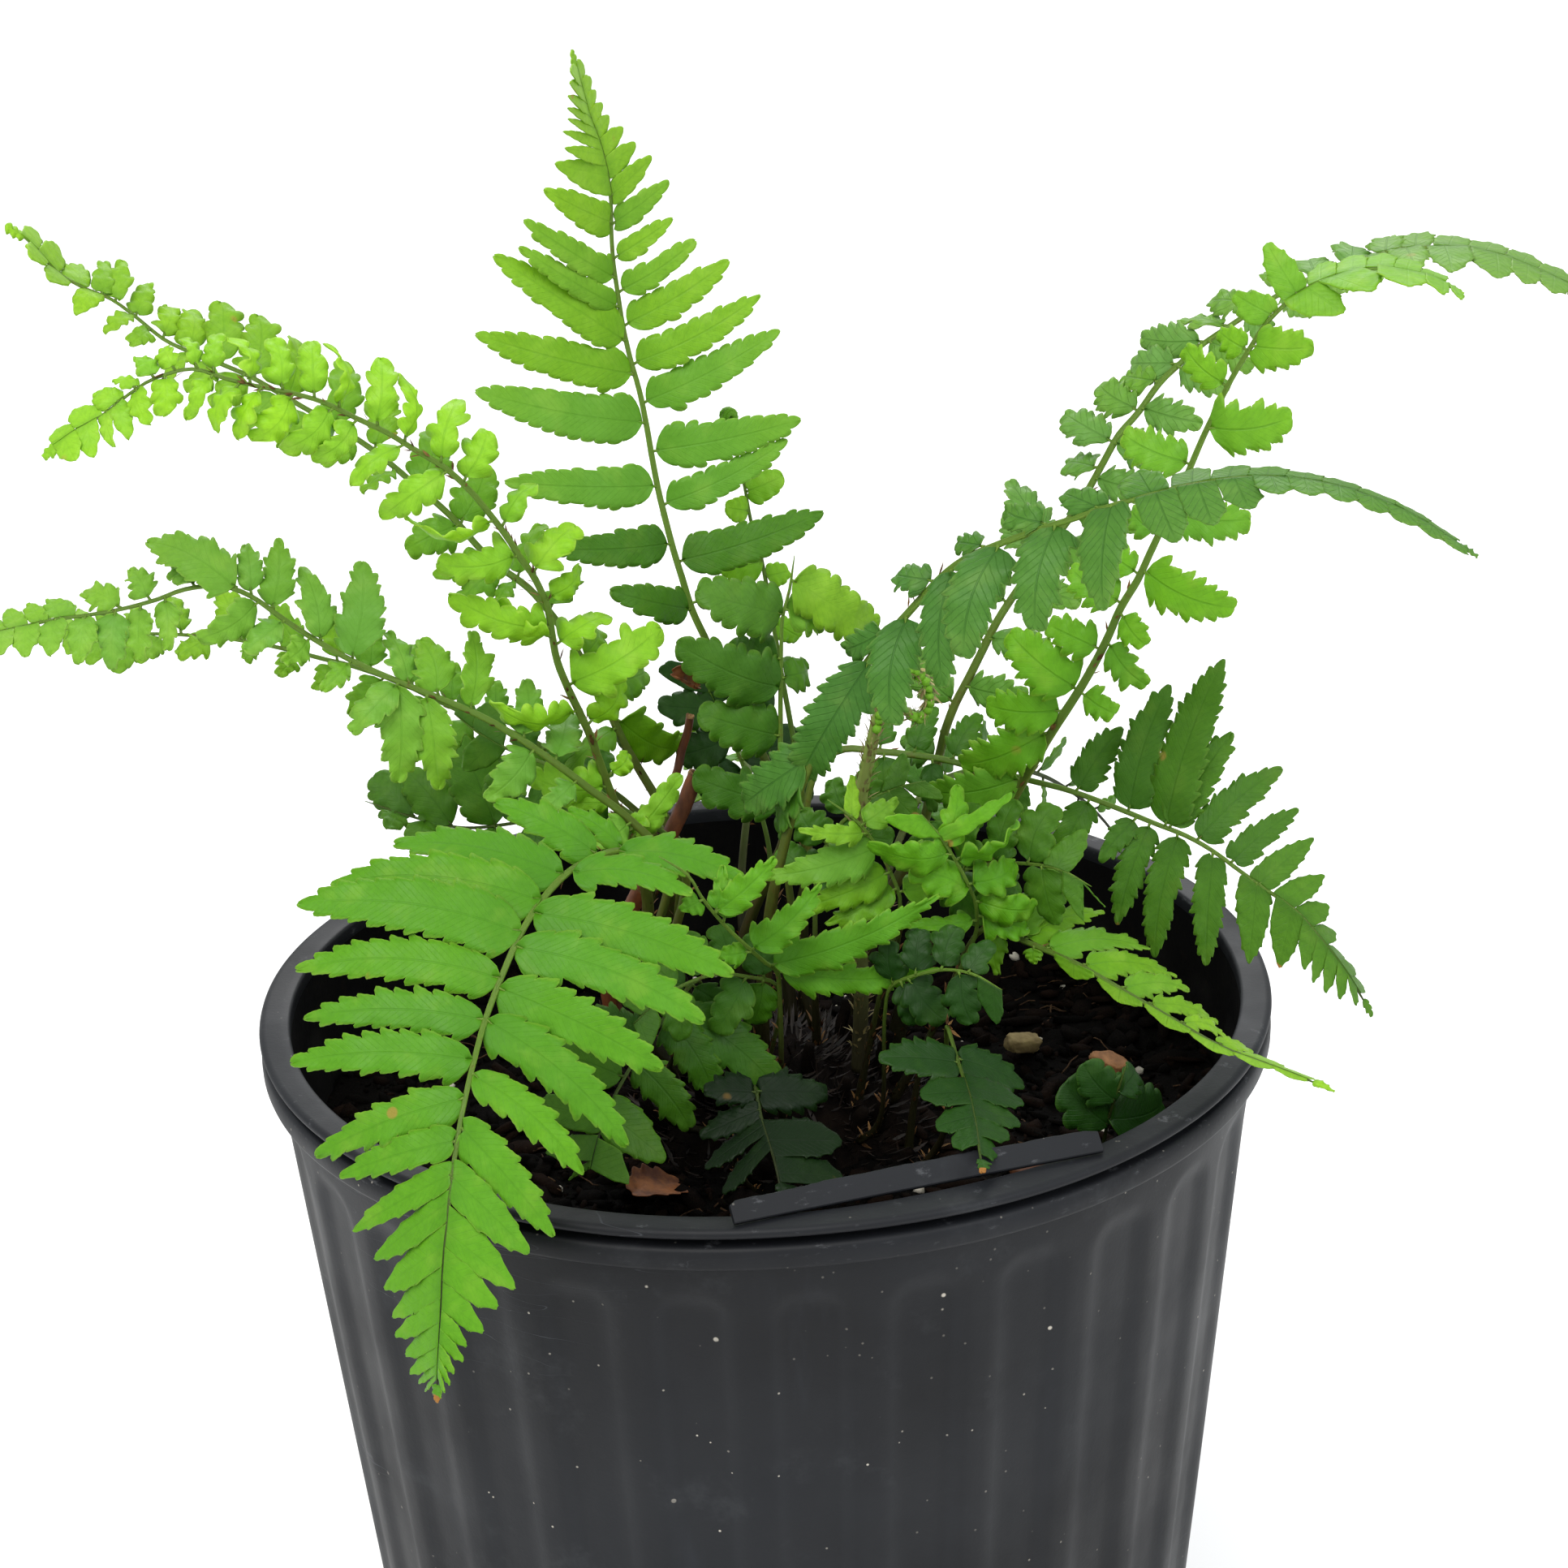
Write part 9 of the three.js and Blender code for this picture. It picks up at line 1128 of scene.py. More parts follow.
def build_pot():
    piece = Piece("pot_moulded")
    per = 14
    n = FLUTES * per
    angles = np.arange(n) * 2 * math.pi / n
    outer = []  # (radius, height, fluted)

    def body(z):
        return BODY_TOP_R - TAPER * (BODY_TOP_Z - z)

    def arc(cx, cz, r, a0, a1, k, sx=1.0):
        return [(cx + r * sx * math.cos(math.radians(a0 + (a1 - a0) * i / (k - 1))), cz + r * math.sin(math.radians(a0 + (a1 - a0) * i / (k - 1)))) for i in range(k)]

    prof = [(60.2, 0.0), (61.3, 0.25), (62.1, 1.0), (62.6, 2.2)]
    low = len(prof)
    zs = [4, 6.5, 9, 10.5, 12, 13.5, 16, 24, 34, 46, 60, 75, 90, 105, 120, 132, 140, 145, 147.5, 149, 150, 150.6, 151.2, 151.8, 152.4, 153, 153.6, 154.4, 155.6, 157.0, 157.6]
    rings = [(r, z, False) for r, z in prof] + [(body(z), z, True) for z in zs]
    collar = [(80.1, 157.95), (80.9, 158.1), (81.7, 158.2), (82.15, 158.45), (82.3, 158.9), (82.35, 160.2), (82.2, 161.3), (81.9, 161.75), (81.2, 161.95), (79.9, 162.05)]
    groove = [(79.55, 162.3), (79.5, 162.8), (79.7, 163.15)]
    bead = [(81.2, 163.25), (81.9, 163.4), (82.3, 163.75), (82.45, 164.15), (82.3, 164.6), (81.9, 164.9), (81.3, 165.0)]
    rings += [(r, z, False) for r, z in collar + groove + bead]
    rings += [(79.2, 164.98, False), (78.0, 165.0, False), (77.6, 164.85, False), (77.4, 164.4, False), (77.42, 162.5, False)]
    inner = [161, 159, 157, 155, 154, 153.2, 152.4, 151.6, 150.8, 150, 149, 147, 144, 140, 120, 80, 40, 14]
    for z in inner:
        rings.append((min(body(z) - 1.5, 77.5), z, True))
    rings += [(61.4, 6.0, False), (60.0, 4.0, False), (52.0, 3.8, False), (20.0, 3.8, False)]
    # the underside: resting ring, shallow recess, flat middle
    under = [(59.0, 0.0), (54.4, 0.0), (53.8, 0.3), (53.4, 1.4), (52.6, 2.1), (51.5, 2.2), (37.0, 2.2), (36.0, 2.0), (35.4, 1.2), (34.8, 0.3), (34.0, 0.0), (18.0, 0.0)]
    rows = [(r, z, False) for r, z in reversed(under)] + rings
    verts, wear, flute_side_dust_and_sheen = [], [], []
    inside = len(under) + len(prof) + len(zs) + len(collar) + len(groove) + len(bead) + 4
    for r, z, fl in rows:
        rr = np.full(n, r)
        flute_side_dust_and_sheen.append(np.zeros(n))
        if fl:
            share = np.array([flute_share(((a + math.pi) % (2 * math.pi)) - math.pi, z) for a in angles])
            rr = rr - FLUTE_DEPTH * share
            # flute sides: dust in the recesses and a painted sheen that brings out the flutes
            flute_side_dust_and_sheen[-1] = 4 * share * (1 - share)
        # the lip is pressed in a little under the strip
        if z > 161 and r < 79.5:
            turn = (angles - math.radians(22) + math.pi) % (2 * math.pi) - math.pi
            rr = rr - 1.3 * np.exp(-((turn / math.radians(15)) ** 2)) * (0.4 if r > 79 else 1.0)
        # the mouth of a used pot is never quite round
        top = smooth(60, 165, z)
        rr = rr + top * (0.32 * np.cos(2 * angles + 0.9) + 0.12 * np.cos(5 * angles + 2.0))
        zz = z + smooth(150, 163, z) * (0.22 * np.sin(3 * angles + 0.4) + 0.10 * np.sin(7 * angles + 1.1)) if z > 150 else np.full(n, z)
        verts.append(np.stack([rr * np.sin(angles), -rr * np.cos(angles), zz * np.ones(n)], axis=1))
        wear.append(np.full(n, z / 165.0))
    nrow = len(rows)
    verts.append([[0, 0, 0.0]])
    verts.append([[0, 0, 3.8]])
    # faces from the mouth inward take the inside material: soiled, and darker as painted shade
    faces, finish = [], []
    for i in range(nrow - 1):
        for j in range(n):
            k = (j + 1) % n
            faces.append((i * n + j, i * n + k, (i + 1) * n + k, (i + 1) * n + j))
            finish.append(1 if i >= inside else 0)
    c0, c1 = nrow * n, nrow * n + 1
    for j in range(n):
        k = (j + 1) % n
        faces.append((c0, k, j))
        faces.append((c1, (nrow - 1) * n + j, (nrow - 1) * n + k))
        finish += [0, 1]
    piece.add(np.vstack(verts), faces, 0, pos=np.concatenate(wear + [[0.0, 0.02]]), edge=np.concatenate(flute_side_dust_and_sheen + [[0.0, 0.0]]))
    piece.m = finish
    obj = piece.make([MATERIALS["pot"], MATERIALS["pot_inside"]])
    # drain holes
    import bmesh

    bm = bmesh.new()
    for k in range(8):
        a = 2 * math.pi * (k + 0.5) / 8
        m = Matrix.Translation(Vector((44 * math.cos(a), 44 * math.sin(a), 3.0)) * MM)
        bmesh.ops.create_cone(bm, cap_ends=True, segments=36, radius1=4.5 * MM, radius2=4.5 * MM, depth=8 * MM, matrix=m)
    mesh = bpy.data.meshes.new("hole_tool")
    bm.to_mesh(mesh)
    bm.free()
    tool = bpy.data.objects.new("hole_tool", mesh)
    scene.collection.objects.link(tool)
    cut = obj.modifiers.new("holes", "BOOLEAN")
    cut.operation, cut.solver, cut.object = "DIFFERENCE", "EXACT", tool
    bpy.context.view_layer.objects.active = obj
    dg = bpy.context.evaluated_depsgraph_get()
    done = bpy.data.meshes.new_from_object(obj.evaluated_get(dg))
    obj.modifiers.clear()
    obj.data = done
    bpy.data.objects.remove(tool)
    obj.name = "pot_moulded"
    for p in obj.data.polygons:
        p.use_smooth = True
    obj.data.set_sharp_from_angle(angle=math.radians(48))
    return place(obj, "pot_plastic", "pot")


def build_strip():
    """The straight strip of black plastic that lies across the rim."""
    piece = Piece("rim_strip_band")
    a, b = np.array((-5.6, -80.2)), np.array((49.4, -61.9))
    run = np.linalg.norm(b - a)
    d = (b - a) / run
    inward = np.array((-d[1], d[0]))
    rng = np.random.default_rng(12)
    n = 60
    rows = []
    for i in range(n):
        f = i / (n - 1)
        w = np.interp(f, [0, 0.015, 0.3, 0.6, 0.97, 1], [2.9, 3.4, 3.8, 3.9, 3.7, 3.2]) + 0.05 * math.sin(31 * f) + 0.04 * rng.normal()
        sag = 0.25 * math.sin(math.pi * f)
        sect = [(0.12, 0.0), (w - 0.14, 0.0), (w, 0.16), (w, 0.78), (w - 0.16, 0.95), (0.5 * w, 0.99), (0.16, 0.95), (0.0, 0.8), (0.0, 0.14)]
        for p, q in sect:
            h, z = p * 0.72 - q * 0.69, p * 0.69 + q * 0.72
            xy = a + d * run * f + inward * (h - 0.6 + sag * 0.3)
            rows.append((xy[0], xy[1], 165.15 + z))
    k = 9
    faces = [f[::-1] for f in grid_faces(n, k, wrap=True)]
    faces = [(f[3], f[2], f[1], f[0]) for f in faces]
    piece.add(rows, faces + [tuple(range(k - 1, -1, -1)), tuple(range((n - 1) * k, n * k))], 0, pos=1.0)
    obj = piece.make([MATERIALS["pot"]])
    obj.data.set_sharp_from_angle(angle=math.radians(35))
    return place(obj, "pot_plastic", "rim_strip")


# ---------------------------------------------------------------- mix and crown
CROWN_X, CROWN_Y = 2.0, 0.0


def mix_height(x, y):
    r = math.hypot(x - CROWN_X, y - CROWN_Y)
    h = 141.6 + 1.5 * fbm(x, y, 3.0, 0.035, 3) + 0.9 * fbm(x, y, 9.0, 0.16, 3)
    h += 2.2 * math.exp(-((r / 30) ** 4))
    return h


def build_mix():
    piece = Piece("potting_mix_bed")
    rings, seg = 74, 220
    top = 75.4
    verts, tone = [], []
    for i in range(1, rings + 1):
        r = top * i / rings
        for j in range(seg):
            a = 2 * math.pi * j / seg
            x, y = r * math.cos(a), r * math.sin(a)
            verts.append((x, y, mix_height(x, y) + (0.45 * fbm(x, y, 1.0, 0.6, 2))))
            tone.append(0.3)
    side = [(74.9, 136), (71.0, 100), (66.5, 60), (62.0, 20), (60.4, 7), (58.5, 4.7)]
    for r, z in side:
        for j in range(seg):
            a = 2 * math.pi * j / seg
            verts.append((r * math.cos(a), r * math.sin(a), z))
            tone.append(0.3)
    faces = [f for f in grid_faces(rings + len(side), seg, wrap=True)]
    faces = [(f[1], f[0], f[3], f[2]) for f in faces]
    c = len(verts)
    verts += [(0, 0, mix_height(0, 0)), (0, 0, 4.7)]
    tone += [0.3, 0.3]
    last = (rings + len(side) - 1) * seg
    for j in range(seg):
        k = (j + 1) % seg
        faces.append((c, j, k))
        faces.append((c + 1, last + k, last + j))
    piece.add(verts, faces, 0, rnd=np.array(tone))
    rng = np.random.default_rng(31)
    # bark fibre and crumbs
    for _ in range(5200):
        r, a = 75.2 * math.sqrt(rng.random()), rng.random() * 2 * math.pi
        x, y = r * math.cos(a), r * math.sin(a)
        size = 0.35 + 1.5 * rng.random() ** 3.2
        v, f = lump_shape(rng, 0.28)
        shape = v * np.array((size * (0.9 + 1.1 * rng.random()), size * (0.5 + 0.5 * rng.random()), size * (0.4 + 0.4 * rng.random())))
        spot = np.array((x, y, mix_height(x, y) + size * 0.18))
        piece.add(spot + shape @ turned(rng, 0.9).T, f, 0, rnd=rng.random() ** 1.6)
    # flat bark flakes
    for _ in range(460):
        r, a = 72.5 * math.sqrt(rng.random()), rng.random() * 2 * math.pi
        x, y = r * math.cos(a), r * math.sin(a)
        lx, ly, lz = 1.6 + 3.4 * rng.random() ** 2, 1.0 + 1.6 * rng.random(), 0.35 + 0.5 * rng.random()
        v, f = lump_shape(rng, 0.22)
        v = np.sign(v) * np.abs(v) ** 0.6
        spot = np.array((x, y, mix_height(x, y) + 0.5 * lz + 0.3))
        piece.add(spot + (v * (lx, ly, lz)) @ turned(rng, 0.5).T, f, 0, rnd=0.35 + 0.65 * rng.random())
    # perlite
    for _ in range(70):
        r, a = 73 * math.sqrt(rng.random()), rng.random() * 2 * math.pi
        x, y = r * math.cos(a), r * math.sin(a)
        size = 0.5 + 0.8 * rng.random() ** 2
        v, f = lump_shape(rng, 0.3)
        piece.add(np.array((x, y, mix_height(x, y) + size * 0.35)) + v * size, f, 1, rnd=rng.random())
    # fine dead roots
    for k in range(150):
        r, a = 70 * math.sqrt(rng.random()), rng.random() * 2 * math.pi
        x, y, way = r * math.cos(a), r * math.sin(a), rng.random() * 2 * math.pi
        pts = []
        for i in range(8):
            way += rng.normal() * 0.35
            x, y = x + math.cos(way) * 1.3, y + math.sin(way) * 1.3
            if math.hypot(x, y) > 73.5:
                break
            pts.append((x, y, mix_height(x, y) + 0.55 + 0.5 * math.sin(i * 0.8 + k)))
        if len(pts) > 3:
            add_tube(piece, np.array(pts), np.full(len(pts), 0.10 + 0.08 * rng.random()), sides=5, slot=2, rnd=rng.random())
    obj = piece.make([MATERIALS["mix"], MATERIALS["perlite"], MATERIALS["root"]])
    return place(obj, "potting_mix", "potting_mix")


def crown_height(x, y):
    r = min(1.0, math.hypot(x - CROWN_X, y - CROWN_Y) / 27.5)
    return 139.5 + 15.5 * (1 - r * r) + 1.3 * fbm(x, y, 5.0, 0.13, 3)


def build_crown():
    piece = Piece("crown_scaly")
    rings, seg = 26, 96
    verts = []
    for i in range(1, rings + 1):
        r = 27.0 * i / rings
        for j in range(seg):
            a = 2 * math.pi * j / seg
            x, y = CROWN_X + r * math.cos(a), CROWN_Y + r * math.sin(a)
            verts.append((x, y, crown_height(x, y)))
    faces = [(f[1], f[0], f[3], f[2]) for f in grid_faces(rings, seg, wrap=True)]
    c = len(verts)
    verts.append((CROWN_X, CROWN_Y, crown_height(CROWN_X, CROWN_Y)))
    faces += [(c, j, (j + 1) % seg) for j in range(seg)]
    rng = np.random.default_rng(63)
    piece.add(verts, faces, 0, rnd=0.2)
    # knobs where older fronds grew
    for _ in range(34):
        r, a = 25 * math.sqrt(rng.random()), rng.random() * 2 * math.pi
        x, y = CROWN_X + r * math.cos(a), CROWN_Y + r * math.sin(a)
        z = crown_height(x, y)
        out = np.array((math.cos(a) * 0.5 * r / 25, math.sin(a) * 0.5 * r / 25, 1.0))
        length = 3.5 + 5 * rng.random()
        path = np.array([np.array((x, y, z - 1.5)) + unit(out) * length * k / 4 + rng.normal(0, 0.12, 3) for k in range(5)])
        add_tube(piece, path, np.linspace(1.5, 0.9, 5) * (0.7 + 0.4 * rng.random()), sides=9, slot=0, rough=0.25, seed=int(rng.integers(1e6)), rnd=rng.random() * 0.6)
    # scales
    for _ in range(1500):
        r, a = 27 * math.sqrt(rng.random()), rng.random() * 2 * math.pi
        x, y = CROWN_X + r * math.cos(a), CROWN_Y + r * math.sin(a)
        z = crown_height(x, y)
        out = unit((math.cos(a) * r / 30, math.sin(a) * r / 30, 0.9))
        way = unit((math.cos(a), math.sin(a), 0.25)) + rng.normal(0, 0.7, 3)
        way[2] = abs(way[2])
        add_scale(piece, np.array((x, y, z)), way, out, 1.8 + 2.6 * rng.random(), 0.5 + 0.5 * rng.random(), 1, rng.random(), curl=0.8)
    obj = piece.make([MATERIALS["crown"], MATERIALS["scale_dark_and_painted_shade"]])
    return place(obj, "crown", "crown_rhizome")


# ---------------------------------------------------------------- crozier, stubs, dry bits and chips
def build_crozier():
    piece = Piece("crozier_hooked")
    ctrl = [
        (14.6, -8.6, 153.6), (15.4, -9, 168), (15.4, -9.0, 182.5), (15.6, -9.0, 190.9), (16.3, -9.0, 201.7),
        (18.3, -8.0, 210.6), (19.9, -8.0, 216.7), (21.5, -7.6, 221.0), (24.4, -7.0, 222.6), (26.9, -6.0, 220.0),
        (27.4, -5.4, 216.3), (25.8, -5.2, 213.4), (23.9, -5.4, 214.8),
    ]
    path = spline(ctrl, 1.2)
    n = len(path)
    f = np.linspace(0, 1, n)
    radii = 1.25 - 0.35 * f - 0.25 * smooth(0.75, 1.0, f)
    add_tube(piece, path, radii, sides=12, slot=0, rough=0.08, seed=3, pos=0.15 + 0.7 * f)
    scatter_scales(piece, path, radii, 520, 1.5, 0.42, 1, 71, 0.02, 1.0, 0.75, stand=0.75, up=0.9)
    # folded leaflets still packed along the hook
    rng = np.random.default_rng(8)
    T, S, B = frames_along(path)
    for i in range(int(n * 0.70), n - 1):
        for k in (-1, 1):
            r = 0.75 + 0.35 * rng.random()
            bulb(piece, path[i] + np.array((0, 1.0, 0)) * k * radii[i] + B[i] * 0.2 * rng.normal(), r, 2, rng, pos=0.5, rnd=rng.random() * 0.5, x=rng.random() * 3, y=0.6, u=0.5)
    obj = piece.make([MATERIALS["stalk_pale"], MATERIALS["scale_pale"], MATERIALS["leaf_bright"]])
    return place(obj, "crozier", "crozier_hairy")


def build_stub(name, node, ctrl, radii, seed, hollow):
    piece = Piece(name)
    path = spline(ctrl, 1.0)
    f = np.linspace(0, 1, len(path))
    r = np.interp(f, np.linspace(0, 1, len(radii)), radii)
    path = path + np.array([[0.25 * fbm(i * 0.21, seed, 0, 1, 2), 0.25 * fbm(i * 0.21, seed, 9, 1, 2), 0] for i in range(len(path))])
    add_tube(piece, path, r, sides=14, slot=0, groove=0.3, rough=0.10, seed=seed, pos=f, caps=False)
    # the cut end: a torn rim round a darker pith
    T, S, B = frames_along(path)
    rng = np.random.default_rng(seed)
    k = 14
    c, t, s, b, rr = path[-1], T[-1], S[-1], B[-1], r[-1]
    rows = []
    for scale, rise in ((1.0, 0.0), (1.04, 0.35), (0.86, 0.42), (0.66, 0.1), (0.5, -0.7 if hollow else -0.1)):
        for j in range(k):
            a = 2 * math.pi * j / k
            lift = rise + (0.45 * (rng.random() - 0.4) if 0.8 < scale < 1.1 and rise else 0.0)
            rows.append(c + s * math.cos(a) * rr * scale + b * math.sin(a) * rr * scale + t * lift)
    rows.append(c + t * (-1.0 if hollow else -0.15))
    faces = [(q[3], q[2], q[1], q[0]) for q in [f2[::-1] for f2 in grid_faces(5, k, wrap=True)]]
    faces += [(4 * k + j, 4 * k + (j + 1) % k, 5 * k) for j in range(k)]
    piece.add(rows, faces, 1, rnd=0.5)
    scatter_scales(piece, path, r, 26, 1.6, 0.4, 2, seed + 5, 0.0, 0.7, 1.2, stand=0.5)
    obj = piece.make([MATERIALS["dead_stem"], MATERIALS["pith"], MATERIALS["scale_dark_and_painted_shade"]])
    return place(obj, "dead_stem", node)


def build_dry_leaf(name, node, centre, size, fold, seed, turn):
    """A dead leaflet, curled and torn."""
    piece = Piece(name)
    rng = np.random.default_rng(seed)
    nu, nv = 22, 13
    rows, U = [], []
    M = np.array(Matrix.Rotation(turn[2], 3, "Z") @ Matrix.Rotation(turn[1], 3, "Y") @ Matrix.Rotation(turn[0], 3, "X"))
    for i in range(nu):
        u = i / (nu - 1)
        w = math.sin(math.pi * min(1, u * 0.92 + 0.06)) ** 0.6 * (1 + 0.14 * math.sin(9 * u * math.pi + seed))
        for j in range(nv):
            v = -1 + 2 * j / (nv - 1)
            a = fold * v * 1.2
            x = (u - 0.5) * size[0] + 0.25 * math.sin(6 * v)
            rad = size[1] / 2 / max(0.4, fold)
            y = math.sin(a) * rad * w
            z = (1 - math.cos(a)) * rad * w + size[2] * 0.35 * math.sin(u * 4.2 + 0.6) + 0.28 * fbm(u * 5, v * 2, seed, 1.4, 3)
            rows.append(np.array(centre) + M @ np.array((x, y, z)))
            U.append(u)
    piece.add(rows, grid_faces(nu, nv), 0, u=U, rnd=0.4, y=np.tile(np.linspace(-3, 3, nv), nu), x=np.repeat(np.linspace(0, 9, nu), nv))
    obj = piece.make([MATERIALS["dead_leaf"]])
    thick = obj.modifiers.new("thickness", "SOLIDIFY")
    thick.thickness, thick.offset = 0.0002, 0.0
    sub = obj.modifiers.new("smooth", "SUBSURF")
    sub.levels = sub.render_levels = 1
    return place(obj, "dead_leaf", node)


def build_chip(name, node, centre, size, turn, seed, material, slot):
    """A bark or stone chip: a split, angular lump."""
    piece = Piece(name)
    rng = np.random.default_rng(seed)
    v, f = ico(4)
    v = np.sign(v) * np.abs(v) ** 0.62
    bump = np.array([1 + 0.16 * fbm(p[0] * 1.3, p[1] * 1.3 + seed, p[2] * 1.3, 1.0, 3) + 0.05 * fbm(p[0] * 9, p[1] * 2, p[2] * 6 + seed, 1.0, 2) for p in v])
    M = np.array(Matrix.Rotation(turn[1], 3, "Z") @ Matrix.Rotation(turn[0], 3, "Y"))
    verts = np.array(centre) + (v * bump[:, None] * np.array(size) / 2) @ M.T
    piece.add(verts, f, 0, rnd=rng.random())
    obj = piece.make([MATERIALS[material]])
    return place(obj, slot, node)


# ---------------------------------------------------------------- finishes
def pot_material():
    n = Nodes("pot_black_plastic")
    pos = n.attr("pos")
    cloud = n.noise(18, 4, 0.55)
    base = n.mix(n.ramp(cloud, 0.3, 0.72), colour(17, 18, 21), colour(27, 29, 33))
    tint = n.noise(7, 2, 0.5)
    base = n.mix(n.ramp(tint, 0.45, 0.7, 0.0, 0.35), base, colour(23, 30, 36))
    # flute sides lightened a little: dust in the recesses and painted sheen that brings out the flutes
    base = n.mix(n.math("MULTIPLY", n.ramp(n.attr("edge"), 0.3, 1.0), 0.03), base, colour(66, 70, 76))
    # handling dust and dried water marks; the vertical streaks are partly water runs and partly painted sheen
    film = n.noise(55, 6, 0.7)
    base = n.mix(n.ramp(film, 0.55, 0.80, 0.0, 0.30), base, colour(66, 69, 72))
    streaks_water_and_sheen = n.noise(60, 5, 0.65, n.stretch(1.0, 1.0, 0.12))
    base = n.mix(n.ramp(streaks_water_and_sheen, 0.58, 0.75, 0.0, 0.22), base, colour(52, 56, 63))
    # fine pale specks, some of them in drifts
    cells = n.voronoi(430)
    drift = n.ramp(n.noise(34, 3, 0.5), 0.45, 0.72)
    speck = n.math("MULTIPLY", n.ramp(cells, 0.105, 0.06), n.ramp(n.voronoi(430, "Color"), 0.62, 0.66))
    big = n.math("MULTIPLY", n.ramp(n.voronoi(120), 0.062, 0.04), n.ramp(n.noise(60, 2, 0.5), 0.52, 0.60))
    speck = n.math("MAXIMUM", n.math("MULTIPLY", speck, n.math("ADD", 0.18, drift)), big, clamp=True)
    base = n.mix(n.math("MULTIPLY", speck, 0.8), base, colour(190, 184, 172))
    # scuffs along the edge of the lip and collar
    edge = n.ramp(pos, 0.945, 0.995)
    scuff = n.ramp(n.noise(240, 5, 0.7, n.stretch(1, 1, 3.0)), 0.60, 0.74)
    base = n.mix(n.math("MULTIPLY", n.math("MULTIPLY", edge, scuff), 0.35), base, colour(112, 114, 118))
    # hairline scratches
    lines = n.noise(24, 2, 0.4, n.stretch(0.6, 0.6, 9.0), distortion=1.2)
    hair = n.ramp(n.math("ABSOLUTE", n.math("SUBTRACT", lines, 0.5)), 0.0035, 0.0)
    where = n.ramp(n.noise(13, 2, 0.5), 0.55, 0.68)
    hair = n.math("MULTIPLY", hair, where)
    base = n.mix(n.math("MULTIPLY", hair, 0.35), base, colour(92, 96, 102))
    grain = n.noise(1500, 3, 0.6)
    height = n.math("ADD", n.math("MULTIPLY", grain, 0.35), n.math("MULTIPLY", n.noise(120, 3, 0.5), 0.5))
    height = n.math("ADD", height, n.math("MULTIPLY", speck, 0.8))
    height = n.math("SUBTRACT", height, n.math("MULTIPLY", hair, 0.6))
    normal = n.bump(height, 0.35, 0.00022)
    rough = n.ramp(n.noise(40, 4, 0.6), 0.3, 0.75, 0.46, 0.60)
    rough = n.math("ADD", rough, n.math("MULTIPLY", speck, 0.3))
    return n.finish(n.principled(base, rough, normal, specular=0.19).outputs[0])


def pot_inside_soil_and_shade_material():
    """The inner wall: the same plastic, dull with soil, and darker as painted shade inside the pot."""
    n = Nodes("pot_soiled_inside_painted_shade")
    base = n.mix(n.ramp(n.noise(60, 5, 0.65), 0.3, 0.7), colour(8, 8, 9), colour(17, 16, 15))
    base = n.mix(n.ramp(n.noise(380, 4, 0.65), 0.58, 0.75, 0.0, 0.4), base, colour(34, 27, 20))
    normal = n.bump(n.noise(500, 4, 0.6), 0.4, 0.0003)
    return n.finish(n.principled(base, 0.74, normal, specular=0.07).outputs[0])


def mix_material():
    n = Nodes("potting_mix_dark")
    rnd = n.attr("rnd")
    # the mix is dark, and made darker still as painted shade under the fronds
    base = n.mix(n.ramp(rnd, 0.25, 1.0), colour(6, 5, 4), colour(25, 16, 11))
    base = n.mix(n.ramp(n.noise(420, 4, 0.65), 0.38, 0.72, 0.0, 0.7), base, colour(7, 6, 5))
    base = n.mix(n.ramp(n.noise(1400, 3, 0.6), 0.6, 0.78, 0.0, 0.3), base, colour(40, 28, 19))
    normal = n.bump(n.noise(900, 5, 0.7), 0.9, 0.0006)
    return n.finish(n.principled(base, 0.9, normal, specular=0.04).outputs[0])


def simple_material(name, dark, light, scale, rough, depth=0.0004, specular=0.3, stretch=None):
    n = Nodes(name)
    rnd = n.attr("rnd")
    vector = n.stretch(*stretch) if stretch else None
    grain = n.noise(scale, 5, 0.65, vector)
    base = n.mix(n.ramp(grain, 0.32, 0.70), dark, light)
    base = n.mix(n.ramp(n.noise(scale * 3.1, 3, 0.6), 0.5, 0.75, 0.0, 0.4), base, dark)
    base = n.mix(n.math("MULTIPLY", rnd, 0.35), base, dark)
    normal = n.bump(grain, 0.7, depth)
    return n.finish(n.principled(base, rough, normal, specular=specular).outputs[0])


VEIN_DARK = colour(40, 92, 28)
MATERIALS = {}


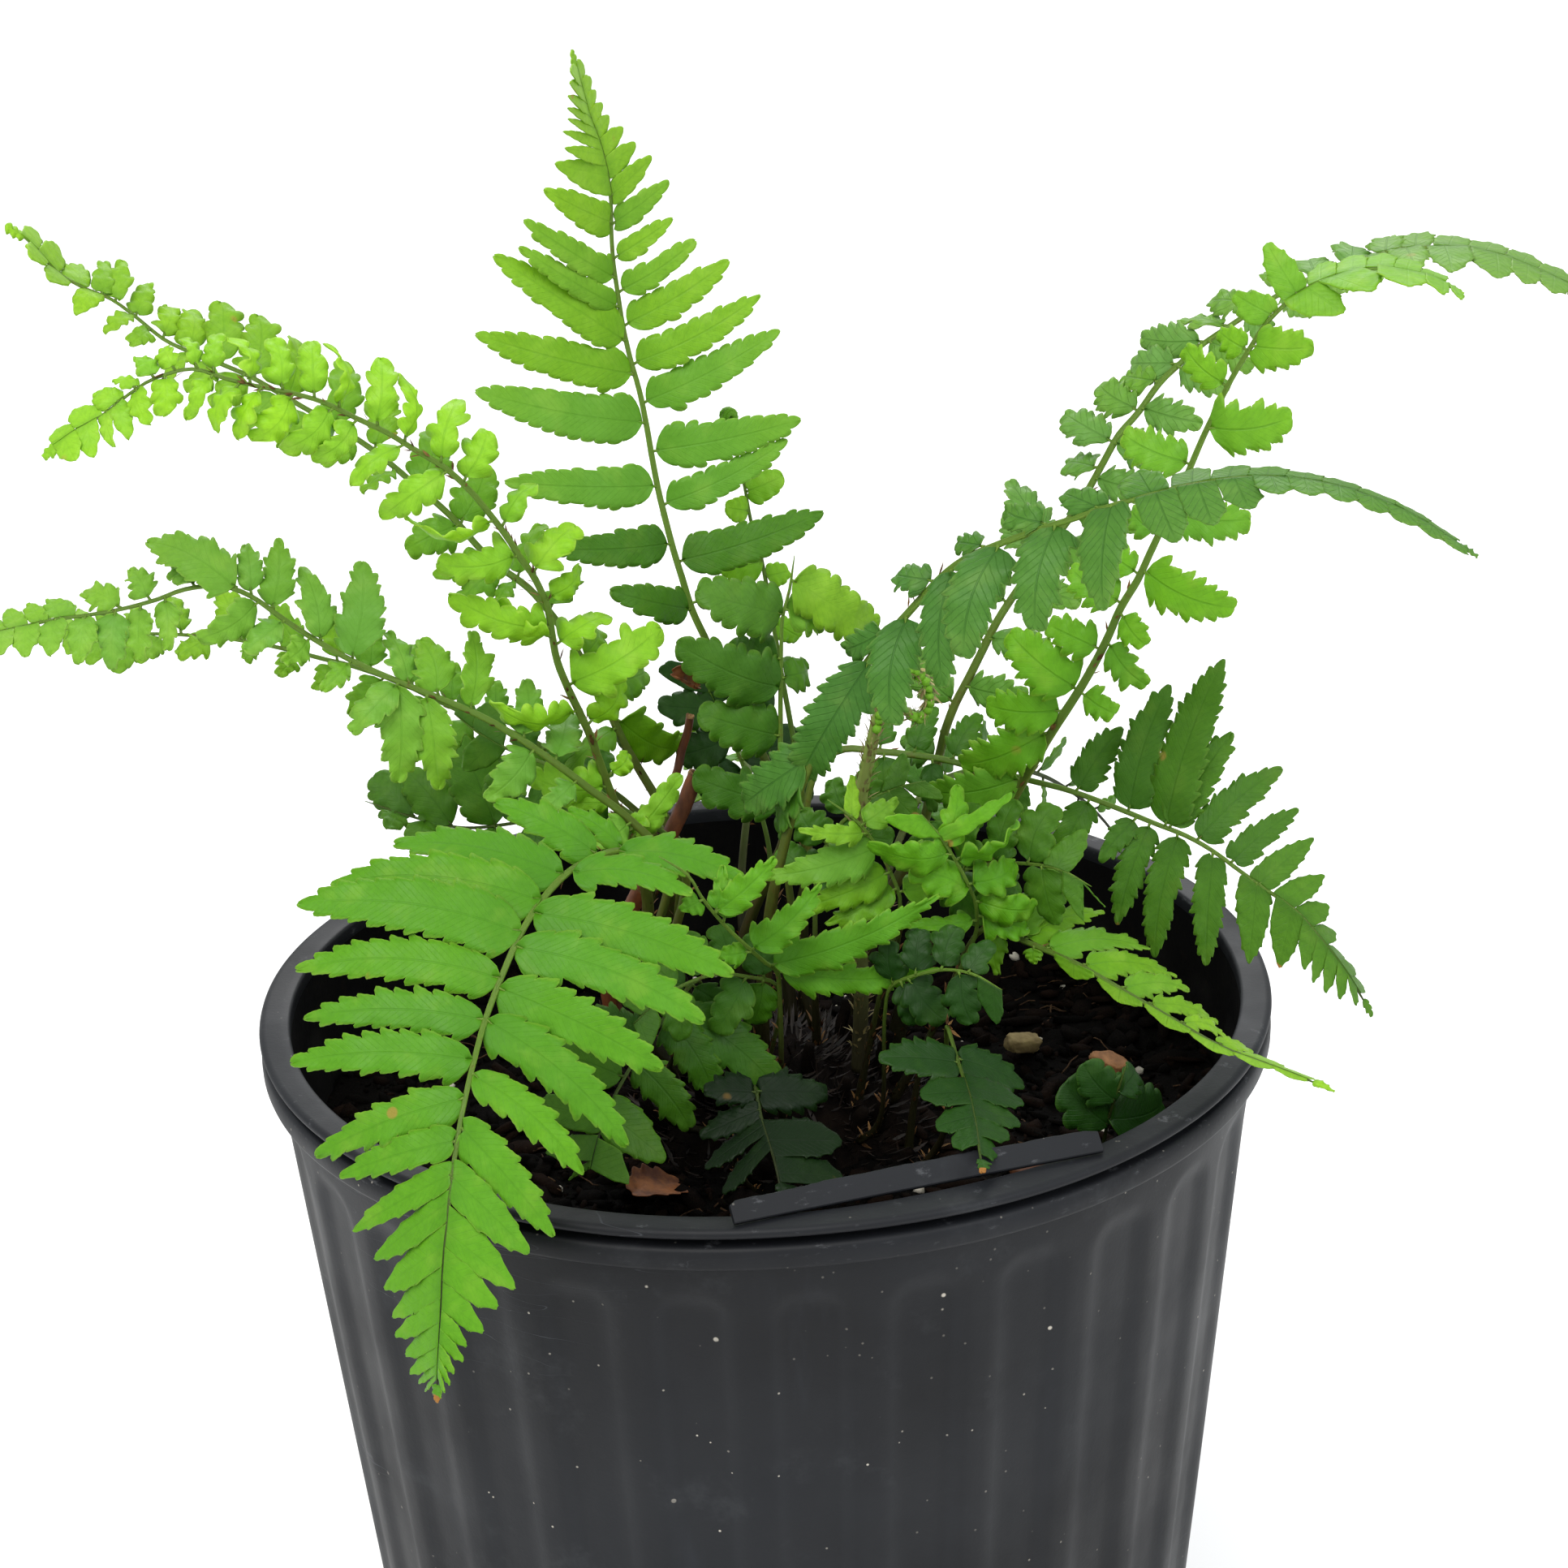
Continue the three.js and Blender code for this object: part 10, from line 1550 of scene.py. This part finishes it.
def make_materials():
    M = MATERIALS
    leaf = {
        # hue: lower colour, outer colour, vein, margin, light through the blade, painted bluish sheen, painted yellow
        # glow
        "mid": ((106, 160, 26), (146, 192, 42), (66, 122, 16), (170, 204, 84), (172, 222, 36), (92, 148, 50), (148, 204, 26)),
        "mid2": ((116, 170, 36), (146, 194, 46), (76, 130, 24), (184, 214, 100), (176, 224, 44), (100, 156, 68), (154, 208, 30)),
        "bright": ((134, 190, 32), (156, 208, 44), (92, 150, 24), (196, 224, 96), (184, 232, 44), (112, 172, 52), (160, 216, 28)),
        "brightmid": ((106, 170, 28), (130, 184, 38), (66, 124, 16), (184, 212, 84), (176, 226, 42), (98, 154, 54), (134, 196, 20)),
        "yellowmid": ((88, 150, 20), (106, 170, 28), (58, 116, 14), (170, 202, 78), (152, 208, 34), (80, 142, 34), (114, 180, 24)),
        "bluemid": ((96, 148, 40), (124, 168, 60), (62, 108, 30), (176, 204, 110), (148, 204, 60), (104, 152, 76), (114, 180, 26)),
        "blue": ((72, 124, 28), (100, 146, 48), (38, 86, 22), (150, 184, 90), (122, 184, 48), (76, 128, 56), (96, 158, 26)),
        "dark": ((66, 117, 19), (88, 138, 30), (38, 80, 14), (130, 164, 64), (112, 176, 34), (56, 102, 34), (84, 140, 20)),
        # shade is a darker copy for leaves low at the front, painted shade; deep is for darker leaves low and inside
        # the plant, made darker also as painted shade
        "shade": ((15, 38, 7), (22, 50, 10), (10, 28, 5), (44, 72, 22), (38, 72, 12), (15, 36, 12), (26, 56, 9)),
        "deep": ((30, 66, 12), (44, 86, 18), (18, 48, 8), (76, 116, 36), (70, 124, 24), (28, 64, 24), (50, 100, 14)),
    }
    for hue, tones in leaf.items():
        M["leaf_" + hue] = leaf_material(
            "leaf_" + hue, *(colour(*c) for c in tones), thin=0.28,
            spots=0.7 if hue in ("yellowmid", "mid", "dark") else 0.35,
            vein_pitch=1.5 if "blue" in hue else 1.2, branch=0.20 if "blue" in hue else 0.07, midline={"blue": 0.42, "bluemid": 0.42, "brightmid": 0.34, "bright": 0.26}.get(hue, 0.20),
        )
    M["stalk"] = stalk_material("stalk_green", colour(112, 108, 44), colour(122, 160, 54), colour(84, 116, 34))
    M["stalk_pale"] = stalk_material("stalk_pale", colour(116, 104, 56), colour(122, 140, 62), colour(88, 92, 44))
    M["scale"] = scale_material("scale_brown", colour(92, 60, 30), colour(176, 136, 84))
    # the dark scales: dark as the crown's scales are, made darker still as painted shade in the crown
    M["scale_dark_and_painted_shade"] = scale_material("scale_dark_and_painted_shade", colour(11, 7, 5), colour(36, 24, 14))
    M["scale_pale"] = scale_material("scale_pale", colour(108, 92, 52), colour(172, 160, 108))
    M["pot"] = pot_material()
    M["pot_inside"] = pot_inside_soil_and_shade_material()
    M["mix"] = mix_material()
    M["perlite"] = simple_material("perlite", colour(150, 144, 130), colour(214, 208, 196), 500, 0.8)
    M["root"] = simple_material("dead_root", colour(36, 25, 17), colour(84, 62, 42), 600, 0.85, 0.0004, 0.1)
    # the crown: dark brown, made darker still as painted shade under the fronds
    M["crown"] = simple_material("crown_brown_and_painted_shade", colour(7, 5, 4), colour(19, 13, 9), 260, 0.9, 0.0008, 0.05)
    M["dead_stem"] = simple_material("dead_stem", colour(62, 30, 18), colour(126, 70, 38), 260, 0.5, 0.0003, 0.45, (1, 1, 0.14))
    M["pith"] = simple_material("pith", colour(70, 44, 26), colour(176, 138, 92), 500, 0.85)
    M["dead_leaf"] = simple_material("dead_leaf", colour(78, 38, 16), colour(160, 96, 42), 240, 0.6, 0.0004, 0.4)
    M["bark"] = simple_material("bark", colour(46, 25, 14), colour(112, 66, 38), 210, 0.8, 0.0008, 0.3, (1, 0.25, 1))
    M["bark_tan"] = simple_material("bark_tan", colour(88, 56, 32), colour(160, 112, 68), 210, 0.8, 0.0008, 0.3, (1, 0.25, 1))
    M["pale_chip"] = simple_material("pale_chip", colour(88, 74, 44), colour(146, 130, 84), 260, 0.85)


make_materials()
for i, row in enumerate(FRONDS):
    build_frond(i, row)
build_pot()
build_strip()
build_mix()
build_crown()
build_crozier()
build_stub("stub_thick_cut", "cut_stub_thick", [(-21.5, 7.4, 148.5), (-25, 8.5, 156), (-25.6, 8.2, 166), (-20.6, 7.6, 178.6), (-14.9, 8.0, 188.7), (-12.1, 9.0, 194.3), (-10.1, 10.0, 198.8)], [1.55, 1.5, 1.4, 1.35], 21, True)
build_stub("stub_thin_cut", "cut_stub_thin", [(-16.5, 11.2, 150.5), (-19.4, 20, 165), (-18.7, 23.4, 181.0), (-13.9, 24.0, 192.8), (-12.1, 25.0, 198.6), (-11.0, 25.0, 203.0)], [0.95, 0.85, 0.75, 0.7], 22, False)
build_dry_leaf("dry_leaf_curled", "dry_leaf_curl", (-11.0, 10.6, 215.2), (6.0, 4.6, 1.6), 1.5, 5, (0.9, 0.5, 0.4))
build_dry_leaf("dry_leaf_fallen", "dry_leaf_piece", (-18, -30, 144.6), (11, 8, 1.4), 0.6, 6, (0.2, 0.15, 0.7))
build_chip("chip_bark_front", "bark_chip_front", (-24, -47, 144.4), (10, 5.5, 2.6), (0.06, -0.4), 1, "bark", "bark")
build_chip("chip_bark_right", "bark_chip_right", (41, -27, 144.2), (7, 4.5, 2.3), (0.08, 0.9), 2, "bark", "bark")
build_chip("chip_bark_tan", "bark_chip_tan", (57, 10, 144.2), (8, 4.5, 2.3), (0.06, 2.1), 3, "bark_tan", "bark")
build_chip("chip_pale", "pale_chip", (43, 18, 144.5), (6, 4.6, 2.8), (0.1, 0.4), 4, "pale_chip", "pale_chip")
build_chip("chip_pale_small", "pale_chip_small", (12, -47, 144.2), (4, 3.2, 2.2), (0.1, 1.2), 5, "pale_chip", "pale_chip")


# ---------------------------------------------------------------- floor and light
def build_stage():
    mesh = bpy.data.meshes.new("floor")
    s = 6.0
    mesh.from_pydata([(-s, -s, -0.0002), (s, -s, -0.0002), (s, s, -0.0002), (-s, s, -0.0002)], [], [(0, 1, 2, 3)])
    floor = bpy.data.objects.new("floor", mesh)
    scene.collection.objects.link(floor)
    n = Nodes("floor_pale")
    base = n.mix(n.ramp(n.noise(3, 3, 0.5), 0.3, 0.7), (0.88, 0.88, 0.88, 1), (0.91, 0.91, 0.905, 1))
    mesh.materials.append(n.finish(n.principled(base, 0.7, None, specular=0.2).outputs[0]))
    world = bpy.data.worlds.new("studio")
    scene.world = world
    world.use_nodes = True
    bg = world.node_tree.nodes["Background"]
    bg.inputs["Color"].default_value = (0.97, 0.985, 1.0, 1)
    bg.inputs["Strength"].default_value = 0.82

    def area(name, at, aim, size, power, tint):
        data = bpy.data.lights.new(name, "AREA")
        data.shape, data.size, data.energy, data.color = "DISK", size, power, tint
        lamp = bpy.data.objects.new(name, data)
        lamp.location = at
        lamp.rotation_mode = "QUATERNION"
        lamp.rotation_quaternion = (Vector(aim) - Vector(at)).to_track_quat("-Z", "Y")
        scene.collection.objects.link(lamp)

    area("backdrop", (0.0, 2.3, 1.6), (0, 2.3, 0), 2.4, 13.0, (1.0, 1.0, 1.0))
    area("key", (-0.35, -0.75, 1.35), (0, 0, 0.2), 1.1, 18.0, (1.0, 0.985, 0.95))
    area("fill", (0.9, -0.5, 0.9), (0, 0, 0.15), 0.9, 5.0, (0.95, 0.98, 1.0))
    area("back", (0.1, 1.1, 1.0), (0, 0, 0.2), 0.9, 6.0, (1.0, 1.0, 1.0))
    scene.view_settings.view_transform = "Standard"
    scene.view_settings.look = "None"


build_stage()
